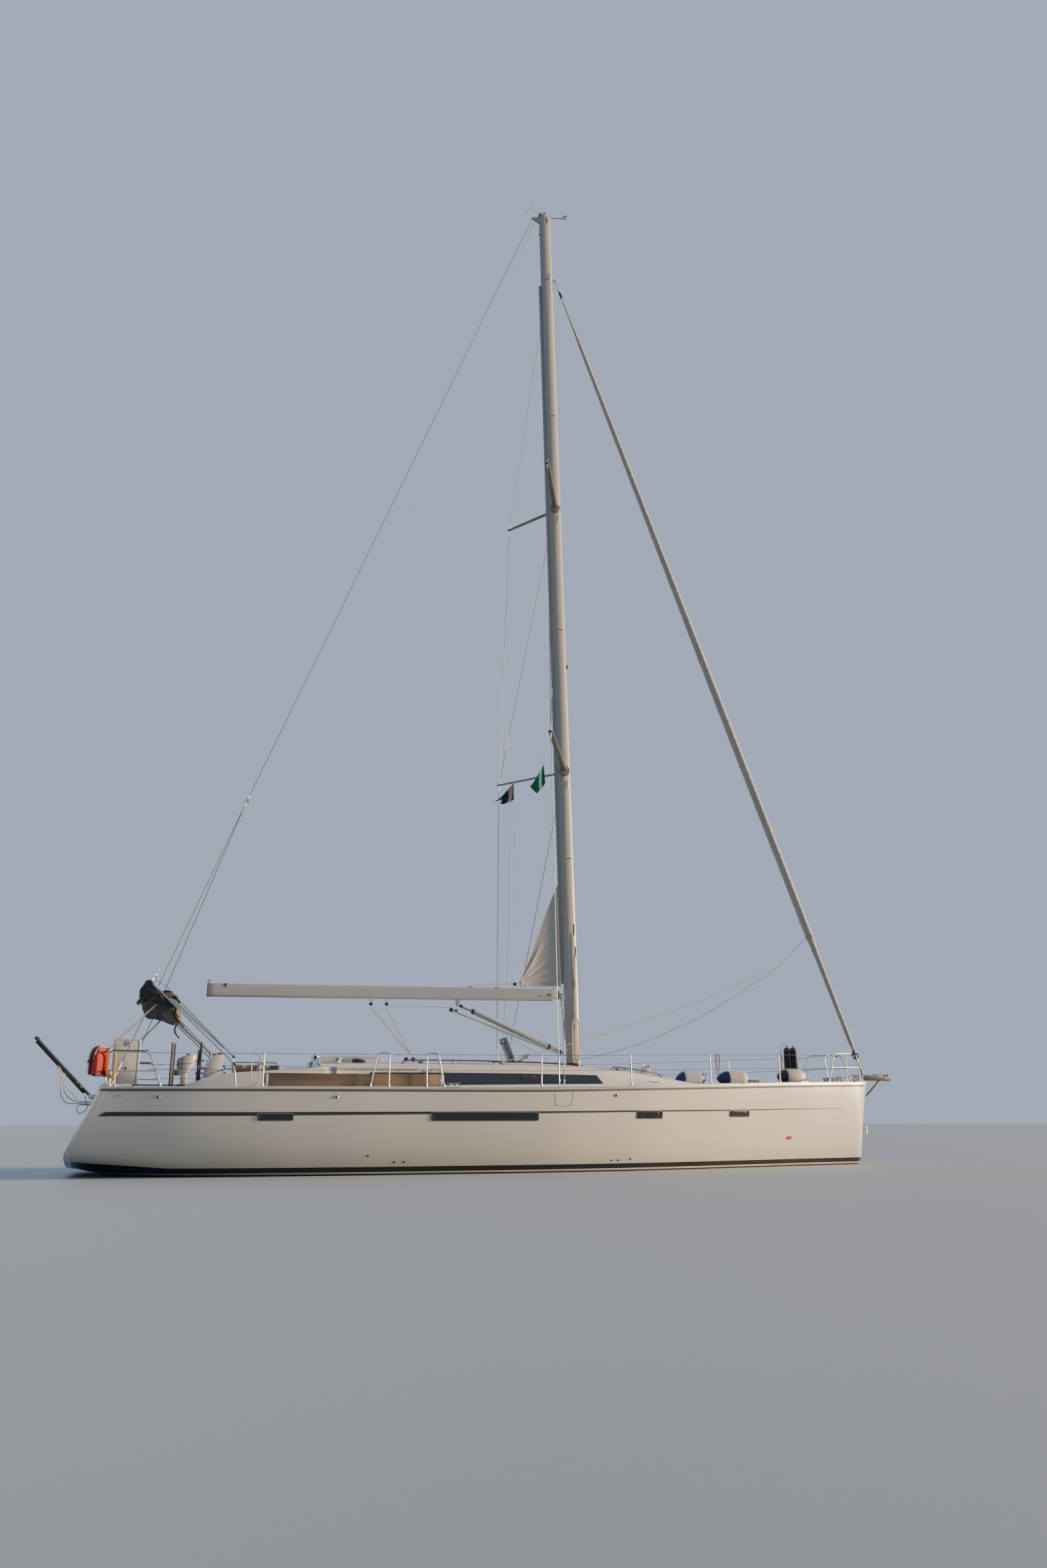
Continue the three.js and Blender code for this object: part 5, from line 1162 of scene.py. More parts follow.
def build_deck():
    piece = Piece("deck_shell", slot="deck").add(WHITE, copy_of("deck_moulding", 0.012, 3))
    cuts = [block((4.86, -0.26, 1.2), (5.38, 0.26, 2.2)), block((6.27, -0.21, 1.2), (6.89, 0.21, 2.2))]
    for side in SIDES.values():
        cover = skin(240, 6, lambda u, w: deck_point(mix(-7.57, 8.0, u), w, side), 0.003)
        piece.add(WHITE, without(cover, *[cut.copy() for cut in cuts]))
        for first, last in DECK_MATS:
            piece.add(NONSLIP, surface_panel(first, last, lambda x: deck_inner(x)
                + (0.09 if x > -3.95 else 0.12), lambda x: beam(x) - 0.14, side, deck_height, 0.006))
        for first, last, middle in ((4.45, 4.72, 0.08), (4.77, 5.48, 0.4),
                (5.54, 6.1, 0.06), (6.17, 6.98, 0.36)):
            piece.add(NONSLIP, surface_panel(first, last, lambda x: min(middle, beam(x) - 0.24),
                                             lambda x: beam(x) - 0.14, side, deck_height, 0.006))
    for cut in cuts:
        cut.free()
    piece.done("deck_moulding")


def deck_point(x, share, side):
    y = mix(deck_inner(x), beam(x) - min(0.055, beam(x) * 0.4), share)
    return Vector((x, side * y, deck_height(x, y) + 0.0045))


COCKPIT = {"aft": -7.05, "bench": -5.45, "fore": -3.95, "sole": 1.12, "seat": 1.5, "footwell": 0.52,
    "back": 1.4, "side": 1.69}


def build_cockpit():
    piece = Piece("cockpit_shell", slot="deck").add(WHITE, copy_of("cockpit_moulding", 0.016, 3))
    sole, seat = COCKPIT["sole"], COCKPIT["seat"]
    mats = [(-5.44, -3.98, -0.49, 0.49, sole), (-7.02, -5.95, -1.64, -0.5, sole),
        (-7.02, -5.95, 0.5, 1.64, sole), (-7.02, -5.48, -0.46, 0.46, sole), (-7.56, -7.09, -0.42, 0.42, sole),
        (-7.55, -7.08, -1.64, -0.5, seat), (-7.55, -7.08, 0.5, 1.64, seat), (-5.42, -4.0, 0.55, 1.36, seat),
        (-5.42, -4.0, -1.36, -0.55, seat)]
    for x0, x1, y0, y1, z in mats:
        piece.add(TEAK, slab(x0, x1, y0, y1, z + 0.0005, 0.007, 0.05))
    for side in SIDES.values():
        for x0, x1 in ((-5.36, -4.72), (-4.68, -4.04)):
            piece.add(WHITE, locker_front(x0, x1, side))
        piece.add(BLACK, block((-7.1, side * 2.1 - 0.008, 1.462), (-6.25, side * 2.1 + 0.008, 1.484), 0.004))
        piece.add(STEEL, *hand_hold([(-6.0, side * 1.44, 1.6), (-5.94, side * 1.44, 1.68),
            (-5.5, side * 1.44, 1.79), (-5.44, side * 1.44, 1.73)]))
        for x in (-5.25, -4.2):
            piece.add(STEEL, turned([(0, 0.0), (0.028, 0), (0.03, 0.004), (0.026, 0.007), (0, 0.004)],
                                    (x, side * 0.7, sole + 0.1), (x, side * 0.7, sole + 1.1), 16))
    piece.done("cockpit_moulding")


def locker_front(x0, x1, side):
    """Locker front moulded into the seat's riser."""
    y = side * (COCKPIT["footwell"] + 0.001)
    return plate(rounded_rect(x0, x1, 1.17, 1.44, 0.04), 0.006 * side, across_y(y), 0.0015)


def hand_hold(route, radius=0.0125):
    return [tube(rounded_route(route, 0.05), radius, 14)]


ROOF_BAND = {"low": [(-3.3, 1.54), (-1.73, 1.525), (1.486, 1.577)],
             "high": [(-3.05, 1.74), (-1.73, 1.75), (-0.14, 1.752), (1.358, 1.739)]}
ROOF_PANES = [(-2.95, -1.56, 1.575, 1.7), (-1.46, -0.3, 1.57, 1.705), (0.24, 1.2, 1.6, 1.7)]
PORTLIGHT = (-0.2, 0.14, 1.618, 1.7)


def build_roof_window(name, side):
    piece = Piece(f"roof_glass_{name}", slot="dark_glass")

    def place(u, w):
        low, high = mix(-3.3, 1.486, u), mix(-3.05, 1.358, u)
        z = mix(line_between(ROOF_BAND["low"], low, 1), line_between(ROOF_BAND["high"], high, 1), w)
        return roof_side(mix(low, high, w), z, side, 0.002)
    piece.add(GLASS, skin(120, 5, place, 0.006))
    for first, last, low, high in ROOF_PANES:
        shape = rounded_patch(first, last, level(low), level(high), 0.025)
        piece.add(DEEP_GLASS, skin(40, 4, lambda u, w: roof_side(*shape(u, w), side, 0.0068), 0.003))
    first, last, low, high = PORTLIGHT
    for grow, proud, finish in ((0, 0.009, BLACK), (-0.018, 0.0125, DEEP_GLASS)):
        shape = rounded_patch(first - grow, last + grow, level(low - grow),
            level(high + grow), 0.03 + grow * 0.6)
        piece.add(finish, skin(40, 6, lambda u, w: roof_side(*shape(u, w), side, proud), 0.006))
    for x in (-0.12, 0.06):
        piece.add(STEEL, rod(roof_side(x - 0.02, 1.703, side, 0.014),
            roof_side(x + 0.02, 1.703, side, 0.014), 0.006, 10))
    piece.done(f"coachroof_window_{name}")


HATCHES = {"saloon_hatch_aft": (0.03, -0.47, 0.26, 2.022, 68),
    "saloon_hatch_fore": (0.13, 0.43, 0.2, 2.014, 35), "fore_hatch": (5.42, 4.82, 0.3, 1.688, 0)}


def build_hatch(name, hinge_x, free, half, base, angle):
    """Alloy-framed acrylic lid at its rest angle, on a frame that stays with the deck."""
    reach = math.copysign(1, free - hinge_x)
    axis = base + 0.0123
    swing = Matrix.Translation((hinge_x, 0, axis)) @ Matrix.Rotation(math.radians(-reach * angle), 4, "Y")
    swing = swing @ Matrix.Translation((-hinge_x, 0, -axis))
    low, high = sorted((hinge_x, free))
    hinges = (-half * 0.6, half * 0.6)
    lid = Piece(f"{name}_lid", name, "dark_glass")
    body = plate(rounded_rect(low, high, -half, half, 0.06), 0.0235,
        Matrix.Translation((0, 0, base + 0.0005)), 0.005)
    gaps = [block((hinge_x - 0.022, y - 0.086, base),
        (hinge_x + 0.022, y + 0.086, base + 0.06)) for y in hinges]
    parts = [(GREY_ALLOY, without(body, *gaps))]
    for finish, edge, rise, thick, corner in (
        (GLASS, 0.035, 0.0215, 0.0045, 0.045),
        (WHITE, 0.05, -0.0025, 0.004, 0.04),
        (DEEP_GLASS, 0.08, -0.0045, 0.003, 0.03),
    ):
        parts.append((finish, slab(low + edge, high - edge, -half + edge, half - edge,
            base + rise, thick, corner)))
    for y in hinges:
        parts.append((BLACK, rod((hinge_x, y - 0.045, axis), (hinge_x, y + 0.045, axis), 0.012, 16)))
        x0, x1 = sorted((hinge_x, hinge_x + reach * 0.04))
        parts.append((BLACK, block((x0, y - 0.045, axis - 0.011), (x1, y + 0.045, axis + 0.012), 0.003)))
        grip = free - reach * 0.09
        parts.append((BLACK, turned([(0, -0.012), (0.018, -0.012), (0.02, 0), (0.02, 0.006), (0, 0.008)],
                                    (grip, y, base + 0.026), (grip, y, base + 1), 16)))
        parts.append((BLACK, block((grip - 0.05, y - 0.011, base - 0.03),
            (grip + 0.02, y + 0.011, base - 0.012), 0.005)))
        parts.append((BLACK, rod((grip, y, base - 0.02), (grip, y, base), 0.01, 12)))
    for finish, shape in parts:
        lid.add(finish, moved(shape, swing))
    lid.done(name)
    frame_piece = Piece(f"{name}_frame", slot="black")
    outer = slab(low - 0.03, high + 0.03, -half - 0.02, half + 0.02, base - 0.02, 0.0195, 0.07, 0.004)
    inner = slab(low + 0.037, high - 0.037, -half + 0.042, half - 0.042, base - 0.1, 0.2, 0.04, 0)
    frame_piece.add(GREY_ALLOY, without(outer, inner))
    seal = rounded_rect(low + 0.03, high - 0.03, -half + 0.034, half - 0.034, 0.045)
    route = [Vector((x, y, base - 0.006)) for x, y in [*seal, seal[0]]]
    frame_piece.add(BLACK, tube(route, 0.0045, 8))
    for y in hinges:
        for end in (-1, 1):
            y0, y1 = sorted((y + end * 0.0455, y + end * 0.077))
            frame_piece.add(BLACK, block((hinge_x - 0.012, y0, base - 0.003),
                (hinge_x + 0.012, y1, base + 0.026), 0.003))
    if name != "fore_hatch":
        stay_y = half - 0.03
        frame_piece.add(GREY_ALLOY, block((hinge_x + reach * 0.06, stay_y - 0.006, base - 0.028),
                                          (hinge_x + reach * 0.16, stay_y + 0.006, base - 0.016), 0.002))
    frame_piece.done()


def build_locker_lid():
    low, high, half, base = 6.23, 6.93, 0.25, 1.7
    lid = Piece("anchor_locker_cover", "locker_lid", "deck")
    lid.add(WHITE, slab(low, high, -half, half - 0.014, base + 0.0005, 0.0235, 0.05, 0.005),
        rod((low, half, base + 0.0123), (high, half, base + 0.0123), 0.012, 16),
        block((low + 0.01, half - 0.04, base + 0.001), (high - 0.01, half, base + 0.0235), 0.003))
    lid.add(NONSLIP, slab(low + 0.05, high - 0.05, -half + 0.05, half - 0.06, base + 0.0235, 0.003, 0.04))
    lid.add(STEEL, slab(6.53, 6.63, -0.215, -0.135, base + 0.0235, 0.004, 0.02),
            ring((6.58, -0.175, base + 0.028), UP, 0.024, 0.004, 24, 8))
    lid.done("anchor_locker_lid")


COMPANION = {"aft": -3.94, "fore": -3.2, "half": 0.37, "low": 2.0453, "thick": 0.026}


def build_companionway():
    low, thick, half = COMPANION["low"], COMPANION["thick"], COMPANION["half"]
    lid = Piece("companionway_slide", "companion_hatch", "dark_glass")
    lid.add(GLASS, slab(COMPANION["aft"], COMPANION["fore"], -half, half, low, thick, 0.03, 0.006))
    lid.add(GREY_ALLOY, slab(COMPANION["aft"] + 0.004, COMPANION["aft"] + 0.05, -half + 0.01, half - 0.01,
        low + thick, 0.012, 0.01, 0.004))
    lid.add(STEEL, *hand_hold([(-3.9, -0.12, low + 0.03), (-3.9, -0.11, low + 0.075),
        (-3.9, 0.11, low + 0.075), (-3.9, 0.12, low + 0.03)], 0.009))
    lid.done("companion_hatch")
    board = Piece("washboard_panel", slot="dark_glass")
    board.add(GLASS, block((-3.9415, -0.3295, 1.3005), (-3.9205, 0.3295, 2.0435), 0.004))
    for z in (1.55, 1.8):
        board.add(BLACK, block((-3.9435, -0.3295, z - 0.002), (-3.9185, 0.3295, z + 0.002), 0.0008))
    for i in range(5):
        z = 1.92 + i * 0.018
        board.add(BLACK, block((-3.9465, -0.09, z), (-3.941, 0.09, z + 0.009), 0.002))
    board.add(STEEL, turned([(0, 0), (0.022, 0), (0.022, 0.006), (0.012, 0.012), (0, 0.012)],
        (-3.9415, 0, 1.72), (-4.5, 0, 1.72), 20))
    board.done("washboard")


def build_roof_gear():
    piece = Piece("coachroof_fittings", slot="black")
    for side in SIDES.values():
        def on_roof(x, y, rise=0.0):
            return Vector((x, side * y, roof_height(x, y) + rise))
        for first, last, inset in ((-2.47, -0.5, 0.235), (1.75, 3.0, 0.3)):
            ends = roof_half(first) - inset, roof_half(last) - inset
            rail = [on_roof(first, ends[0], -0.02), on_roof(first + 0.07, ends[0], 0.06)]
            for x in (mix(first, last, share) for share in (0.3, 0.5, 0.7)):
                rail.append(on_roof(x, roof_half(x) - inset, 0.065))
            rail += [on_roof(last - 0.07, ends[1], 0.06), on_roof(last, ends[1], -0.02)]
            piece.add(DARK_TUBE, tube(rounded_route(rail, 0.08), 0.0125, 12))
            middle = mix(first, last, 0.5)
            leg = on_roof(middle, roof_half(middle) - inset)
            piece.add(DARK_TUBE, rod(leg - UP * 0.02, leg + UP * 0.064, 0.012, 12))
        cover = [on_roof(x, 0.52, 0.014) for x in (-0.5, 0, 0.5, 1.0, 1.28)]
        piece.add(BLACK, tube(smooth_route(cover, 24), 0.02, 10))
        for x in (-2.05, 1.95):
            y = roof_half(x) - 0.42
            piece.add(BLACK, turned([(0, -0.02), (0.055, -0.02), (0.055, 0.02), (0.045, 0.03), (0, 0.032)],
                                    on_roof(x, y), on_roof(x, y, 1), 24))
        add_clutches(piece, side)
        add_track(piece, side)
    piece.add(WHITE, block((2.56, -0.72, 1.8), (2.74, -0.54, 1.915), 0.025, 3),
        block((2.56, 0.54, 1.8), (2.74, 0.72, 1.915), 0.025, 3))
    for y in (-0.63, 0.63):
        piece.add(WHITE, turned([(0.05, -0.04), (0.05, 0.02), (0.058, 0.05), (0.064, 0.09), (0.05, 0.09),
            (0.04, 0.03), (0, 0.03)], (2.65, y, 1.9), (3.2, y, 2.05), 24))
    piece.add(WHITE, *[rod((1.33, y, 1.93), (1.33, y, 1.985), 0.03, 20) for y in (-0.33, 0.33)])
    piece.done()


def add_clutches(piece, side):
    """Bank of rope clutches ahead of the winch on the coachroof, with its levers."""
    for i in range(5):
        y0 = side * (0.98 + i * 0.052)
        x = -3.22
        z = roof_height(x, abs(y0))
        low, high = sorted((y0, y0 + side * 0.047))
        piece.add(BLACK, plate([(x - 0.1, z - 0.02), (x + 0.12, z - 0.02), (x + 0.11, z + 0.045),
            (x - 0.02, z + 0.07), (x - 0.1, z + 0.05)], high - low, across_y(high), 0.006))
        piece.add(ANODISED, block((x - 0.06, low + 0.008, z + 0.066),
            (x + 0.12, high - 0.008, z + 0.082), 0.006))


def add_track(piece, side):
    """Genoa track on the side deck with its car and block."""
    points = [(x, roof_half(x) + 0.12) for x in (-2.7, -2.0, -1.3, -0.6)]
    route = [Vector((x, side * y, deck_height(x, y) + 0.016)) for x, y in points]

    def rail(u, w):
        return mix(route[0], route[-1], u) + Vector((0, side * (w - 0.5) * 0.032, 0))
    piece.add(BLACK, skin(30, 2, rail, 0.012))
    car = mix(route[0], route[-1], 0.33)
    piece.add(DULL_STEEL, block(car + Vector((-0.07, -0.028, 0)), car + Vector((0.07, 0.028, 0.03)), 0.008))
    add_block(piece, car + Vector((0, 0, 0.075)), Vector((0, side, 0)), 0.038)


def add_block(piece, centre, axis, radius, cheek=None):
    """Pulley block: a sheave between two cheeks, with its pin."""
    axis = Vector(axis).normalized()
    piece.add(ANODISED, turned([(0, -0.006), (radius * 0.9, -0.006), (radius * 0.75, 0), (radius * 0.9, 0.006),
        (0, 0.006)], centre, Vector(centre) + axis, 20))
    for sign in (-1, 1):
        start = Vector(centre) + axis * sign * 0.008
        piece.add(cheek or BLACK, turned([(0, 0), (radius, 0), (radius * 0.96, 0.004), (radius * 0.4, 0.007),
            (0, 0.007)], start, start + axis * sign, 20))
    piece.add(STEEL, rod(Vector(centre) - axis * 0.018, Vector(centre) + axis * 0.018, 0.006, 10))


DEEP_GLASS = smoked_glass("deep_glass", (0.016, 0.018, 0.028))
DARK_TUBE = painted("dark_tube", (0.07, 0.07, 0.075), 0.35, 0.4)

build_deck()
build_roof()
build_cockpit()
for where, sign in SIDES.items():
    build_roof_window(where, sign)
for hatch, facts in HATCHES.items():
    build_hatch(hatch, *facts)
build_locker_lid()
build_companionway()
build_roof_gear()


# Rails, lifelines and the bimini's bows
RAIL_TUBE = 0.0125
WIRE_RISES = (0.275, 0.545)
STANCHIONS = [-4.996, -0.063, 1.745, 3.574, 5.393]
GATES = [(-3.175, -2.854), (-2.186, -1.874)]


def rail_foot(piece, point):
    """Cast base that a rail's foot is bolted to, with the heads of its screws."""
    piece.add(STEEL, turned([(0, 0.001), (0.034, 0.001), (0.034, 0.007), (0.021, 0.012), (0.0185, 0.05),
        (0.0135, 0.052), (0, 0.052)], point, Vector(point) + UP, 20))
    for x, y in ((-0.024, -0.014), (0.024, -0.014), (-0.024, 0.014), (0.024, 0.014)):
        spot = Vector(point) + Vector((x, y, 0.006))
        piece.add(STEEL, turned([(0, 0), (0.0045, 0), (0.004, 0.0025), (0, 0.003)], spot, spot + UP, 8))


def wire_end(piece, point, ahead, length=0.11):
    """Turnbuckle where a lifeline is made fast, with its split rings."""
    ahead = Vector(ahead).normalized()
    start = Vector(point)
    piece.add(STEEL, turned([(0, 0), (0.0065, 0.004), (0.0065, 0.02), (0.004, 0.024), (0.004, 0.036),
        (0.0085, 0.04), (0.0085, length * 0.8), (0.0045, length * 0.86), (0.0045, length), (0, length)], start,
        start + ahead, 12), ring(start + ahead * length * 0.5, ahead.cross(UP), 0.011, 0.0012, 16, 6))


def build_side_rails(name, side):
    def at(x, y, z):
        return Vector((x, side * y, z))
    pulpit = Piece(f"bow_rail_{name}", slot="steel")
    hoop = [rail_point(6.863, side), at(7.05, 0.56, 2.27), at(7.74, 0.3, 2.29), rail_point(7.86, side)]
    pulpit.add(STEEL, tube(rounded_route(hoop, 0.13, 9), RAIL_TUBE, 16),
        tube([at(6.955, 0.575, 1.975), at(7.38, 0.41, 1.99), at(7.798, 0.25, 2.0)], 0.0105, 14),
        tube([rail_point(7.42, side), at(7.4, 0.44, 2.27)], 0.0115, 14))
    for x in (6.863, 7.42, 7.86):
        rail_foot(pulpit, rail_point(x, side))
    for rise, x in ((0.275, 7.03), (0.545, 7.05)):
        pulpit.add(STEEL, ring(rail_point(x, side, rise) + Vector((-0.012, 0, 0)),
            FORWARD, 0.011, 0.003, 16, 8))
    lamp = at(7.66, 0.37, 2.245)
    pulpit.add(BLACK, turned([(0, 0), (0.022, 0), (0.026, 0.01), (0.026, 0.016),
        (0, 0.016)], lamp, lamp + UP, 20))
    pulpit.add(GREEN_LENS if side < 0 else RED_LENS,
        turned([(0.023, 0.016), (0.024, 0.05), (0, 0.05)], lamp, lamp + UP, 20))
    pulpit.add(BLACK, turned([(0, 0.05), (0.026, 0.05), (0.024, 0.062), (0, 0.066)], lamp, lamp + UP, 20))
    pulpit.done(f"pulpit_{name}")

    pushpit = Piece(f"stern_rail_{name}", slot="steel")
    rail = [rail_point(-6.646, side), at(-6.857, 2.12, 2.008), at(-7.518, 2.04, 2.011), at(-7.64, 1.56, 2.01),
            at(-7.53, 1.5, 1.5)]
    pushpit.add(STEEL, tube(rounded_route(rail, 0.11, 9), RAIL_TUBE, 16))
    middle = [at(-6.748, 2.14, 1.7), at(-7.5, 2.06, 1.702), at(-7.625, 1.555, 1.702)]
    pushpit.add(STEEL, tube(rounded_route(middle, 0.09, 9), 0.0105, 14),
        tube([rail_point(-7.367, side), at(-7.4, 2.052, 2.01)], RAIL_TUBE, 14))
    for foot in (rail_point(-6.646, side), rail_point(-7.367, side), at(-7.53, 1.5, 1.5)):
        rail_foot(pushpit, foot)
    pushpit.add(BLACK, tube([at(-6.87, 2.116, 2.0275), at(-7.45, 2.05, 2.0295)], 0.008, 10))
    pushpit.done(f"pushpit_{name}")

    lines = Piece(f"guard_rails_{name}", slot="steel")
    for x in STANCHIONS:
        foot, top = rail_point(x, side), rail_point(x, side, 0.555)
        lines.add(STEEL, tube([foot, mix(foot, top, 0.5), top - UP * 0.004], RAIL_TUBE, 16))
        rail_foot(lines, foot)
        lines.add(STEEL, ball(top - UP * 0.003, 0.0135, (1, 1, 0.7), 6))
        for rise in WIRE_RISES:
            eye = rail_point(x, side, rise)
            lines.add(BLACK, pin(eye, (0.016, 0, 0), 0.0075, 12))
    for aft, fore in GATES:
        foot, plumb, way = (aft, fore, 1) if aft == GATES[0][0] else (fore, aft, -1)
        hoop = [rail_point(foot, side), rail_point(foot + 0.022 * way, side, 0.1),
            rail_point(foot + 0.11 * way, side, 0.575),
            rail_point(plumb, side, 0.575), rail_point(plumb, side)]
        lines.add(STEEL, tube(rounded_route(hoop, 0.07, 9), RAIL_TUBE, 16))
        for x in (aft, fore):
            rail_foot(lines, rail_point(x, side))
        brace = [rail_point(foot + 0.06 * way, side, 0.3), rail_point(plumb, side, 0.3)]
        lines.add(STEEL, tube(brace, 0.009, 12))
    stops = [-6.86, -4.996, -2.854, -1.874, -0.063, 1.745, 3.574, 5.393, 7.06]
    for rise in WIRE_RISES:
        for a, b in zip(stops, stops[1:]):
            start, end = rail_point(a, side, rise), rail_point(b, side, rise)
            lines.add(WIRE, straight(start, end, 6, 0.004, 8))
        for x, ahead in ((-6.79, 1), (-3.19, -1), (-2.17, -1), (-1.86, 1), (6.93, -1)):
            start = rail_point(x, side, rise)
            wire_end(lines, start, rail_point(x + 0.2 * ahead, side, rise) - start)
        gate = [rail_point(-2.85, side, rise), rail_point(-2.06, side, rise)]
        hook = mix(gate[0], gate[1], 0.14)
        lines.add(STEEL,
            tube(rounded_route([hook, hook + Vector((0.03, 0, 0.012)), hook + Vector((0.075, 0, 0.01)),
            hook + Vector((0.08, 0, -0.004)), hook + Vector((0.02, 0, -0.006))], 0.01), 0.003, 8))
    lines.done(f"lifelines_{name}")


BOWS = {"base": (-5.415, 2.0), "knee": (-5.465, 2.0, 1.838), "fore": (-6.505, 1.9, 2.937),
    "aft": (-6.977, 1.9, 3.212), "pivot": (-5.488, 1.995, 1.954)}


def build_bimini_frame():
    piece = Piece("bimini_bows", slot="steel")

    def at(side, point):
        return Vector((point[0], side * point[1], point[2]))
    floor = deck_height(*BOWS["base"]) + 0.004
    base = (*BOWS["base"], floor)
    hoops = [([base, BOWS["knee"], BOWS["aft"]], RAIL_TUBE), ([BOWS["pivot"], BOWS["fore"]], RAIL_TUBE)]
    for share, radius in ((0.30, 0.011), (0.52, 0.011), (0.74, 0.011)):
        end = tuple(mix(a, b, share) for a, b in zip(BOWS["fore"], BOWS["aft"]))
        pivot = tuple(mix(a, b, 0.08 + share * 0.1) for a, b in zip(BOWS["pivot"], BOWS["aft"]))
        hoops.append(([(pivot[0], pivot[1] - 0.02, pivot[2]), (end[0], end[1] - 0.01, end[2] - 0.02)], radius))
    for points, radius in hoops:
        route = [at(-1, point) for point in points] + [at(1, point) for point in reversed(points)]
        piece.add(STEEL, tube(rounded_route(route, 0.17, 10), radius, 16))
    for side in SIDES.values():
        rail_foot(piece, at(side, base))
        piece.add(STEEL, tube([at(side, BOWS["pivot"]), at(side, (-5.48, 2.0, 1.85))], 0.008, 10))
        strut = [at(side, (-7.53, 2.04, 2.04)), at(side, (-6.7, 1.8, 2.96))]
        piece.add(STEEL, tube([strut[0], mix(*strut, 0.5), strut[1]], 0.0155, 14))
        for point, way in ((BOWS["knee"], (-0.55, 0, 0.8)), (BOWS["pivot"], (-0.7, 0, 0.7)),
                           ((-7.53, 2.04, 2.04), (0.6, 0, 0.7)), (BOWS["fore"], (-0.7, 0, 0.7))):
            middle = at(side, point)
            aim = Vector(way).normalized() * 0.03
            piece.add(BLACK, rod(middle - aim, middle + aim, 0.0175, 16))
            piece.add(STEEL, pin(middle, (0, 0.026, 0), 0.006, 10))
        strap = [at(side, (-6.45, 1.905, 2.88)), at(side, (-6.52, 1.905, 2.66)), at(side, (-6.42, 1.905, 2.5))]
        piece.add(BLACK_COVER, webbing(smooth_route(strap, 10), (0.035, 0, 0), 0.003))
    piece.done("bimini_frame")


# Spreaders are the mast's light alloy; this darker colour is painted shade of their undersides.
SPREADER_SHADE_PAINT = painted("spreader_painted_shade", (0.17, 0.165, 0.15), 0.34)
GREEN_LENS = smoked_glass("green_lens", (0.0, 0.10, 0.035))
RED_LENS = smoked_glass("red_lens", (0.14, 0.004, 0.004))

for where, sign in SIDES.items():
    build_side_rails(where, sign)
build_bimini_frame()


# Mast, spreaders and standing rigging
MAST = {"foot": (1.345, 1.962), "head": (0.867, 23.1), "chord": 0.293, "width": 0.15}
RAKE = math.atan2(MAST["foot"][0] - MAST["head"][0], MAST["head"][1] - MAST["foot"][1])
GOOSENECK = (1.095, 3.35)


def mast_x(z):
    return MAST["foot"][0] - (z - MAST["foot"][1]) * math.tan(RAKE)


def swing_x(z):
    """The line about which boom and vang swing."""
    return GOOSENECK[0] - (z - GOOSENECK[1]) * math.tan(RAKE)


def on_mast(x, y, z):
    """Point beside the mast's centreline at a height."""
    return Vector((mast_x(z) + x, y, z))


MAST_UP = Vector((-math.sin(RAKE), 0, math.cos(RAKE)))


def mast_section(share):
    """Outline of the mast's section: blunt ahead, narrower aft, with the slot for the sail."""
    angle = share * 2 * math.pi
    x = MAST["chord"] / 2 * math.copysign(abs(math.cos(angle)) ** 0.92, math.cos(angle))
    y = MAST["width"] / 2 * math.copysign(abs(math.sin(angle)) ** 0.86, math.sin(angle))
    if x < -0.115:
        y = math.copysign(max(abs(y), 0.014), y) if abs(y) > 1e-6 else 0.0
        if abs(y) < 0.0145:
            x = -0.122
    return x, y


def build_mast():
    low, high = MAST["foot"][1] + 0.008, MAST["head"][1]
    heights = [mix(low, high, i / 24) for i in range(25)]

    def place(u, w):
        z = heights[round(w * 24)]
        x, y = mast_section((u + 0.5) % 1)
        return Vector((mast_x(z) + x, y, z))
    body = swept(64, 24, place)
    piece = Piece("mast_tube", slot="alloy").add(MAST_PAINT, body)
    # Black strip on the floor of the sail slot: painted shade inside the slot.
    piece.add(BLACK, skin(2, 24, lambda u, w: on_mast(-0.124, (u - 0.5) * 0.022, mix(3.25, 20.6, w)), 0.002))
    for y in (-0.016, 0.016):
        piece.add(ANODISED, tube([on_mast(-0.133, y, z) for z in (2.35, 8, 14, 20.9)], 0.006, 8))
    sail_edge = [on_mast(-0.2, 0, z) for z in (5.7, 12, 20.2)]
    piece.add(PIPING, tube(sail_edge, 0.005, 8))
    foot = slab(1.16, 1.53, -0.15, 0.15, 1.9605, 0.0215, 0.03, 0.004)
    piece.add(GREY_ALLOY, foot)
    piece.add(BLACK, plate(arc(0.152, 0.082, 32, 16), 0.045,
        Matrix.Translation((mast_x(1.99), 0, 1.976)), 0.006))
    for x, y in ((1.19, -0.12), (1.19, 0.12), (1.5, -0.12), (1.5, 0.12), (1.345, -0.13), (1.345, 0.13)):
        piece.add(STEEL, turned([(0, 0), (0.014, 0), (0.014, 0.008), (0.009, 0.012), (0, 0.012)],
            (x, y, 1.982), (x, y, 3), 6))
    add_mast_gear(piece)
    add_masthead(piece)
    piece.done("mast", sharp=50)


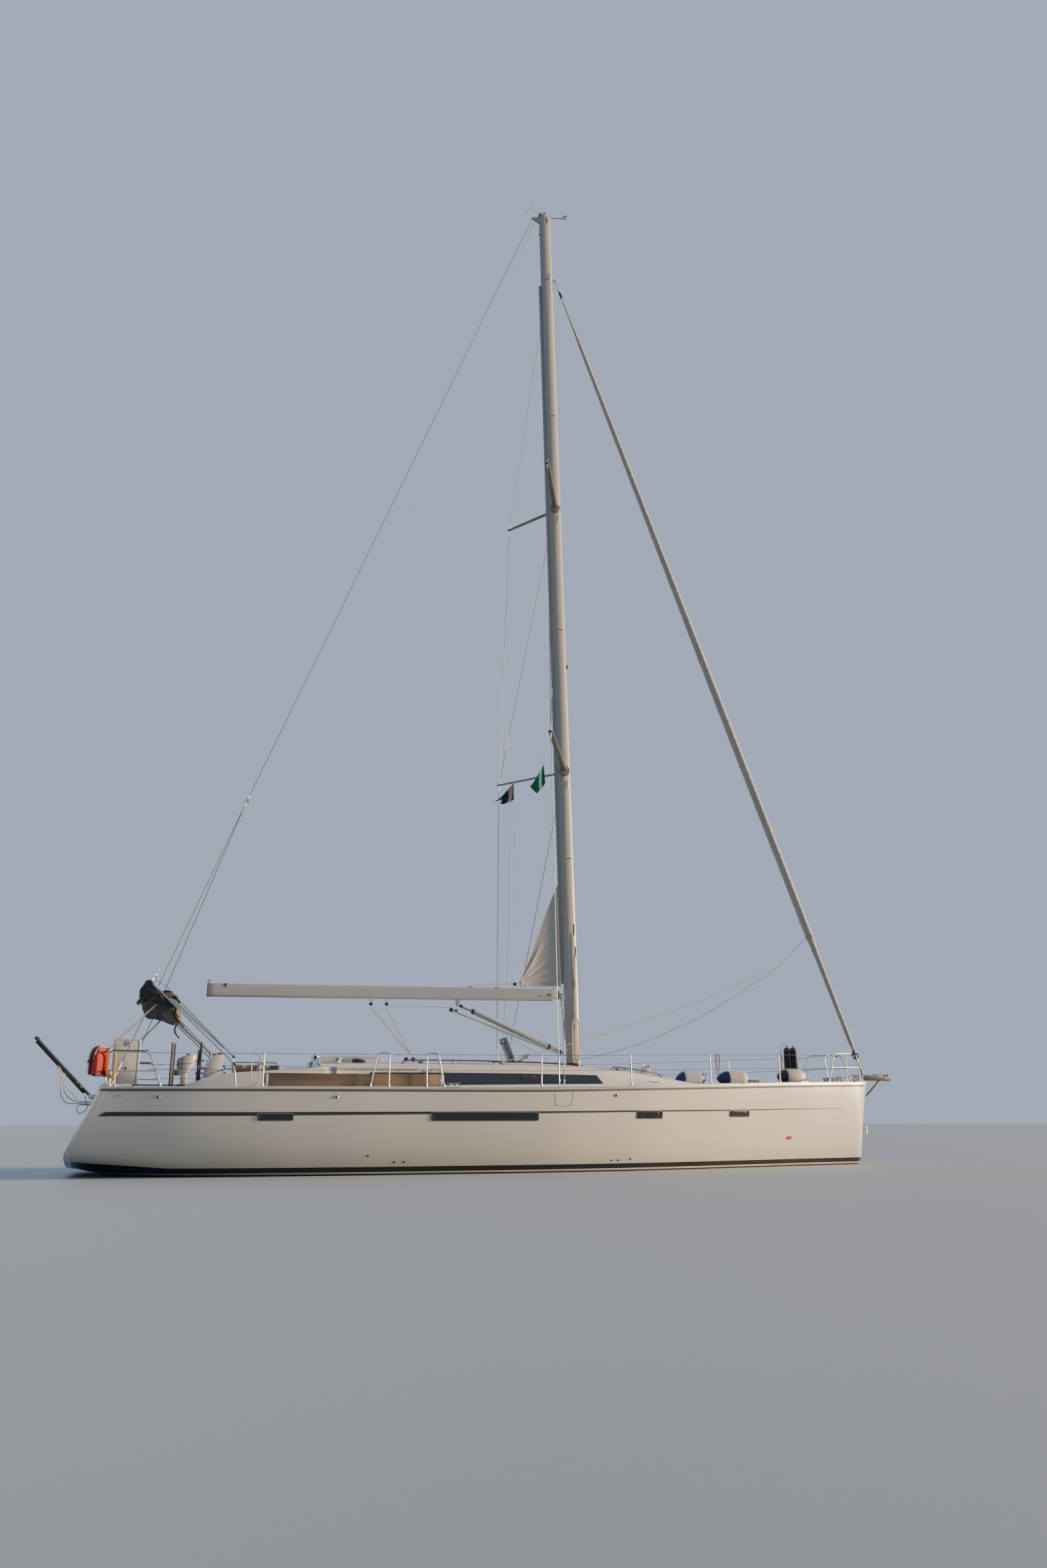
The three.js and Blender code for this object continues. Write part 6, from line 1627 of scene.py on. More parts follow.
def add_mast_gear(piece):
    swing = Matrix.Translation((GOOSENECK[0], 0, GOOSENECK[1])) @ Matrix.Rotation(-RAKE, 4, "Y")
    face = mast_x(GOOSENECK[1]) - GOOSENECK[0] - MAST["chord"] / 2
    for middle, half, thick in ((0, 0.06, 0.015), (-1.132, 0.022, 0.014)):
        for end in (-1, 1):
            low, high = sorted((middle + end * (half + 0.0003), middle + end * (half + thick)))
            jaw = block((-0.026, -0.03, low), (face + 0.02, 0.03, high), 0.005)
            piece.add(DULL_STEEL, moved(jaw, swing))
        track = block((face - 0.004, -0.034, middle - half - 0.07),
            (face + 0.03, 0.034, middle + half + 0.07), 0.008)
        piece.add(DULL_STEEL, moved(track, swing))
    for y in (-0.02, 0.006):
        cheek = block((0.0065, y, 0.27), (face + 0.02, y + 0.014, 17.6), 0.003)
        piece.add(TRACK_PAINT, moved(cheek, swing))
    for side in SIDES.values():
        for x, z, length, finish in ((0.05, 3.62, 0.17, BLACK), (0.02, 3.06, 0.2, DULL_STEEL),
                (0.085, 4.75, 0.24, BLACK), (0.1, 4.3, 0.2, BLACK)):
            y = side * (MAST["width"] / 2 * math.sqrt(max(1 - (x / 0.15) ** 2, 0.1)) + 0.001)
            shape = plate(rounded_rect(-0.018, 0.018, -length / 2, length / 2, 0.017), 0.006,
                          upright(on_mast(x, y, z)), 0.0015)
            piece.add(finish, shape)
        horn = on_mast(0.02, side * 0.075, 2.78)
        bar = [horn + Vector((0, side * 0.006, -0.1)), horn + Vector((0, side * 0.03, -0.06)),
            horn + Vector((0, side * 0.03, 0.06)), horn + Vector((0, side * 0.006 + side * 0.02, 0.1))]
        piece.add(ANODISED, tube(smooth_route(bar, 14), 0.009, 10),
            rod(horn, horn + Vector((0, side * 0.03, 0)), 0.014, 12))
        add_mast_sheave(piece, 8.4, side)
        add_mast_sheave(piece, 14.9, side)
        for z in (6.28, 11.6, 17.2):
            band = on_mast(0.03, side * 0.076, z)
            piece.add(BLACK, block(band - Vector((0.05, 0.002, 0.008)),
                band + Vector((0.06, 0.002, 0.008)), 0.002))
    lamp = on_mast(0.146, 0, 10.72)
    piece.add(BLACK, block(lamp - Vector((0.01, 0.03, 0.04)), lamp + Vector((0.04, 0.03, 0.05)), 0.012))
    piece.add(WHITE, ball(lamp + Vector((0.04, 0, 0.0)), 0.026, (1, 1, 1.2), 8))


def add_mast_sheave(piece, z, side):
    """Shackle and tang of a halyard on the mast's side."""
    spot = on_mast(0.055, side * 0.074, z - 0.45)
    piece.add(DULL_STEEL, block_at(spot, (0.02, 0.004, 0.075), 0.006))
    piece.add(STEEL, ring(spot + Vector((0, side * 0.012, -0.09)), FORWARD, 0.02, 0.006, 20, 8))


def add_masthead(piece):
    head = MAST["head"][1]
    top = head + 0.003
    piece.add(GREY_ALLOY, slab(0.7, 1.02, -0.055, 0.055, head + 0.002, 0.022, 0.03, 0.004))
    crane = [(0.522, 22.986), (mast_x(22.99) - 0.13, 22.86), (mast_x(22.99) - 0.1, 23.06), (0.53, 23.018)]
    for y in (-0.02, 0.014):
        piece.add(MAST_PAINT, plate(crane, 0.006, across_y(y + 0.006), 0.001))
    piece.add(MAST_PAINT, rod((0.548, -0.03, 22.995), (0.548, 0.03, 22.995), 0.012, 12),
        rod((0.656, -0.02, 22.93), (0.656, 0.02, 22.93), 0.02, 16))
    piece.add(WHITE, rod((0.86, -0.02, top), (0.86, -0.02, top + 0.045), 0.03, 20))
    piece.add(SMOKE_LENS, rod((0.86, -0.02, top + 0.045), (0.86, -0.02, top + 0.1), 0.028, 20))
    piece.add(BLACK, turned([(0, 0), (0.033, 0), (0.031, 0.016), (0, 0.024)],
        (0.86, -0.02, top + 0.1), (0.86, -0.02, 30), 20))
    whip = [(0.96, 0.04, top), (0.94, 0.04, top + 0.3), (0.905, 0.04, head + 0.6)]
    piece.add(BLACK, rod(whip[0], (0.958, 0.04, top + 0.07), 0.011, 12))
    piece.add(DULL_STEEL, tube(smooth_route(whip, 12), 0.0022, 6))
    vane = Vector((0.62, 0.0, head - 0.03))
    piece.add(DULL_STEEL, rod(vane, vane + UP * 0.16, 0.0025, 8))
    pivot = vane + UP * 0.16
    heading = Vector((0.58, 0.18, 0.0)).normalized()
    piece.add(BLACK, tube([pivot - heading * 0.17, pivot, pivot + heading * 0.17], 0.0035, 8))
    tail = pivot + heading * 0.16
    turn = Matrix.Rotation(math.atan2(heading.y, heading.x), 4, "Z")
    piece.add(BLACK, plate([(-0.06, 0.0), (0.03, 0.05), (0.05, 0.0), (0.03, -0.05)],
        0.003, upright(tail, turn)))
    for angle in (2.5, -2.5):
        arm = Matrix.Rotation(angle, 3, "Z") @ heading
        piece.add(DULL_STEEL, rod(pivot, pivot + arm * 0.22, 0.0018, 6))
        piece.add(BLACK, ball(pivot + arm * 0.22, 0.014, rings=6))
    sensor = [(1.0, 0, top + 0.01), (1.2, 0, head + 0.05), (1.39, 0, head + 0.1), (1.4, 0, head + 0.16)]
    piece.add(BLACK, tube(rounded_route(sensor, 0.03), 0.009, 10))
    hub = Vector((1.4, 0, head + 0.135))
    piece.add(BLACK, rod(hub - UP * 0.02, hub + UP * 0.05, 0.014, 14))
    for i in range(3):
        middle = hub - UP * 0.01
        cup = middle + spoke(i, 3, "Z", (0.055, 0, 0), 0.4)
        piece.add(BLACK, rod(middle, cup, 0.003, 6), ball(cup, 0.02, rings=6))
    piece.add(BLACK, rod(hub + UP * 0.03, hub + Vector((-0.05, 0, 0.05)), 0.003, 6),
        plate([(-0.05, 0.0), (0.035, 0.036), (0.055, 0.036), (0.04, -0.01)], 0.003,
        across_y(0.0015) @ Matrix.Translation((1.43, head + 0.18, 0))))
    for side in SIDES.values():
        for x, drop, length, lean in ((0.03, 0.14, 0.2, 0.1), (0.09, 0.14, 0.05, 0)):
            spot = on_mast(x, side * 0.0735, head - drop)
            shape = plate(rounded_rect(-0.011, 0.011, -length / 2, length / 2, 0.010), 0.003,
                          upright(spot) @ Matrix.Rotation(lean, 4, "Z"))
            piece.add(BLACK, shape)
        cap = on_mast(0.05, side * 0.073, 21.24)
        piece.add(DULL_STEEL, block_at(cap, (0.022, 0.005, 0.1), 0.008))
        piece.add(STEEL, rod(cap - UP * 0.06 - Vector((0, 0.012, 0)),
            cap - UP * 0.06 + Vector((0, 0.012, 0)), 0.014, 14))
    piece.add(BLACK, block(on_mast(0.135, -0.018, 22.0), on_mast(0.155, 0.018, 22.22), 0.006),
        block(on_mast(-0.165, -0.015, 22.5), on_mast(-0.13, 0.015, 22.57), 0.006))
    piece.add(DULL_STEEL, block((1.03, -0.014, 21.15), (1.16, 0.014, 21.23), 0.006))
    piece.add(BLACK, block(on_mast(0.13, -0.016, 20.86), on_mast(0.165, 0.016, 20.95), 0.006))


SPREADERS = {"lower": (8.24, (0.274, 1.985, 8.42), (0.15, 0.118), (0.044, 0.03)),
             "upper": (14.69, (0.39, 1.54, 14.88), (0.14, 0.11), (0.04, 0.028))}


def build_spreaders(name):
    """One foil through the mast, rounded fore and sharper aft, with a rubber boot on each tip."""
    root, tip, chord, thick = SPREADERS[name]

    def place(u, w):
        across = 2 * w - 1
        y = across * (tip[1] + 0.015)
        out = max((abs(y) - 0.07) / (tip[1] - 0.07), 0)
        middle = Vector((mix(mast_x(root), tip[0], out), y, mix(root, tip[2], out)))
        long, high = mix(chord[0], chord[1], out) / 2, mix(thick[0], thick[1], out) / 2
        angle = u * 2 * math.pi
        fall = 0.0 if math.cos(angle) > 0 else 0.25
        return middle + Vector((long * math.cos(angle), 0,
            high * math.sin(angle) * (1 + math.cos(angle) * fall)))
    foil = swept(28, 40, place)
    # The foils take the darker spreader colour, painted shade of their undersides.
    piece = Piece(f"spreader_foils_{name}", slot="alloy").add(SPREADER_SHADE_PAINT, foil)
    for side in SIDES.values():
        end = Vector((tip[0], side * tip[1], tip[2]))
        piece.add(BLACK, ball(end + Vector((0, side * 0.004, 0)), 0.034, (1.1, 0.8, 0.8), 8))
        piece.add(STEEL, rod(end - UP * 0.05, end + UP * 0.05, 0.012, 12))
        base = Vector((mast_x(root), side * 0.082, root + 0.001))
        piece.add(GREY_ALLOY, turned([(0, -0.02), (0.13, -0.02), (0.125, 0.0), (0.10, 0.03), (0, 0.03)], base,
            base + Vector((0, side, 0.03)), 24))
    piece.done(f"spreaders_{name}")


CHAINPLATES = {"cap": (0.313, 2.2), "lower": (0.403, 2.2)}
SHROUD_TOP = 21.2
STAY = 0.0065


def wire_terminal(piece, start, end, radius=STAY):
    """Swaged end on a wire, at its start."""
    ahead = (Vector(end) - Vector(start)).normalized()
    piece.add(STEEL, turned([(0, 0), (radius * 1.9, 0.004), (radius * 1.9, 0.09), (radius * 1.05, 0.13),
        (0, 0.13)], start, Vector(start) + ahead, 14))


def turnbuckle(piece, start, end, length=0.44, radius=0.0135):
    """Open-bodied screw between the chainplate and the wire, with its toggle."""
    start, ahead = Vector(start), (Vector(end) - Vector(start)).normalized()
    side = ahead.cross(Vector((1, 0, 0))).normalized()
    spot = lambda t: start + ahead * length * t
    piece.add(STEEL, rod(spot(0), spot(0.12), radius * 0.9, 12),
        rod(spot(0.1) - side * 0.02, spot(0.1) + side * 0.02, 0.008, 12),
        rod(spot(0.1), spot(0.3), radius * 0.55, 12), rod(spot(0.7), spot(0.95), radius * 0.55, 12),
        rod(spot(0.28), spot(0.36), radius * 1.15, 14), rod(spot(0.66), spot(0.74), radius * 1.15, 14))
    for sign in (-1, 1):
        piece.add(STEEL, tube([spot(0.3) + side * sign * radius * 0.85,
            spot(0.72) + side * sign * radius * 0.85], radius * 0.36, 8))
    piece.add(STEEL, turned([(0, 0), (radius * 0.8, 0), (radius * 0.8, 0.1), (STAY, 0.14),
        (0, 0.14)], spot(0.9), spot(2), 14))


def build_shrouds(name, side):
    piece = Piece(f"shroud_wires_{name}", slot="steel")

    def at(x, y, z):
        return Vector((x, side * y, z))
    deck = deck_height(0.36, 2.2)
    lower, upper = SPREADERS["lower"], SPREADERS["upper"]
    under = [(at(*CHAINPLATES["cap"], deck), at(*lower[1])),
             (at(*CHAINPLATES["lower"], deck), at(mast_x(lower[0] - 0.09), 0.07, lower[0] - 0.09))]
    wires = [*under, (at(*lower[1]), at(*upper[1])),
        (at(*upper[1]), at(mast_x(SHROUD_TOP) + 0.05, 0.07, SHROUD_TOP)),
        (at(*lower[1]), at(mast_x(upper[0] - 0.09), 0.07, upper[0] - 0.09))]
    for start, end in wires:
        piece.add(WIRE, straight(start, end, 12, STAY, 8))
        wire_terminal(piece, end, start)
        if (start, end) not in under:
            wire_terminal(piece, start, end)
    for start, end in under:
        turnbuckle(piece, start, end)
        cover = [mix(start, end, 0.07), mix(start, end, 0.135)]
        piece.add(WHITE, rod(*cover, 0.011, 12))
    ends = wires[4]
    piece.add(STEEL, rod(mix(*ends, 0.13), mix(*ends, 0.175), 0.014, 12))
    low = sorted((side * 2.165, side * 2.235))
    piece.add(STEEL, slab(0.27, 0.446, low[0], low[1], deck + 0.006, 0.008, 0.02, 0.002))
    for x in (CHAINPLATES["cap"][0], CHAINPLATES["lower"][0]):
        piece.add(STEEL, block((x - 0.004, side * 2.2 - 0.02, deck),
            (x + 0.004, side * 2.2 + 0.02, deck + 0.06), 0.003))
    piece.done(f"shrouds_{name}")


BACKSTAY = {"top": (0.546, 0, 22.99), "split": (-5.496, 0, 7.045), "foot": (-7.45, 1.955)}


def build_backstay():
    piece = Piece("backstay_wires", slot="steel")
    top, split = Vector(BACKSTAY["top"]), Vector(BACKSTAY["split"])
    piece.add(WIRE, straight(split, top, 20, STAY, 8))
    wire_terminal(piece, top, split)
    wire_terminal(piece, split, top)
    for side in SIDES.values():
        x, y = BACKSTAY["foot"]
        foot = Vector((x, side * y, deck_height(x, y)))
        piece.add(WIRE, straight(foot, split, 12, STAY, 8))
        wire_terminal(piece, split, foot)
        turnbuckle(piece, foot, split, 0.4)
        piece.add(STEEL, slab(x - 0.05, x + 0.05, side * y - 0.035, side * y + 0.035,
            foot.z + 0.004, 0.007, 0.02, 0.002))
    for y in (-0.022, 0.014):
        piece.add(STEEL, plate([(-0.05, -0.05), (0.05, -0.05), (0.03, 0.06), (-0.01, 0.06)], 0.008,
                               upright((split.x, y + 0.008, split.z)), 0.002))
    piece.done("backstay")


TRACK_PAINT = painted("track_paint", (0.30, 0.31, 0.33), 0.45, 0.3)
SMOKE_LENS = smoked_glass("smoke_lens", (0.25, 0.25, 0.24))
build_mast()
for tier in SPREADERS:
    build_spreaders(tier)
for where, sign in SIDES.items():
    build_shrouds(where, sign)
build_backstay()


# Boom, vang, mainsheet and the corner of the mainsail
BOOM = {"fore": (1.006, 3.388), "aft": (-5.99, 3.286), "half": 0.08, "high": 0.125}


def boom_point(x, y=0.0, z=0.0):
    share = (BOOM["fore"][0] - x) / (BOOM["fore"][0] - BOOM["aft"][0])
    return Vector((x, y, mix(BOOM["fore"][1], BOOM["aft"][1], share) + z))


def boom_side(u, half, high):
    """Point of the boom's section: flat sides that lean in a little below."""
    angle = u * 2 * math.pi
    y = math.copysign(abs(math.cos(angle)) ** 0.4, math.cos(angle))
    z = math.copysign(abs(math.sin(angle)) ** 0.4, math.sin(angle))
    return y * half * (1 - 0.14 * (1 - z) / 2), z * high


def boom_sleeve(first, last, cut):
    stops = [first, first + (last - first) * 0.02,
        *[mix(first, last, i / 12) for i in range(1, 12)], last - 0.15, last]

    def place(u, w):
        y, z = boom_side(u, BOOM["half"], BOOM["high"])
        x = stops[round(w * 14)]
        return boom_point(x - (cut * max(-z - 0.05, 0) if x == last else 0), y, z)
    shape = swept(48, 14, place)
    return rounded_edges(shape, 0.006, 2, 40)


def build_boom():
    piece = Piece("boom_tube", "boom", "white_alloy")
    piece.add(BOOM_PAINT, boom_sleeve(-5.985, 1.0, 1.3))
    piece.add(BLACK, block(boom_point(-5.66, -0.0815, 0.055), boom_point(-5.63, 0.0815, 0.1265), 0.004))
    for y in (-1, 1):
        for x in (-5.93, -5.72, 0.9, 0.72):
            spot = boom_point(x, y * 0.0755, -0.06)
            piece.add(STEEL, turned([(0, 0), (0.006, 0), (0.005, 0.003), (0, 0.003)], spot,
                spot + Vector((0, y, 0)), 8))
    piece.add(BLACK, skin(60, 1, lambda u, w: boom_point(mix(-5.5, 0.98, u), (w - 0.5) * 0.03, 0.1262), 0.003))
    for x in (0.06, 0.93):
        piece.add(WHITE, block(boom_point(x - 0.02, -0.018, 0.12), boom_point(x + 0.02, 0.018, 0.15), 0.006))
    for x in (-0.35, -0.9):
        piece.add(BLACK, block(boom_point(x, -0.02, 0.12), boom_point(x + 0.09, 0.02, 0.14), 0.006))
    piece.add(BLACK, block((0.99, -0.05, 3.3), (1.045, 0.05, 3.475), 0.012))
    piece.add(DULL_STEEL, rod((GOOSENECK[0] - 0.07, 0, 3.388), (GOOSENECK[0], 0, 3.37), 0.026, 20),
        pin((GOOSENECK[0], 0, GOOSENECK[1]), MAST_UP * 0.0595, 0.026, 24),
        plate([(-1.16, 3.26), (-1.14, 3.12), (-1.1, 3.1), (-1.06, 3.12), (-1.04, 3.26)],
        0.04, across_y(0.02), 0.004))
    for x in (-2.85, -2.54):
        piece.add(STEEL,
            tube(rounded_route([boom_point(x - 0.05, 0, -0.12), boom_point(x - 0.03, 0, -0.17),
            boom_point(x + 0.03, 0, -0.17), boom_point(x + 0.05, 0, -0.12)], 0.03), 0.006, 10))
        add_block(piece, boom_point(x, 0, -0.225), (0, 1, 0.1), 0.036)
    piece.add(STEEL, ring(boom_point(-5.96, 0, 0.15), PORT, 0.022, 0.006, 20, 8))
    add_block(piece, (-1.23, 0, 3.03), PORT, 0.045)
    add_block(piece, (-1.13, 0.0, 3.02), PORT, 0.03)
    piece.add(STEEL, ring(boom_point(0.66, -0.079, -0.02), PORT, 0.014, 0.004, 16, 8))
    for i in range(5):
        hub = boom_point(0.83, -0.081, -0.01)
        piece.add(BLACK, rod(hub, hub + spoke(i, 5, "Y", (0, 0, 0.03)), 0.005, 8))
    piece.done("boom")


def build_vang():
    low, high = Vector((swing_x(2.218), 0, 2.218)), Vector((-1.1, 0, 3.14))
    piece = Piece("vang_tube", "boom", "white_alloy")
    ahead = (high - low).normalized()
    length = (high - low).length
    profile = [(0, 0.035), (0.03, 0.035), (0.036, 0.06), (0.038, 0.3), (0.051, 0.32), (0.053, 1.0),
        (0.053, length - 0.34), (0.05, length - 0.33), (0.03, length - 0.32), (0.03, length - 0.08),
        (0.024, length - 0.06), (0.024, length), (0, length)]
    piece.add(BOOM_PAINT, turned(profile, low, high, 32))
    for start, thick, radius in ((0.315, 0.035, 0.0545), (length - 0.36, 0.04, 0.055), (0.06, 0.03, 0.038),
            (length - 0.1, 0.05, 0.033)):
        piece.add(BLACK, rod(low + ahead * start, low + ahead * (start + thick), radius, 28))
    shoe = [(-0.03, 0.02), (-0.03, -0.02), (0.02, -0.02), (0.09, -0.018), (0.09, 0.018), (0.02, 0.02)]
    turn = Matrix.Rotation(-math.atan2(ahead.z, ahead.x), 4, "Y")
    piece.add(DULL_STEEL, plate(shoe, 0.036, upright(low + Vector((0, 0.018, 0)), turn), 0.004))
    for spot in (low, high):
        piece.add(STEEL, pin(spot, (0, 0.032, 0), 0.009, 14))
    start, finish = low + Vector((-0.1, 0, -0.02)), Vector((-1.16, 0, 3.0))
    for y in (-0.036, -0.014, 0.012, 0.034):
        route = [start + Vector((0, y * 0.7, 0)), mix(start, finish, 0.5) + Vector((0, y, 0.03 - abs(y))),
            finish + Vector((0, y * 0.6, 0))]
        piece.add(CREAM_ROPE, tube(smooth_route(route, 24), 0.0045, 8))
    add_block(piece, start + Vector((0.02, 0.0, 0.0)), PORT, 0.03)
    piece.done("vang")


def build_mainsail_corner():
    """Corner of the mainsail that stays out of the mast, with folds that fan out from its clew."""
    clew = Vector((0.2, 0, 3.6))
    top = 5.684

    def place(u, w):
        z = mix(3.553 + 0.02 * u, top, w)
        leech = Vector((mix(0.2, swing_x(top) - 0.012, w), 0, 0)).x - 0.03 * math.sin(math.pi * w)
        x = mix(leech, swing_x(z) - 0.004, u)
        if w < 0.03:
            x += (1 - u) * (0.012 if w == 0 else 0.0)
        reach = math.hypot(x - clew.x, z - clew.z)
        angle = math.atan2(z - clew.z, max(x - clew.x, 0.001))
        fan = 0.55 * math.sin(angle * 23) + 0.45 * math.sin(angle * 11 + 1.1) + 0.3 * math.sin(angle * 41)
        swell = min(reach / 0.15, 1) * (0.35 + 0.65 * math.exp(-reach / 0.55))
        along = math.sin((x - leech) * 34 + 0.6) * math.exp(-(x - leech) / 0.13) * min(w * 5, 1) * 0.7
        held = 1 - u**5
        belly = 0.03 * math.sin(math.pi * u) * (1 - w)
        return Vector((x, (0.013 * fan * swell + 0.010 * along + belly) * held * (1 - w**6), z))
    sail = Piece("mainsail_corner", "boom", "sailcloth").add(SAILCLOTH,
        skin(96, 110, place, 0.0018)).done("mainsail_clew")
    edge = [place(0, i / 40) for i in range(1, 41)]
    board = Piece("clew_board", "boom", "sailcloth")
    board.add(PIPING, tube(edge, 0.0045, 8), tube([place(i / 30, 0) for i in range(31)], 0.0045, 8),
        tube([Vector((swing_x(z), 0, z)) for z in (3.57, 4.3, 5.0, 5.68)], 0.006, 10))
    board.add(WHITE_LIP, plate(arc(0.045, 0.066, 24, 12, 0.012), 0.022,
        across_y(0.011) @ Matrix.Translation((0.226, 3.627, 0)), 0.004))
    for x, z in ((0.215, 3.655), (0.225, 3.62), (0.25, 3.6), (0.25, 3.65)):
        board.add(BLACK, rod((x, -0.0125, z), (x, 0.0125, z), 0.011, 16))
        board.add(STEEL, ring((x, -0.012, z), PORT, 0.0125, 0.002, 20, 6))
    add_block(board, (0.095, 0, 3.585), PORT, 0.038)
    board.add(STEEL,
        tube(rounded_route([(0.225, -0.016, 3.62), (0.16, -0.016, 3.6), (0.11, 0, 3.59)], 0.02), 0.005, 8))
    made = board.done()
    rope = [Vector((0.06, 0.0, 3.59)), Vector((-0.4, 0, 3.565)), boom_point(-0.86, 0, 0.15)]
    lines = Piece("outhaul_rope", "boom").add(CREAM_ROPE, tube(rope, 0.0055, 8))
    lines.add(CREAM_ROPE, tube([Vector((0.09, 0, 3.547)), Vector((0.5, 0, 3.55)),
        Vector((0.93, 0, 3.545))], 0.005, 8))
    lines.done()


def build_mainsheet():
    """Sheet from the boom's blocks to those on the coachroof, and on along the boom to the mast's foot."""
    boom_blocks = [Vector((-2.85, 0, 3.06)), Vector((-2.54, 0, 3.06))]
    low = Vector((-2.04, 0, 2.13))
    piece = Piece("mainsheet", None)
    for high in boom_blocks:
        for y in (-0.02, 0.02):
            part = [high + Vector((0, y, -0.02)), mix(high, low, 0.5) + Vector((0, y, 0)),
                low + Vector((0, y, 0.02))]
            piece.add(ROPE, tube(part, 0.006, 8))
    made = piece.done()
    mix(*boom_blocks, 0.5)
    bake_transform(made)
    gear = Piece("mainsheet_blocks")
    for x in (-2.12, -1.98):
        gear.add(STEEL, block((x - 0.04, -0.03, roof_height(x, 0) - 0.01),
            (x + 0.04, 0.03, roof_height(x, 0) + 0.014), 0.005))
        add_block(gear, (x, 0, roof_height(x, 0) + 0.062), PORT, 0.042)
    gear.done()
    tail = Piece("mainsheet_tail", None)
    run = [Vector((-2.5, 0, 3.06)), Vector((-1.9, 0, 3.085)), Vector((-1.26, 0, 3.075))]
    down = [Vector((-1.2, 0, 3.0)), Vector((-0.3, -0.01, 2.66)), Vector((0.82, -0.02, 2.07))]
    tail.add(ROPE, tube(smooth_route(run, 16), 0.006, 8), tube(smooth_route(down, 24), 0.006, 8))
    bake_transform(tail.done())


SAILCLOTH = cloth("mainsail_cloth", (0.50, 0.49, 0.45), 700, 0.7, 0.15, 0.1)
sail_x, sail_z = SAILCLOTH.axis("X") - 0.2, SAILCLOTH.axis("Z") - 3.6
from_clew = (sail_x * sail_x + sail_z * sail_z) ** 0.5
seams = from_clew.between(0.115, 0.12) + from_clew.between(0.135, 0.14) + from_clew.between(0.21, 0.215)
panel = (sail_z - sail_x * 0.35).wave(0.62).above(0.9985)
SAILCLOTH.bump(seams + panel, 0.0006, 0.5)
build_boom()
build_vang()
build_mainsail_corner()
build_mainsheet()


# Forestay, rolled headsail and furling drum
FORESTAY = {"foot": (8.07, 0, 1.85), "top": (1.135, 0, 21.19)}
STAY_FOOT, STAY_TOP = Vector(FORESTAY["foot"]), Vector(FORESTAY["top"])
STAY_UP = (STAY_TOP - STAY_FOOT).normalized()
STAY_SIDE = STAY_UP.cross(PORT).normalized()
ROLL = [(0.5623, 0.026), (0.73, 0.048), (1.46, 0.052), (2.86, 0.066), (3.26, 0.088), (8.06, 0.092),
    (13.06, 0.074), (18.36, 0.046), (19.46, 0.022), (20.26, 0.018)]


def on_stay(along, angle=0.0, radius=0.0):
    """Point at a distance along the forestay; the angle starts ahead and turns to port."""
    return STAY_FOOT + STAY_UP * along + (STAY_SIDE * math.cos(angle) + PORT * math.sin(angle)) * radius


def build_forestay():
    piece = Piece("forestay_wire", slot="steel")
    piece.add(WIRE, rod(STAY_FOOT, on_stay(0.56), STAY, 12), rod(on_stay(20.2), STAY_TOP, STAY, 12))
    piece.add(STEEL, turned([(0, 0), (0.012, 0), (0.012, 0.1), (0.017, 0.11), (0.017, 0.3), (0.03, 0.32),
        (0.034, 0.36), (0, 0.3715)], STAY_FOOT, STAY_TOP, 24), pin(STAY_FOOT, (0, 0.03, 0), 0.012, 16))
    for y in (-0.02, 0.014):
        cheek = [(-0.03, -0.05), (0.03, -0.05), (0.02, 0.14), (-0.02, 0.14)]
        place = upright(STAY_FOOT + Vector((0, y + 0.006, 0)), Matrix.Rotation(-0.344, 4, "Y"))
        piece.add(STEEL, plate(cheek, 0.006, place, 0.002))
    piece.add(STEEL, rod(on_stay(20.3), on_stay(20.46), 0.011, 14))
    piece.add(BLACK, rod(on_stay(20.05), on_stay(20.2), 0.03, 18))
    piece.done("forestay")


def roll_radius(along):
    return line_through(ROLL)(along)


def build_headsail_roll():
    first, last = ROLL[0][0], ROLL[-1][0]
    rows = 900

    def place(u, w):
        along = mix(first, last, w)
        angle = u * 2 * math.pi
        base = roll_radius(along)
        turn = angle - along * 9.5
        lip = ((turn / (2 * math.pi)) % 1) ** 3
        crease = math.sin(angle * 3 + along * 31) * math.sin(along * 7.3 + 2 * math.cos(angle))
        crease += 0.6 * math.sin(angle * 5 - along * 53)
        big = 1 if base > 0.03 else 0.2
        return on_stay(along, angle, base * (0.955 + 0.05 * lip) + 0.0016 * crease * big)
    piece = Piece("rolled_sail", "headsail_furler", "genoa")
    roll = swept(40, rows, place)
    piece.add(GENOA, roll)
    tip = Vector((6.665, 0, 5.2))

    def flap(u, w):
        along = mix(3.0, 3.75, w)
        base = on_stay(along, math.pi - 0.9 + 0.5 * u, roll_radius(along) + 0.004)
        pull = math.exp(-((w - 0.62) / 0.16) ** 2) * u
        return mix(base, tip, 0.75 * pull) + Vector((0, -0.012 * math.sin(u * 9 + w * 14) * u, 0))
    piece.add(SAIL_PATCH, skin(16, 40, flap, 0.003))
    for along in (3.16, 3.2, 2.86):
        coil = [on_stay(along + 0.012 * i / 24, i / 24 * 2 * math.pi,
            roll_radius(along) + 0.009) for i in range(25)]
        piece.add(CREAM_ROPE, tube(coil, 0.008, 8))
    for along, angle in ((3.19, -0.5), (2.87, -0.4)):
        piece.add(CREAM_ROPE, ball(on_stay(along, angle, roll_radius(along) + 0.012), 0.026, (1, 0.8, 1.1), 8))
    piece.done("rolled_headsail")


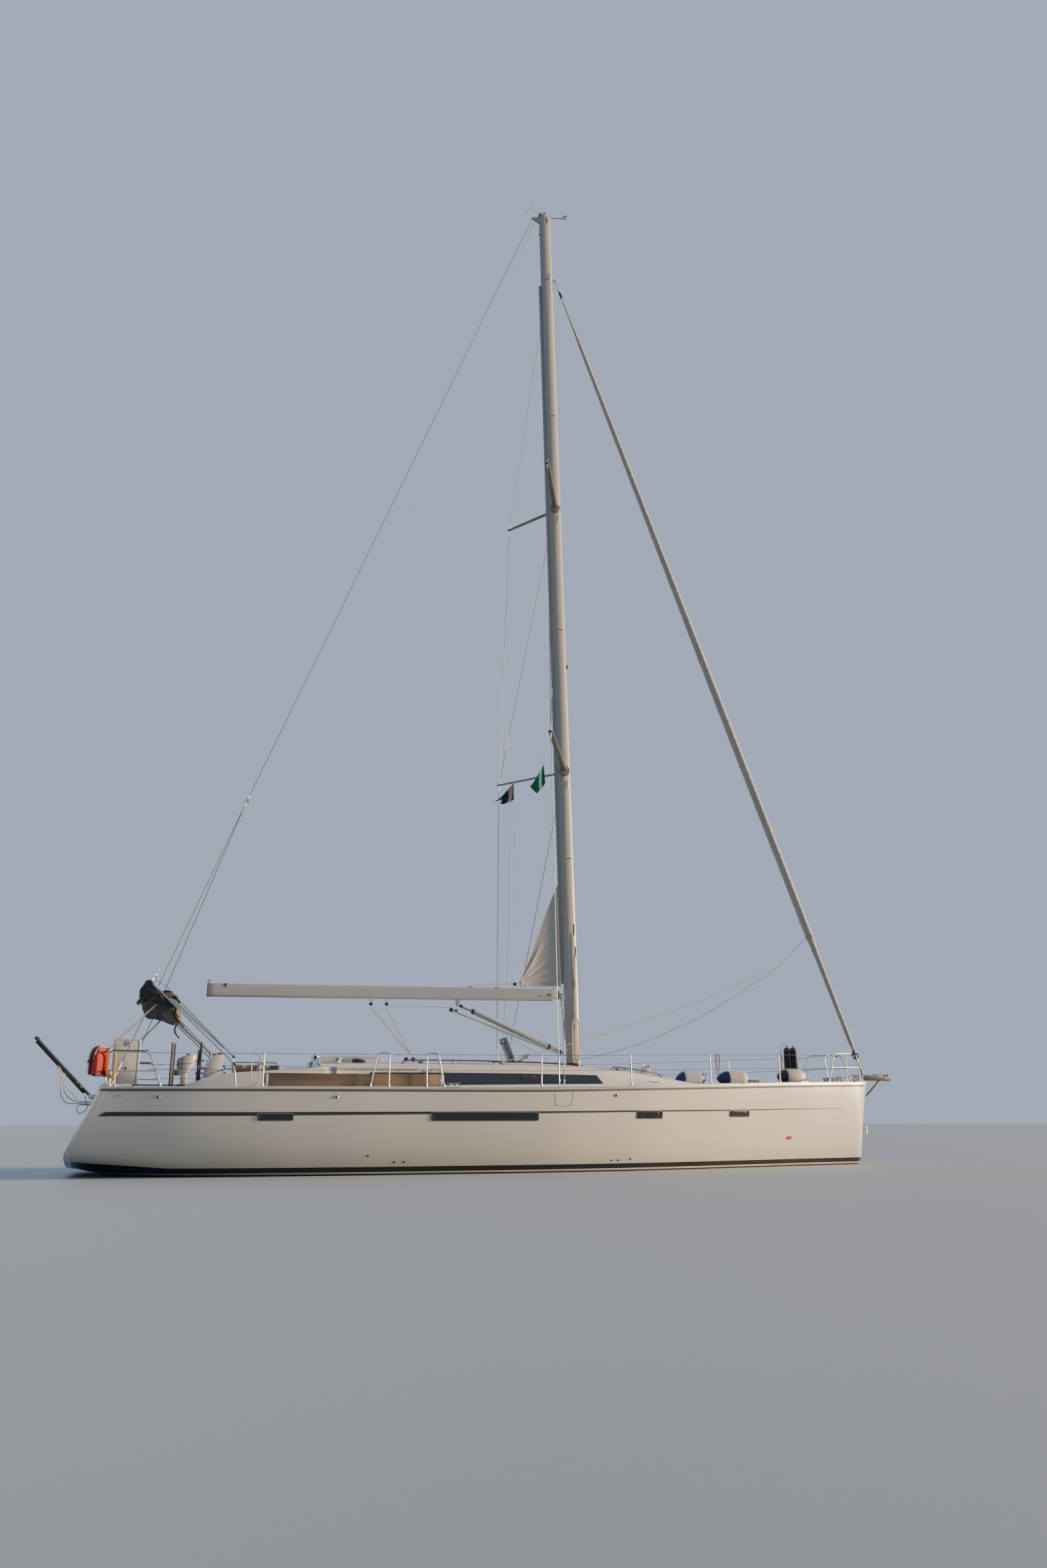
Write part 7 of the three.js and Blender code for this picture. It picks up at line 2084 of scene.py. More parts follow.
def build_furler():
    piece = Piece("furling_drum", "headsail_furler", "black")
    base = 0.372
    at = lambda along: on_stay(base + along)
    for finish, profile in (
        (BLACK, [(0, 0.0), (0.05, 0.0), (0.066, 0.006), (0.066, 0.014), (0.03, 0.02), (0, 0.02)]),
        (DARK_ROPE, [(0, 0.018), (0.04, 0.018), (0.04, 0.1), (0, 0.1)]),
        (BLACK, [(0, 0.096), (0.03, 0.1), (0.09, 0.104), (0.091, 0.116), (0.05, 0.122), (0, 0.122)]),
        (STEEL, [(0, 0.12), (0.042, 0.12), (0.046, 0.15), (0.03, 0.158), (0, 0.158)]),
        (BLACK, [(0, 0.156), (0.034, 0.156), (0.034, 0.188), (0, 0.188)]),
    ):
        piece.add(finish, turned(profile, at(0), at(1), 36))
    for i in range(9):
        angle = i * 2 * math.pi / 9
        piece.add(BLACK, rod(on_stay(base + 0.01, angle, 0.062),
            on_stay(base + 0.108, angle, 0.085), 0.004, 8))
    piece.add(STEEL, ring(on_stay(base + 0.175, 0, 0.045), PORT, 0.02, 0.004, 18, 8))
    piece.done("furler_drum")


GENOA = cloth("headsail_cloth", (0.44, 0.41, 0.365), 600, 0.75, 0.3, 0.12)
SAIL_PATCH = cloth("headsail_patch", (0.52, 0.51, 0.47), 600, 0.7, 0.15, 0.1)
build_forestay()
build_headsail_roll()
build_furler()


# Bimini canvas, stern gear and outboard
CANVAS_EDGE = [(-6.62, 2.77), (-6.5, 2.765), (-6.455, 2.85), (-6.475, 2.945), (-6.56, 3.03), (-6.68, 3.065),
    (-6.77, 3.05), (-6.87, 3.14), (-6.965, 3.232), (-7.03, 3.215), (-7.09, 3.12), (-7.118, 2.985),
    (-7.09, 2.895), (-7.0, 2.86), (-6.86, 2.86), (-6.74, 2.815)]


def build_canvas():
    """The bimini's canvas, gathered round the two upper bows in a loose roll and strapped."""
    edge = smooth_route([(x, 0, z) for x, z in [*CANVAS_EDGE, *CANVAS_EDGE[:4]]], 150)
    heart = Vector((-6.79, 0, 2.97))
    straps = [-1.72, -1.1, -0.35, 0.42, 1.15, 1.76]

    def place(u, w):
        y = mix(-1.93, 1.93, w)
        lap = u * 1.22
        point = edge[round(u * 150)]
        near = min(abs(y - strap) for strap in straps)
        tight = 0.93 + 0.07 * min(near / 0.12, 1) - 0.10 * max(lap - 1, 0) / 0.22
        end = max((abs(y) - 1.84) / 0.09, 0)
        tight *= math.sqrt(max(1 - end * end, 0.01))
        fold = 0.011 * math.sin(u * 61 + 2.3 * math.sin(y * 5)) + 0.008 * math.sin(u * 27 + y * 17)
        fold += 0.006 * math.sin(y * 41 + u * 12)
        out = (point - heart).normalized()
        placed = heart + (point - heart) * tight + out * (fold * min(near / 0.05, 1) - 0.006)
        sag = 0.03 * math.cos((y + 1.93) * 4.1) * (1 if point.z < heart.z else 0.2)
        return Vector((placed.x, y, placed.z - max(sag, 0) * 0.5))
    canvas = Piece("bimini_canvas_roll", slot="canvas").add(CANVAS,
        skin(150, 150, place, 0.0018)).done("bimini_canvas")
    trim = Piece("bimini_straps", slot="canvas")
    for strap in straps:
        loop = skin(64, 2, lambda u, w: on_canvas(edge, heart, u, strap + (w - 0.5) * 0.036,
            1.0), 0.002, closed=True)
        trim.add(BLACK_COVER, loop)
        buckle = on_canvas(edge, heart, 0.52, strap, 1.02)
        trim.add(BLACK, block(buckle - Vector((0.03, 0.022, 0.02)),
            buckle + Vector((0.03, 0.022, 0.012)), 0.006))
    web = [(-6.9, -1.9, 3.23), (-6.74, -1.9, 3.15), (-6.58, -1.9, 3.03)]
    trim.add(BLACK_COVER, webbing(smooth_route(web, 12), (0, 0.05, 0), 0.004))
    for strap in (-1.9, 1.15):
        tail = smooth_route([(-6.83, strap, 2.86), (-6.825, strap - 0.01, 2.75), (-6.85, strap, 2.62)], 14)
        trim.add(BLACK_COVER, webbing(tail, (0, 0.035, 0), 0.0025))
    strips = trim.done()


def on_canvas(edge, heart, u, y, grow):
    point = edge[round((u % 1) / 1.22 * 150)]
    return Vector((heart.x + (point.x - heart.x) * grow, y, heart.z + (point.z - heart.z) * grow))


def build_khaki_bundle():
    """Folded side curtain in khaki cloth, strapped under the canvas at its starboard end."""
    edge = smooth_route([(-6.72, 0, 2.69), (-6.6, 0, 2.6), (-6.5, 0, 2.565), (-6.44, 0, 2.54),
        (-6.41, 0, 2.62), (-6.46, 0, 2.71), (-6.52, 0, 2.765), (-6.63, 0, 2.76), (-6.72, 0, 2.69)], 72)
    heart = Vector((-6.55, 0, 2.665))

    def place(u, w):
        y = mix(-1.9, -1.0, w)
        end = max(abs(w - 0.5) * 2 - 0.86, 0) / 0.14
        point = edge[round(u * 72)]
        fold = 0.008 * math.sin(u * 38 + y * 9) + 0.006 * math.sin(y * 33 + u * 9)
        grown = math.sqrt(max(1 - end * end, 0.01))
        placed = heart + (point - heart) * grown + (point - heart).normalized() * fold
        return Vector((placed.x, y, placed.z))
    curtain = Piece("side_curtain").add(KHAKI, skin(72, 50, place, 0.0018)).done()
    gear = Piece("curtain_straps")
    for y in (-1.82, -1.55, -1.2):
        def strap(u, w):
            out = edge[round(u % 1 * 72)] - heart
            return Vector((heart.x + out.x * 1.05, y + (w - 0.5) * 0.03, heart.z + out.z * 1.05))
        gear.add(BLACK_COVER, skin(40, 2, strap, 0.002, closed=True))
    for i in range(7):
        spot = Vector((-6.43 + 0.014 * i, -1.84 + 0.02 * (i % 2), 2.545 - 0.014 * i))
        gear.add(BLACK, block_at(spot, (0.016, 0.014, 0.009), 0.003))
        gear.add(STEEL, ring(spot + Vector((0, -0.018, 0)), PORT, 0.008, 0.0016, 14, 6))
    gear.done()


def build_outboard():
    """Small outboard clamped between two boards on the port quarter rail."""
    x, y = -6.25, 1.96
    piece = Piece("outboard_engine", slot="outboard")
    cowl = [(1.9, 0.115, 0.085, -0.03), (1.93, 0.15, 0.105, -0.02), (2.0, 0.175, 0.12, 0.0),
            (2.09, 0.185, 0.125, 0.01), (2.15, 0.17, 0.115, 0.02), (2.183, 0.11, 0.08, 0.03)]

    def around(u, w):
        z, long, wide, lead = cowl[round(w * 5)]
        angle = u * 2 * math.pi
        cos, sin = math.cos(angle), math.sin(angle)
        rise = 0.035 * cos * (z - 1.9) / 0.28
        return Vector((x + lead + long * math.copysign(abs(cos) ** 0.75, cos),
            y + wide * math.copysign(abs(sin) ** 0.75, sin), z + rise))
    shell = swept(36, 5, around)
    piece.add(OUTBOARD_WHITE, shell)

    def seal(u, w):
        edge = around(u, 0.4)
        return edge + Vector((0, 0, w * 0.012)) + (edge - Vector((x, y, 2.0))).normalized() * 0.002
    piece.add(RUBBER, skin(36, 1, seal, 0.002, closed=True))
    for low, high, radius in (((-0.1, -0.075, 1.83), (0.075, 0.075, 1.905), 0.02),
                              ((-0.08, -0.05, 1.60), (0.04, 0.05, 1.84), 0.02),
                              ((-0.09, -0.06, 1.72), (0.05, 0.06, 1.75), 0.01),
                              ((-0.12, -0.06, 1.6), (0.09, 0.06, 1.612), 0.005)):
        low, high = (Vector(corner) + Vector((x, y, 0)) for corner in (low, high))
        piece.add(OUTBOARD_WHITE, block(low, high, radius, 3))
    foot = turned([(0, 0), (0.02, 0.01), (0.034, 0.05), (0.036, 0.14), (0.024, 0.2), (0, 0.205)],
        (x + 0.1, y, 1.56), (x - 0.2, y, 1.56), 24)
    piece.add(OUTBOARD_WHITE, foot,
        plate([(x - 0.06, 1.61), (x + 0.03, 1.61), (x + 0.02, 1.47), (x - 0.03, 1.46)], 0.012,
        across_y(y + 0.006), 0.003))
    for i in range(3):
        blade = block((-0.006, -0.022, 0.0), (0.006, 0.022, 0.06), 0.004)
        turn = Matrix.Rotation(i * 2 * math.pi / 3 + 0.5, 4, "X") @ Matrix.Rotation(0.5, 4, "Z")
        piece.add(BLACK, moved(blade, Matrix.Translation((x - 0.12, y, 1.56)) @ turn))
    piece.add(BLACK, block((x, y - 0.03, 2.18), (x + 0.075, y + 0.03, 2.208), 0.012))
    piece.add(RUBBER, block((x - 0.23, y - 0.085, 1.78), (x - 0.085, y + 0.085, 1.885), 0.012))
    for side in (-1, 1):
        piece.add(STEEL, rod((x - 0.2, y + side * 0.05, 1.82), (x - 0.3, y + side * 0.05, 1.82), 0.009, 12),
            rod((x - 0.3, y + side * 0.05, 1.785), (x - 0.3, y + side * 0.05, 1.855), 0.006, 10))
    piece.add(OUTBOARD_WHITE,
        tube(smooth_route([(x + 0.12, y - 0.05, 2.05), (x + 0.2, y - 0.06, 2.07),
        (x + 0.33, y - 0.06, 2.07)], 12), 0.017, 12))
    piece.add(RUBBER, rod((x + 0.24, y - 0.06, 2.07), (x + 0.35, y - 0.06, 2.07), 0.021, 14))
    for x0, x1, y0, y1, top in ((-6.552, -6.509, 1.84, 2.06, 2.42), (-6.5, -6.46, 1.85, 2.07, 2.4)):
        low = deck_height(x0, 1.95) + 0.002
        piece.add(GREY_BOARD, block((x0, y0, low), (x1, y1, top), 0.006))
        for z in (low + 0.12, 1.72, 2.0, 2.3):
            for bolt in ((y0 + y1) / 2 - 0.05, (y0 + y1) / 2 + 0.05):
                piece.add(STEEL, rod((x1 - 0.002, bolt, z), (x1 + 0.003, bolt, z), 0.008, 10))
    piece.done("outboard_on_boards")


def build_seat():
    """Folding helm seat that stands up across the stern, with its latch and handle."""
    piece = Piece("helm_seat_panel", "lifting_seat", "gelcoat")
    x0, x1 = -7.57, -7.09
    piece.add(WHITE, plate(rounded_rect(x0, x1, 1.52, 2.39, 0.03), 0.045, across_y(0.4375), 0.008, 3))
    cushion = rounded_rect(x0 + 0.02, x1 - 0.02, 1.545, 2.365, 0.04)
    piece.add(WHITE_VINYL, plate(cushion, 0.009, across_y(0.401), 0.004, 3))
    seam = [*rounded_rect(x0 + 0.03, x1 - 0.03, 1.555, 2.355, 0.04), (x1 - 0.03, 2.315)]
    piece.add(GREY_LINE, tube([Vector((x, 0.3905, z)) for x, z in seam], 0.0022, 6))
    for low, high, z0, z1 in ((-7.37, -7.25, 2.24, 2.35), (-7.34, -7.28, 1.78, 1.88)):
        piece.add(WHITE_LIP, plate(rounded_rect(low, high, z0, z1, 0.03), 0.006, across_y(0.393), 0.002))
        x, z = (low + high) / 2, (z0 + z1) / 2 + 0.01
        piece.add(BLACK, rod((x, 0.394, z), (x, 0.384, z), 0.016, 20))
        piece.add(STEEL, rod((x - 0.012, 0.383, z), (x + 0.012, 0.383, z), 0.004, 8))
    piece.add(STEEL, rod((-7.51, 0.447, 1.513), (-7.15, 0.447, 1.513), 0.0098, 16))
    for x in (-7.45, -7.21):
        piece.add(STEEL, block((x - 0.04, 0.434, 1.513), (x + 0.04, 0.446, 1.6), 0.004))
        for z in (1.55, 1.58):
            piece.add(STEEL, turned([(0, 0), (0.006, 0), (0.005, 0.003), (0, 0.003)],
                (x, 0.446, z), (x, 1, z), 8))
    piece.done("lifting_helm_seat")


def build_passerelle():
    """Gangway raised over the stern: a plank between two tubes, with rollers at its tip."""
    foot, tip, y, half = Vector((-7.79, -1.03, 1.31)), Vector((-8.765, -1.03, 2.285)), -1.03, 0.165
    ahead = (tip - foot).normalized()
    up = Vector((ahead.z, 0, -ahead.x))
    at = lambda along, across, rise: foot + ahead * along + Vector((0, across, 0)) + up * rise
    length = (tip - foot).length
    piece = Piece("passerelle_deck", "passerelle", "plank")
    board = block((0.06, -half + 0.02, -0.013), (length - 0.05, half - 0.02, 0.013), 0.004)
    turn = Matrix(((ahead.x, 0, up.x, foot.x), (0, 1, 0, y), (ahead.z, 0, up.z, foot.z), (0, 0, 0, 1)))
    piece.add(DARK_BOARD, moved(board, turn))
    for side in (-1, 1):
        beam_side = sorted((side * (half - 0.024), side * half))
        rail = block((0.02, beam_side[0], -0.018), (length - 0.01, beam_side[1], 0.014), 0.006)
        deep = block((0.12, beam_side[0], -0.056), (length - 0.07, beam_side[1], 0.0), 0.008)
        # The steel strip on each rail's top stands in for the highlight along the gangway's top edge.
        edge = block((0.02, beam_side[0] + 0.002, 0.012), (length - 0.01, beam_side[1] - 0.002, 0.018), 0.002)
        for shape, finish in ((rail, DARK_TUBE), (deep, BLACK), (edge, STEEL)):
            piece.add(finish, moved(shape, turn))
    for i in range(1, 9):
        slat = block((0.13 * i, -half + 0.03, 0.012), (0.13 * i + 0.012, half - 0.03, 0.0185), 0.002)
        piece.add(BLACK, moved(slat, turn))
    for side in (-1, 1):
        rail_y = side * (half - 0.014)
        for first, last in ((0.19, 0.24), (0.3, 0.33)):
            piece.add(STEEL, rod(at(first, rail_y, 0), at(last, rail_y, 0), 0.0185, 16))
        piece.add(RUBBER, rod(at(length - 0.03, side * 0.075 - 0.045, 0),
            at(length - 0.03, side * 0.075 + 0.045, 0), 0.0335, 24))
        grow = Vector((0.014, 0.006, 0.014))
        piece.add(STEEL, block(at(length - 0.12, rail_y, 0) - grow, at(length - 0.1, rail_y, 0) + grow, 0.004))
    piece.add(STEEL, rod(at(length - 0.03, -half, 0), at(length - 0.03, half, 0), 0.009, 14),
        rod(at(0, -half, 0), at(0, half, 0), 0.0218, 20))
    for side in (-1, 1):
        piece.add(STEEL, ring(at(0.72, side * (half - 0.014), -0.06), PORT, 0.02, 0.004, 18, 8))
    piece.done("passerelle")


def build_buoy():
    """Horseshoe buoy in its red cover on the starboard quarter, with pocket, piping and strap."""
    turn = Matrix.Translation((-7.655, -1.875, 1.63)) @ Matrix.Rotation(math.radians(58), 4, "Z")
    outer, inner, leg, half = 0.235, 0.105, 0.25, 0.055
    middle, width = (outer + inner) / 2, (outer - inner) / 2
    bend = [(middle, 0.0), (middle, leg * 0.35), (middle, leg * 0.7)]
    bend += arc(middle, middle, 13, 12, z=leg)
    bend += [(-middle, leg * 0.7), (-middle, leg * 0.35), (-middle, 0.0)]
    route = smooth_route([(x, 0, z) for x, z in bend], 90)

    def place(u, w):
        i = round(w * 90)
        along = (route[min(i + 1, 90)] - route[max(i - 1, 0)]).normalized()
        out = along.cross(PORT)
        angle = u * 2 * math.pi
        cos, sin = math.cos(angle), math.sin(angle)
        end = min(min(i, 90 - i) / 6, 1)
        swell = 0.86 + 0.14 * math.sqrt(1 - (1 - end) ** 2)
        pucker = 0.0025 * math.sin(w * 150) * (1 - abs(sin))
        thick = Vector((0, half * 0.96 * math.copysign(abs(sin) ** 0.72, sin) * swell, 0))
        return route[i] + out * (width * math.copysign(abs(cos) ** 0.72, cos) * swell + pucker) + thick
    cover = swept(36, 90, place)
    pad = Piece("horseshoe_cover", slot="buoy").add(RED_COVER,
        moved(cover, turn)).done("horseshoe_buoy", subdivide=1)
    puffed(pad, 0.007)
    trim = Piece("horseshoe_trim", slot="buoy")
    for side in (-1, 1):
        size = outer - 0.014
        rim = [(size, 0.01), *arc(size, size, 17, 16, z=leg), (-size, 0.01)]
        trim.add(PIPING, moved(tube([Vector((x, side * half * 0.93, z)) for x, z in rim], 0.0055, 8), turn))
    web = [(inner, -0.005), *arc(inner, inner, 13, 12, z=leg), (-inner, -0.005)]
    pocket = rounded_rect(-outer, -inner - 0.02, 0.03, 0.26, 0.02)
    for finish, shape in (
        (RED_COVER, plate([(x * 1.15, z) for x, z in web], 0.02, across_y(0.01), 0.004)),
        (RED_POCKET, plate(pocket, 0.012, across_y(-half - 0.001), 0.004)),
        (BLACK_COVER, block((-outer, -half - 0.004, -0.02), (outer, -half, 0.012), 0.003)),
        (BLACK_COVER, block((-outer - 0.004, -half, 0.2), (-outer + 0.002, half, 0.235), 0.002)),
    ):
        trim.add(finish, moved(shape, turn))
    trim.done()
    lamp = Piece("buoy_lamp")
    top = Vector((-7.47, -1.82, 1.7))
    lamp.add(WHITE, turned([(0, 0), (0.03, 0), (0.034, 0.02), (0.034, 0.15), (0.026, 0.2), (0.026, 0.25),
        (0, 0.26)], top, top - UP, 24))
    lamp.add(SMOKE_LENS, ball(top, 0.027, rings=8))
    lamp.add(STEEL, ring(top - UP * 0.03, UP, 0.034, 0.003, 24, 6),
        rod(top - UP * 0.03 + Vector((-0.034, 0, 0)), (-7.53, -1.84, 1.67), 0.004, 8))
    lamp.done()


def puffed(piece, most):
    """Swells a padded piece as a filled cover does, by simulation, within a limit."""
    kept = [vertex.co.copy() for vertex in piece.data.vertices]
    cloth_settings = piece.modifiers.new("swell", "CLOTH")
    cloth_settings.settings.use_pressure = True
    cloth_settings.settings.uniform_pressure_force = 4
    cloth_settings.settings.effector_weights.gravity = 0
    finer = piece.modifiers.get("finer")
    if finer:
        finer.show_viewport = finer.show_render = False
    scene = bpy.context.scene
    for step in range(1, 16):
        scene.frame_set(step)
    evaluated = piece.evaluated_get(bpy.context.evaluated_depsgraph_get())
    swollen = [vertex.co.copy() for vertex in evaluated.data.vertices]
    piece.modifiers.remove(cloth_settings)
    scene.frame_set(1)
    if finer:
        finer.show_viewport = finer.show_render = True
    for vertex, start, end in zip(piece.data.vertices, kept, swollen):
        move = end - start
        vertex.co = start + move * min(most / max(move.length, 1e-9), 1)


OUTBOARD_WHITE = painted("outboard_enamel", (0.62, 0.62, 0.58), 0.35)
GREY_BOARD = planks("grey_boards", (0.24, 0.225, 0.20), (0.1, 0.09, 0.08), 0.3, "X", (14, 14, 1.3), gap=0.004)
DARK_BOARD = planks("dark_slats", (0.035, 0.04, 0.042), (0.01, 0.01, 0.01), 0.055, gap=0.06)
RED_POCKET = cloth("red_pocket", (0.62, 0.035, 0.04), wear=0.1)
build_canvas()
build_khaki_bundle()
build_outboard()
build_seat()
build_passerelle()
build_buoy()


# Foredeck gear, winches, table, wheels and the plank on deck
def bent_plate(outline, thick, y, radius=0.004):
    return plate(outline, thick, across_y(y + thick / 2), radius)


def build_bow_fitting():
    """Anchor roller: two cheeks on an arm over the stem, a strut below it and the roller at its tip."""
    piece = Piece("bow_roller", slot="steel")
    cheek = [(7.84, 1.806), (8.03, 1.806), (8.05, 1.735), (8.56, 1.735), (8.685, 1.716), (8.788, 1.812),
             (8.575, 1.845), (8.1, 1.858), (7.84, 1.852)]
    for y in (-0.068, 0.068):
        piece.add(WORN_STEEL, bent_plate(cheek, 0.008, y))
    seam = [(8.558, 1.734), (8.568, 1.734), (8.568, 1.846), (8.558, 1.846)]
    piece.add(DULL_STEEL, bent_plate(seam, 0.004, -0.0745), bent_plate(seam, 0.004, 0.0745),
        block((7.84, -0.07, 1.803), (8.6, 0.07, 1.812), 0.003))
    for x in (8.0, 8.25):
        piece.add(DULL_STEEL, rod((x, -0.07, 1.84), (x, 0.07, 1.84), 0.009, 12))
    for x in (8.64, 8.36):
        piece.add(RUBBER, turned([(0, -0.055), (0.034, -0.055), (0.022, -0.015), (0.022, 0.015),
            (0.034, 0.055), (0, 0.055)], (x, 0, 1.838), (x, 1, 1.838), 24))
        piece.add(STEEL, rod((x, -0.08, 1.838), (x, 0.08, 1.838), 0.01, 14))
    piece.add(BRONZE, rod((8.624, -0.084, 1.832), (8.624, -0.02, 1.832), 0.013, 14))
    piece.add(STEEL,
        tube(rounded_route([(8.5, -0.06, 1.86), (8.53, -0.06, 1.905), (8.53, 0.06, 1.905),
        (8.5, 0.06, 1.86)], 0.03), 0.007, 10))
    strut = [(8.088, 1.43), (8.088, 1.4), (8.115, 1.4), (8.5, 1.74), (8.5, 1.78), (8.475, 1.78)]
    piece.add(WORN_STEEL, bent_plate(strut, 0.03, 0.0, 0.006))
    for x, z, half in ((8.108, 1.418, 0.022), (8.571, 1.749, 0.076)):
        piece.add(STEEL, rod((x, -half, z), (x, half, z), 0.009, 12))
    base = copy_of("bow_plate", 0.003)
    bmesh.ops.bisect_plane(base, geom=[*base.verts, *base.edges, *base.faces], plane_co=(8.025, 0, 0),
        plane_no=(1, 0, 0), clear_outer=True)
    piece.add(DULL_STEEL, with_ends(base))
    for side in (-1, 1):
        lead = rail_point(7.62, side)
        piece.add(BLACK, block(lead + Vector((-0.07, -0.035, -0.005)),
            lead + Vector((0.07, 0.035, 0.01)), 0.006))
        piece.add(STEEL,
            tube(rounded_route([lead + Vector((-0.06, 0, 0.008)), lead + Vector((-0.04, 0, 0.045)),
            lead + Vector((0.04, 0, 0.045)), lead + Vector((0.06, 0, 0.008))], 0.03), 0.011, 12))
    piece.done("bow_plate")


def build_windlass():
    piece = Piece("windlass_body", slot="alloy")
    floor = deck_height(7.2, 0)
    side = [(7.095, floor), (7.335, floor), (7.335, floor + 0.09), (7.3, floor + 0.125), (7.2, floor + 0.135),
        (7.12, floor + 0.125), (7.095, floor + 0.09)]
    piece.add(WINDLASS_GREY, plate(side, 0.2, across_y(0.1), 0.014, 3))
    piece.add(GREY_ALLOY, slab(7.07, 7.56, -0.115, 0.115, floor - 0.004, 0.014, 0.03, 0.004))
    hub = Vector((7.45, 0, floor + 0.088))
    piece.add(DULL_STEEL, rod((7.33, 0, hub.z), (7.45, 0, hub.z), 0.03, 16))
    for y0, y1, profile in ((-0.062, -0.03, [(0, 0), (0.075, 0), (0.077, 0.01), (0.05, 0.03), (0, 0.032)]),
            (0.03, 0.062, [(0, 0), (0.05, 0.002), (0.077, 0.022), (0.075, 0.032), (0, 0.032)])):
        piece.add(STEEL, turned(profile, (7.45, y0, hub.z), (7.45, y1 + 1, hub.z), 40))
    piece.add(DULL_STEEL, rod((7.45, -0.034, hub.z), (7.45, 0.034, hub.z), 0.045, 24))
    for i in range(7):
        piece.add(STEEL, pin(hub + spoke(i, 7, "Y", (0, 0, 0.058)), (0, 0.032, 0), 0.011, 10))
    piece.add(STEEL, ring((7.45, -0.066, hub.z), PORT, 0.05, 0.006, 36, 10),
        rod((7.45, -0.075, hub.z), (7.45, -0.06, hub.z), 0.02, 20))
    for i in range(14):
        spot = Vector((7.53 + 0.024 * i, 0, mix(floor + 0.09, 1.842, min(i / 8, 1)) if i < 9 else 1.842))
        piece.add(CHAIN, ring(spot, PORT if i % 2 else UP, 0.013, 0.0042, 14, 8))
    piece.done("windlass")


FENDERS = {"a": (3.85, 4.48, -1.45, 0.14), "b": (5.55, 6.17, -0.78, 0.155), "c": (3.73, 4.392, 0.26, 0.16)}
BARREL = [(0.0, 0.2), (0.01, 0.34), (0.04, 0.5), (0.1, 0.68), (0.2, 0.87), (0.3, 0.965), (0.4, 0.998),
    (0.6, 1.0), (0.8, 0.985), (0.88, 0.93), (0.94, 0.8), (0.975, 0.62), (0.992, 0.4), (1.0, 0.2)]
EGG = [(0.0, 0.2), (0.01, 0.34), (0.035, 0.52), (0.09, 0.72), (0.18, 0.88), (0.3, 0.97), (0.42, 1.0),
    (0.55, 0.995), (0.7, 0.94), (0.83, 0.81), (0.93, 0.59), (0.98, 0.38), (1.0, 0.2)]
LONG = [(0.0, 0.2), (0.01, 0.32), (0.05, 0.5), (0.12, 0.73), (0.2, 0.93), (0.25, 0.985), (0.33, 1.0),
    (0.67, 1.0), (0.75, 0.985), (0.8, 0.93), (0.88, 0.73), (0.95, 0.5), (0.99, 0.32), (1.0, 0.2)]
FENDER_SHAPES = {"a": (BARREL, 0.34, 0.95), "b": (EGG, 0.27, 1.1), "c": (LONG, 0.22, 0.8)}


def build_fender(name):
    """Blown vinyl fender with moulded ends, its valve and eyes."""
    x0, x1, y, radius = FENDERS[name]
    stops, first, last = FENDER_SHAPES[name]
    start = Vector((x0, y, deck_height(x0, y) + radius - 0.001))
    end = Vector((x1, y, deck_height(x1, y) + radius - 0.001))
    ahead, long = (end - start).normalized(), (end - start).length
    smooth = smooth_route([(share * long, 0, size * radius) for share, size in stops], 54)
    piece = Piece(f"fender_{name}_body", slot="fender")
    vinyl = CREAM_VINYL if name != "c" else WHITE_VINYL
    ends = DARK_VINYL if name == "b" else BLUE_VINYL
    for finish, low, high in ((ends, -1, first), (vinyl, first, last), (BLUE_VINYL, last, 2)):
        points = [p for p in smooth if low * long - 0.006 <= p.x <= high * long + 0.006]
        if len(points) > 1:
            profile = [(0, points[0].x), *[(p.z, p.x) for p in points], (0, points[-1].x)]
            piece.add(finish, turned(profile, start, end, 48))
    for share in (first, last):
        if share < 1:
            size = min(smooth, key=lambda p: abs(p.x - share * long)).z
            piece.add(vinyl, ring(start + ahead * share * long, ahead, size, 0.0022, 48, 6))
    for spot, way in ((start, -1), (end, 1)):
        piece.add(ends, ring(spot + ahead * way * 0.004, PORT, 0.017, 0.0085, 20, 10))
    piece.add(BLACK, rod(start + Vector((long * 0.11, -radius * 0.62, 0)),
        start + Vector((long * 0.1, -radius * 0.72, 0)), 0.008, 12))
    piece.done(f"fender_{name}")


def build_upright_fenders():
    """Two slim fenders in black covers, standing against the port rail."""
    piece = Piece("covered_fenders", slot="fender_black")
    made = []
    for x in (6.56, 6.69):
        y = beam(x) - 0.15
        floor = deck_height(x, y) + 0.001
        profile = [(0, 0), (0.05, 0.0), (0.07, 0.02), (0.077, 0.07), (0.078, 0.4), (0.0765, 0.74),
            (0.066, 0.79), (0.04, 0.812), (0, 0.815)]
        cover = turned(profile, (x, y, floor), (x, y, floor + 1), 36)
        tall = [edge for edge in cover.edges if abs((edge.verts[0].co - edge.verts[1].co).z) > 0.2]
        bmesh.ops.subdivide_edges(cover, edges=tall, cuts=14)
        for vertex in cover.verts:
            height = vertex.co.z - floor
            angle = math.atan2(vertex.co.y - y, vertex.co.x - x)
            pull = 1 + 0.022 * math.sin(height * 41 + 3
                * angle) - 0.05 * math.exp(-((height - 0.1) / 0.015) ** 2)
            vertex.co = Vector((x + (vertex.co.x - x) * pull * 0.975,
                y + (vertex.co.y - y) * pull * 0.975, vertex.co.z))
        piece.add(BLACK_COVER, cover)
        made.append((x, y, floor))
        piece.add(PIPING, ring((x, y, floor + 0.1), UP, 0.0745, 0.0028, 40, 8),
            ring((x, y, floor + 0.765), UP, 0.0735, 0.0028, 40, 8))
        seam = [(x + 0.02, y - 0.0765, floor + z) for z in (0.12, 0.4, 0.75)]
        piece.add(PIPING, tube(seam, 0.0022, 6))
        piece.add(BLACK, ring((x, y, floor + 0.835), FORWARD, 0.02, 0.007, 20, 10))
    piece.done("upright_fenders")
    return made


WINCHES = {"primary": (-4.99, 1.595, 1.742, 0.082, 0.15), "roof": (-3.6, 1.23, 1.88, 0.066, 0.12)}


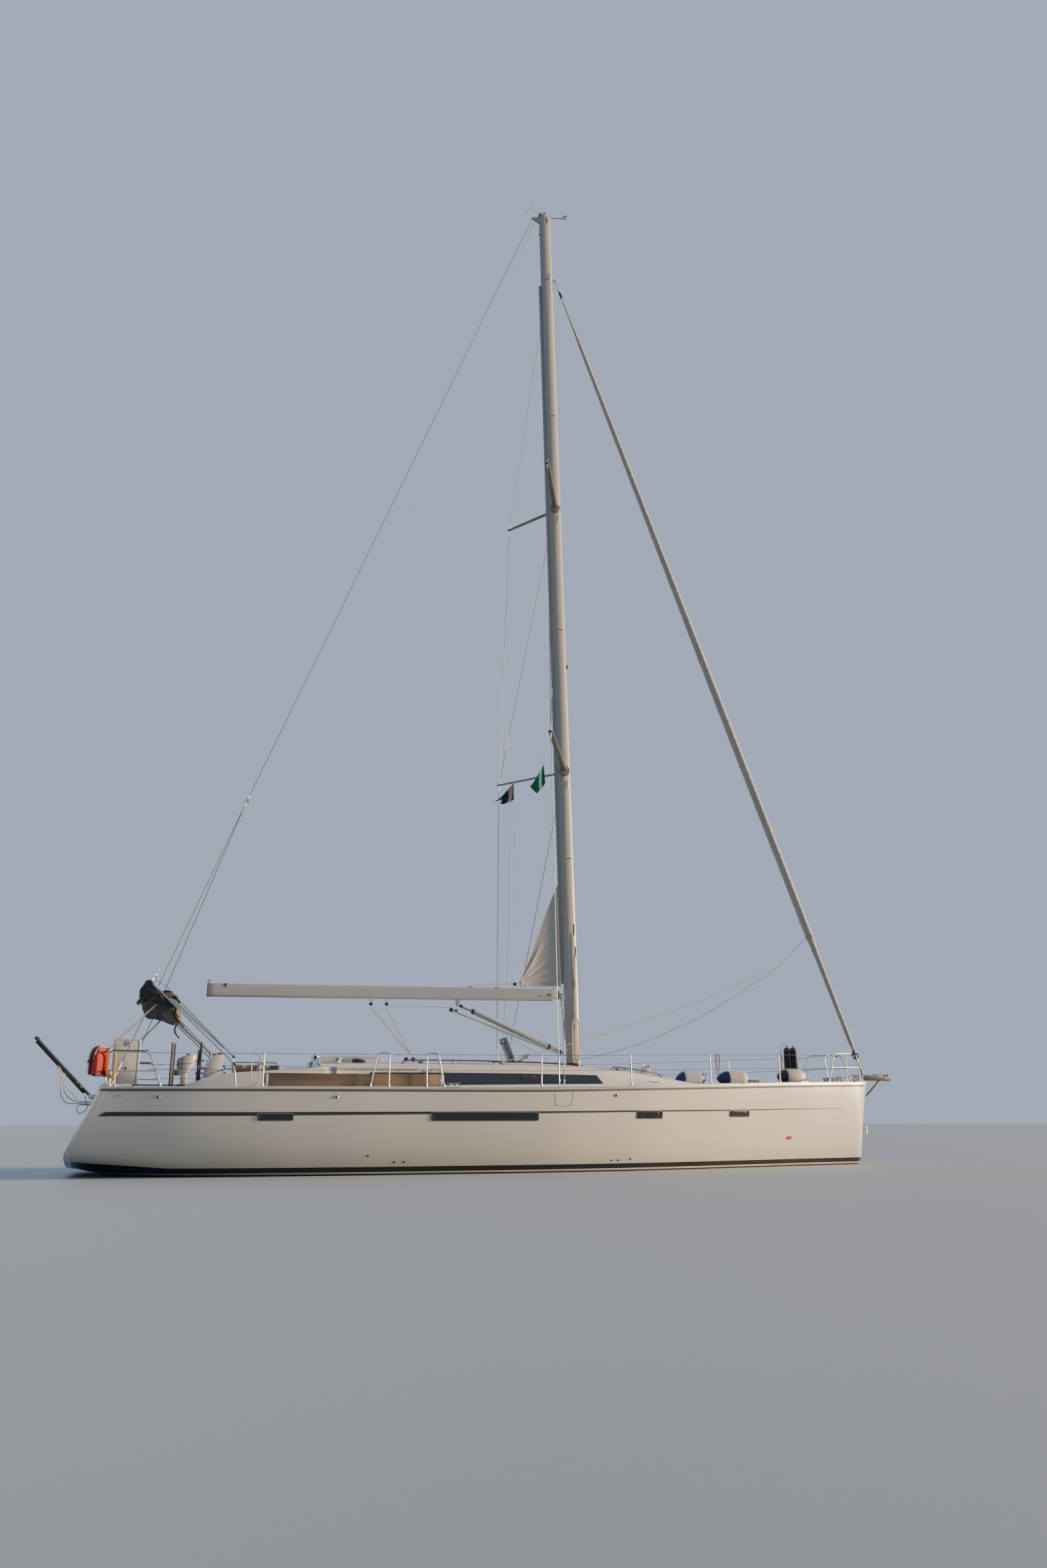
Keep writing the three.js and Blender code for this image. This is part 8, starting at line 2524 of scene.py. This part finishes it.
def build_winch(name, where, side):
    """Self-tailing winch: base, waisted drum with grip, tailing jaws and a key socket on top."""
    x, y, z, radius, high = WINCHES[name]
    foot = Vector((x, side * y, z - 0.001))
    piece = Piece(f"{name}_winch_drum_{where}", slot="steel")
    top = foot + UP
    piece.add(BLACK, turned([(0, 0), (radius, 0), (radius, 0.012), (radius * 0.9, 0.016),
        (0, 0.016)], foot, top, 40))
    piece.add(STEEL, turned([(0, 0.014), (radius * 0.93, 0.016), (radius * 0.9, 0.03),
        (radius * 0.66, high * 0.38), (radius * 0.62, high * 0.5), (radius * 0.66, high * 0.6),
        (radius * 0.86, high * 0.7), (radius * 0.88, high * 0.73), (0, high * 0.73)], foot, top, 48))
    for level_of in (0.76, 0.87):
        piece.add(DULL_STEEL, turned([(0, 0), (radius * 0.92, 0.0), (radius * 0.92, 0.004),
            (radius * 0.6, 0.009), (0, 0.009)], foot + UP * high * level_of, top + UP, 44))
    piece.add(BLACK, turned([(0, 0), (radius * 0.7, 0), (radius * 0.7, high * 0.06),
        (radius * 0.5, high * 0.075), (0, high * 0.075)], foot + UP * high * 0.92, top + UP, 40))
    piece.add(STEEL, turned([(0, 0), (radius * 0.3, 0), (radius * 0.3, 0.004), (radius * 0.17, 0.0045),
        (radius * 0.17, -0.0005), (0, -0.0005)], foot + UP * high * 0.994, top + UP, 24))
    arm = block((-0.008, radius * 0.4, 0), (0.008, radius * 1.02, 0.006), 0.003)
    turn = Matrix.Rotation(1.1 * side, 4, "Z")
    piece.add(STEEL, moved(arm, Matrix.Translation(foot + UP * high * 0.9) @ turn))
    for i in range(18):
        aim = spoke(i, 18, "Z", (radius * 0.645, 0, 0))
        piece.add(STEEL, rod(foot + aim + UP * high * 0.34, foot + aim + UP * high * 0.6, 0.0022, 6))
    piece.done(f"{name}_winch_{where}")


def build_table():
    piece = Piece("table_body", slot="gelcoat")
    low, high = (-5.42, -0.13, 1.555), (-4.56, 0.13, 1.885)
    piece.add(WHITE, block(low, high, 0.028, 4), block((-5.24, -0.09, 1.125), (-4.74, 0.09, 1.56), 0.03, 3))
    piece.add(TEAK, slab(-5.36, -4.62, -0.1, 0.1, 1.8845, 0.006, 0.03, 0.002))
    for x in (-5.2, -4.98, -4.76):
        piece.add(BLACK, rod((x, 0, 1.889), (x, 0, 1.893), 0.036, 24))
        piece.add(STEEL, ring((x, 0, 1.8925), UP, 0.037, 0.0024, 32, 8))
    rail = [(-5.38, 0, 1.88), (-5.38, 0, 1.96), (-4.6, 0, 1.96), (-4.6, 0, 1.88)]
    piece.add(STEEL, tube(rounded_route(rail, 0.05, 8), 0.014, 16))
    for x in (-5.38, -4.6):
        piece.add(STEEL, turned([(0, 0), (0.03, 0), (0.03, 0.004), (0.017, 0.012), (0, 0.012)],
            (x, 0, 1.8845), (x, 0, 3), 20))
    for x in (-5.4215, -4.5585):
        for y0, y1 in ((-0.154, 0), (0, 0.154)):
            piece.add(STEEL, block((x - 0.008, y0, 1.868), (x + 0.008, y1, 1.91), 0.006))
    piece.add(GREY_LINE, plate(rounded_rect(-5.1, -4.88, 1.66, 1.8, 0.02), 0.002, across_y(-0.1295)))
    piece.done("cockpit_table")
    for name, side in SIDES.items():
        leaf = Piece(f"folding_leaf_{name}", f"leaf_{name}", "teak")
        y = side * 0.1413
        leaf.add(TEAK_LEAF, plate(rounded_rect(-5.3957, -4.5843, 1.54, 1.9, 0.03), 0.022,
            across_y(y + 0.011), 0.006, 3))
        leaf.add(STEEL, rod((-5.39, y, 1.9), (-4.59, y, 1.9), 0.0108, 16))
        for x in (-5.2, -4.78):
            leaf.add(STEEL, block((x - 0.04, y - 0.0125, 1.84), (x + 0.04, y + 0.0125, 1.9), 0.003))
        leaf.done(f"table_leaf_{name}")


def build_wheel(where, side):
    """Steering wheel with a stitched leather rim, on the pedestal's shaft."""
    centre = Vector((-6.02, side * 1.17, 1.8))
    piece = Piece(f"helm_wheel_{where}", f"wheel_{where}", "steel")
    piece.add(LEATHER, ring(centre, FORWARD, 0.43, 0.0168, 120, 16))
    for i in range(60):
        aim, tip = (spoke(place, 60, "X", (0, 0, 0.4145)) for place in (i, i + 0.5))
        piece.add(PIPING, rod(centre + aim + Vector((-0.004, 0, 0)),
            centre + tip + Vector((0.004, 0, 0)), 0.0012, 5))
    for i in range(5):
        aim = spoke(i, 5, "X", UP)
        piece.add(STEEL, tube([centre + aim * 0.03, centre + aim * 0.22, centre + aim * 0.42], 0.0085, 12,
            lambda t: 1.15 - 0.3 * t), ring(centre + aim * 0.412, aim, 0.0105, 0.003, 16, 6))
    king = centre + Vector((0, 0, 0.43))
    for y in (-0.012, 0, 0.012):
        piece.add(PIPING, ring(king + Vector((0, y, -abs(y) * 0.03)), PORT, 0.0185, 0.0032, 18, 6))
    piece.add(STEEL, turned([(0, -0.03), (0.03, -0.03), (0.046, -0.015), (0.048, 0), (0.046, 0.02),
        (0.03, 0.03), (0, 0.03)], centre, centre + Vector((1, 0, 0)), 32))
    piece.add(BLACK, turned([(0, 0), (0.03, 0), (0.026, 0.012), (0, 0.016)], centre - Vector((0.028, 0, 0)),
        centre - Vector((1, 0, 0)), 28))
    piece.add(DULL_STEEL, rod(centre, centre + Vector((0.118, 0, 0)), 0.0215, 24))
    piece.done(f"steering_wheel_{where}")
    pod = Piece(f"helm_pod_{where}")
    y = side * 1.17
    pod.add(BLACK, slab(-5.88, -5.66, y - 0.14, y + 0.14, 2.026, 0.008, 0.04, 0.003))
    pod.add(GLASS, slab(-5.85, -5.72, y - 0.11, y + 0.11, 2.0335, 0.003, 0.02, 0.001))
    grip = [(-5.86, y - 0.15, 1.95), (-5.84, y - 0.15, 2.06), (-5.84, y + 0.15, 2.06), (-5.86, y + 0.15, 1.95)]
    pod.add(STEEL, tube(rounded_route(grip, 0.04), 0.0125, 14))
    pod.add(BLACK, turned([(0, 0), (0.05, 0), (0.05, 0.012), (0.042, 0.02), (0, 0.02)],
        (-5.69, y, 2.034), (-5.69, y, 3), 28))
    pod.add(GLASS, ball((-5.69, y, 2.046), 0.038, (1, 1, 0.62), 10))
    pod.done()


def build_gangplank():
    """Long weathered plank lashed inside the starboard stanchions."""
    piece = Piece("deck_plank", slot="plank")
    piece.add(PLANK, copy_of("gangplank", 0.006))
    low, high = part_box("gangplank")
    for x in (low.x + 0.06, high.x - 0.06):
        piece.add(DULL_STEEL, block((x - 0.02, low.y - 0.0015, low.z + 0.01),
            (x + 0.02, low.y + 0.02, high.z - 0.01), 0.003))
    piece.done("gangplank")


WINDLASS_GREY = painted("windlass_case", (0.26, 0.30, 0.36), 0.4)
CHAIN = steel("galvanised_chain", (0.36, 0.36, 0.35), 0.5)
BLUE_VINYL = moulded("blue_vinyl", (0.008, 0.016, 0.11), 0.35, 90)
DARK_VINYL = moulded("black_vinyl", (0.012, 0.013, 0.02), 0.35, 90)
TEAK_LEAF = planks("teak_leaf", (0.36, 0.235, 0.125), (0.012, 0.011, 0.010), 0.06, "Z", gap=0.045)
build_bow_fitting()
build_windlass()
for fender in FENDERS:
    build_fender(fender)
covered = build_upright_fenders()
for where, sign in SIDES.items():
    for kind in WINCHES:
        build_winch(kind, where, sign)
    build_wheel(where, sign)
build_table()
build_gangplank()


# Keel, rudder, drive and engine
def finish_node(node, finish, name, body="hull", slot=None, radius=0.003, sharp=35):
    Piece(name, body, slot).add(finish, copy_of(node, radius, 2, sharp)).done(node, sharp=sharp)


finish_node("keel", IRON, "keel_and_bulb", slot="lead", radius=0.0)
finish_node("rudder", ANTIFOUL, "rudder_blade", "rudder", "antifouling", 0.0)
finish_node("saildrive_leg", GREY_ALLOY, "drive_leg", slot="grey_alloy", radius=0.004)
finish_node("propeller", BRONZE, "folding_propeller", "propeller", "bronze", 0.0015)
finish_node("thruster_propeller", BLACK, "thruster_blades", "thruster", "black", 0.0015)
finish_node("engine_block", ENGINE_GREY, "diesel_engine", slot="engine", radius=0.006)


# Ropes
def lay_rope(name, finish, route, radius, body="hull"):
    """Free rope along a route."""
    piece = Piece(name, body).add(finish, tube(route, radius, 10)).done()
    if not body:
        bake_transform(piece)
    tuple(route[0])
    round(route_length(route), 3)
    2 * radius
    [tuple(point) for point in route]
    return piece


def hanging_loops(top, along, wide, drop, turns, step, points=20):
    """Route of a rope wound in long round-ended loops that hang from one place, each turn beside the last."""
    along = Vector(along).normalized()
    across = along.cross(UP).normalized()
    route = []
    for i in range(turns * points + 1):
        turn = i / points
        angle = turn * 2 * math.pi
        radius = wide / 2 * (0.9 + 0.1 * math.sin(turn * 1.7 + 1))
        long = drop * (1 + 0.05 * math.sin(turn * 2.4)) - 2 * radius
        share = min(max(0.5 - 1.1 * math.cos(angle), 0), 1)
        fall = radius * (1 - math.cos(angle)) + long * share * share * (3 - 2 * share)
        route.append(Vector(top) - UP * fall + along * radius * math.sin(angle) + across * step * turn)
    return route


def flat_coil(centre, across, thick, turns, lift, points=16):
    """Route of a rope coiled on deck, its turns on and beside each other."""
    route = []
    for i in range(turns * points + 1):
        turn = i / points
        angle = turn * 2 * math.pi
        radius = across / 2 + thick * (0.5 * math.sin(turn * 2.1) + 0.3 * math.sin(turn * 3.7))
        route.append(Vector(centre) + Vector((radius * math.cos(angle), radius * math.sin(angle) * 0.82,
            lift * turn + thick / 2)))
    return route


def build_headsail_sheets():
    start = on_stay(2.87, -0.4, roll_radius(2.87) + 0.012)
    places = ((-0.6, -1.12), (-0.95, -1.13), (-1.35, -1.12))
    on_roof = [Vector((x, y, roof_height(x, y) + 0.0095)) for x, y in places]
    route = smooth_route([start, (6.195, -0.3, 4.193), (5.375, -0.4, 3.863), (4.174, -0.55, 3.36),
        (2.564, -0.8, 2.82), (1.5, -0.98, 2.485), (0.5, -1.08, 2.225), *on_roof], 44)
    lay_rope("starboard_headsail_sheet", ROPE, route, 0.0075)
    start = on_stay(3.19, 0.5, roll_radius(3.19) + 0.012)
    clutch = Vector((-1.25, roof_half(-1.25) + 0.12, deck_height(-1.25, 1.6) + 0.1))
    route = smooth_route([start, (6.1, 0.02, 4.1), (5.5, 0.12, 3.72), (4.395, 0.4, 3.054), (3.17, 0.85, 2.5),
        (2.114, 1.2, 2.2), (1.0, 1.4, 2.05), (-0.3, 1.6, 1.9), clutch], 40)
    lay_rope("port_headsail_sheet", ROPE, route, 0.0065)


def mast_line(*places):
    return [on_mast(*place) for place in places]


def build_running_rigging():
    piece = Piece("halyards")
    for finish, radius, points in (
        (CREAM_ROPE, 0.005, [(-5.96, 0, 3.46), (-5.9, 0, 3.66), (0.62, 0, 22.93)]),
        (CREAM_ROPE, 0.003, [(-6.86, 0, 3.69), (-6.75, 0, 3.92), (-5.52, 0, 6.95)]),
        (CREAM_ROPE, 0.003, [(0.36, 1.07, 8.33), (0.6, 1.6, 4.86), (0.44, 2.15, 1.66)]),
        (DARK_ROPE, 0.003, [(0.34, 1.3, 8.35), (0.46, 1.75, 4.9), (0.39, 2.17, 1.66)]),
        (CREAM_ROPE, 0.003, [(0.36, -1.1, 8.33), (0.48, -1.65, 5.0), (0.43, -2.16, 1.66)]),
        (CREAM_ROPE, 0.006, mast_line((0.06, -0.082, 4.68), (0.05, -0.084, 3.9), (0.03, -0.086, 2.86))),
        (RED_WHITE_ROPE, 0.006, mast_line((0.108, -0.07, 4.22), (0.09, -0.084, 3.6), (0.05, -0.088, 2.9))),
        (GREEN_ROPE, 0.005, mast_line((-0.155, -0.03, 22.8), (-0.165, -0.035, 12), (-0.17, -0.035, 2.35))),
        (RED_ROPE, 0.005, [(1.09, -0.045, 3.3), (1.12, -0.05, 2.8), (1.15, -0.04, 2.03)]),
        (RED_ROPE, 0.005, [(1.07, -0.02, 3.27), (1.14, -0.02, 2.8), (1.13, -0.02, 2.03)]),
        (CREAM_ROPE, 0.006, [*mast_line((0.15, -0.02, 2.72), (0.2, -0.05, 2.35)),
            (1.66, -0.12, lead_height(1.66, 0.12))]),
        (CREAM_ROPE, 0.005, [on_stay(20.2, 0, 0.02), *mast_line((0.2, 0.0, 21.05), (0.15, 0, 21.15))]),
    ):
        places = [Vector(point) for point in points]
        first = [mix(places[0], places[1], i / 6) for i in range(6)]
        piece.add(finish, tube(first + [mix(places[1], places[2], i / 12) for i in range(13)], radius, 8))
    piece.add(RED_ROPE, ring((-5.955, 0, 3.455), PORT, 0.02, 0.006, 18, 8))
    piece.done()


def lead_height(x, y):
    return roof_height(x, y) + 0.006


ROOF_COILS = [
    (-3.72, -0.42, DARK_ROPE, 0.012, 5), (-3.45, -0.5, ROPE, 0.012, 4), (-3.0, -0.62, DARK_ROPE, 0.012, 4),
    (-2.72, -0.5, CREAM_ROPE, 0.01, 5), (-3.72, 0.45, GREEN_ROPE, 0.012, 5), (-3.1, 0.6, ROPE, 0.012, 4),
]


def build_rope_stowage():
    hank = hanging_loops(on_mast(0.03, -0.1, 2.9), (1, 0, 0.0), 0.17, 0.84, 4, 0.0125)
    lay_rope("mast_hank", CREAM_ROPE, hank, 0.006)
    hank = hanging_loops(rail_point(-4.996, -1, 0.53) + Vector((-0.13, 0.012, 0)),
        FORWARD, 0.15, 0.5, 4, 0.0125)
    lay_rope("winch_hank", RED_WHITE_ROPE, hank, 0.006)
    hank = hanging_loops((-7.44, -2.075, 2.0), (1, -0.1, 0), 0.145, 0.4, 7, 0.0115)
    lay_rope("buoy_line", YELLOW_ROPE, hank, 0.0055)
    for i, (x, y, finish, thick, turns) in enumerate(ROOF_COILS):
        floor = heap_floor(x, y)
        coil = flat_coil((x, y, floor), thick * 11, thick * 1.1, turns, thick * 0.9)
        lay_rope(f"roof_coil_{i}", finish, coil, thick / 2)
    gear = Piece("side_block")
    centre = Vector((-2.1, -(roof_half(-2.1) + 0.02), 1.77))
    add_block(gear, centre, PORT, 0.036, STEEL)
    gear.add(STEEL, rod(centre + Vector((0, 0.04, -0.01)), centre, 0.008, 10))
    gear.done()
    tail = [(0.03, -0.01, -0.02), (0.12, -0.02, 0.0), (0.22, -0.02, 0.045), (0.29, -0.02, 0.0),
        (0.22, -0.02, -0.055), (0.1, -0.03, -0.06)]
    lay_rope("side_tail", MAROON_ROPE, smooth_route([centre + Vector(step) for step in tail], 30), 0.006)
    aft = [roof_side(x, 1.8, -1, 0.02) for x in (-4.6, -4.0, -3.3, -2.7, -2.15)]
    lay_rope("side_line", DARK_ROPE, smooth_route(aft, 24), 0.005)


def heap_floor(x, y):
    """Top of the sliding hatch's cover or of the coachroof below a coil."""
    low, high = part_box("companion_hatch")
    return high.z if low.x < x < high.x and abs(y) < high.y else roof_height(x, y)


def build_lanyards():
    for name, tie_x, end_x in (("a", 3.78, 3.838), ("b", 5.46, 5.54)):
        tie = rail_point(tie_x, -1, 0.53)
        x0, _, y, radius = FENDERS[name]
        end = Vector((end_x, y, deck_height(x0, y) + radius))
        low = mix(tie, end, 0.55) - UP * 0.18
        low.z = max(low.z, deck_height(low.x, low.y) + 0.02)
        hang = [tie + Vector(step) for step in ((0.02, 0.006, 0.02),
            (0.02, -0.012, -0.1), (-0.02, 0.01, -0.3))]
        lay_rope(f"fender_lanyard_{name}", RED_ROPE, smooth_route([*hang, low, end], 30), 0.0045)
        bight = hanging_loops(tie + Vector((-0.02, 0.014, 0.035)), (1, 0.05, 0), 0.078, 0.34, 2, 0.01)
        lay_rope(f"lanyard_bight_{name}", RED_ROPE, bight, 0.0045)
    x, y, floor = covered[0]
    steps = ((0, 0, 0.84), (-0.05, 0.03, 0.9), (-0.13, 0.06, 0.72), (-0.14, 0.05, 0.4), (-0.1, 0.02, 0.04))
    route = smooth_route([(x + ahead, y + across, floor + up) for ahead, across, up in steps], 26)
    lay_rope("covered_fender_lanyard", RED_ROPE, route, 0.0045)


def build_stern_ropes():
    def under(along):
        return Vector((-7.79 - 0.7071 * along, -1.205, 1.31 + 0.7071 * along)) - Vector((0.03, 0, 0.03))
    lines = (
        ("long", 0.74, 1.17, ROPE, 0.0075, [
            (-8.313, 1.742), (-8.281, 1.585), (-8.247, 1.324), (-8.164, 1.209),
            (-8.091, 1.188), (-7.948, 1.185)]),
        ("middle", 0.7, 1.2, ROPE, 0.0075, [
            (-8.262, 1.65), (-8.229, 1.533), (-8.218, 1.428), (-8.155, 1.313),
            (-8.066, 1.246), (-7.951, 1.209)]),
        ("short", 0.58, 1.225, ROPE, 0.005, [(-8.2, 1.6), (-8.204, 1.48), (-8.067, 1.345), (-7.942, 1.23)]),
        ("loop", 0.06, 1.16, DARK_ROPE, 0.0065, [
            (-7.851, 1.24), (-7.815, 1.136), (-7.853, 1.063), (-7.928, 1.025), (-7.977, 1.084), (-7.965, 1.15),
            (-7.9, 1.17)]),
    )
    for i, (name, start, end, finish, radius, middle) in enumerate(lines):
        last = Vector((transom_x(end) - radius - 0.001, -1.17 + 0.017 * i, end))
        route = smooth_route([under(start), *[(x, -1.235 + 0.017 * i, z) for x, z in middle], last], 36)
        full_name = "gangway_loop" if name == "loop" else f"gangway_line_{name}"
        lay_rope(full_name, finish, route, radius, None)


def build_plank_lashings():
    piece = Piece("plank_lashings")
    low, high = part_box("gangplank")
    for x in (-4.99, -3.16, -2.17):
        for i in range(4):
            z = low.z + 0.05 + i * 0.012
            loop = [(x - 0.02, low.y - 0.006, z), (x + 0.02, low.y - 0.006, z + 0.006),
                (x + 0.02, high.y + 0.006, z), (x - 0.02, high.y + 0.006, z)]
            piece.add(CREAM_ROPE, tube(rounded_route([*loop, loop[0]], 0.008), 0.0035, 6))
    piece.done()


# Flags
def fly_flag(name, finish, corners, notch=0.0, folds=3.0, depth=0.03):
    """Cloth between the two corners of its hoist and the two of its fly, in soft folds."""
    top, low, fly_low, fly_top = [Vector(corner) for corner in corners]

    def place(u, w):
        along = u * (1 - notch * (1 - abs(2 * w - 1))) if notch else u
        point = mix(mix(low, top, w), mix(fly_low, fly_top, w), along)
        wave = depth * min(u * 3, 1)
        swing = Vector((0.3, 1, 0)) * wave * math.sin(u * folds * math.pi + w * 2.2)
        return point + swing + Vector((0, 0, -0.03 * math.sin(u * math.pi)))
    made = Piece(name).add(finish, skin(44, 24, place, 0.0008)).done()


MAROON_ROPE = strands("maroon_braid", (0.16, 0.02, 0.03), 0.0, 1.6, 0.8)
BLUE_FLAG = cloth("blue_flag", (0.012, 0.018, 0.06), 900, 0.8, 0.1, 0.15)
GREEN_FLAG = cloth("green_flag", (0.01, 0.16, 0.11), 900, 0.8, 0.1, 0.15)
STRIPED_FLAG = cloth("striped_flag", (0.62, 0.63, 0.66), 900, 0.8, 0.1, 0.15)
stripes = (STRIPED_FLAG.axis("Z") + STRIPED_FLAG.axis("X") * 0.8).wave(0.13).above(0.5, 0.02)
STRIPED_FLAG.set(Base_Color=STRIPED_FLAG.blend(stripes, (0.62, 0.63, 0.66), (0.02, 0.05, 0.30)))
build_running_rigging()
build_headsail_sheets()
build_rope_stowage()
build_lanyards()
build_stern_ropes()
build_plank_lashings()
fly_flag("pennant", BLUE_FLAG, [(0.412, 1.19, 8.267), (0.43, 1.24, 7.885), (0.1, 1.2, 7.74),
    (-0.07, 1.2, 7.75)], 0.25)
fly_flag("green_flag", GREEN_FLAG, [(0.378, -1.17, 7.98), (0.39, -1.23, 7.56), (0.2, -1.25, 7.32),
    (0.06, -1.23, 7.46)], folds=2.2)
fly_flag("ensign", STRIPED_FLAG, [(-6.86, 0.0, 3.69), (-6.93, 0.03, 3.42), (-7.19, 0.12, 2.97),
    (-7.24, -0.1, 3.0)], folds=2.0, depth=0.02)
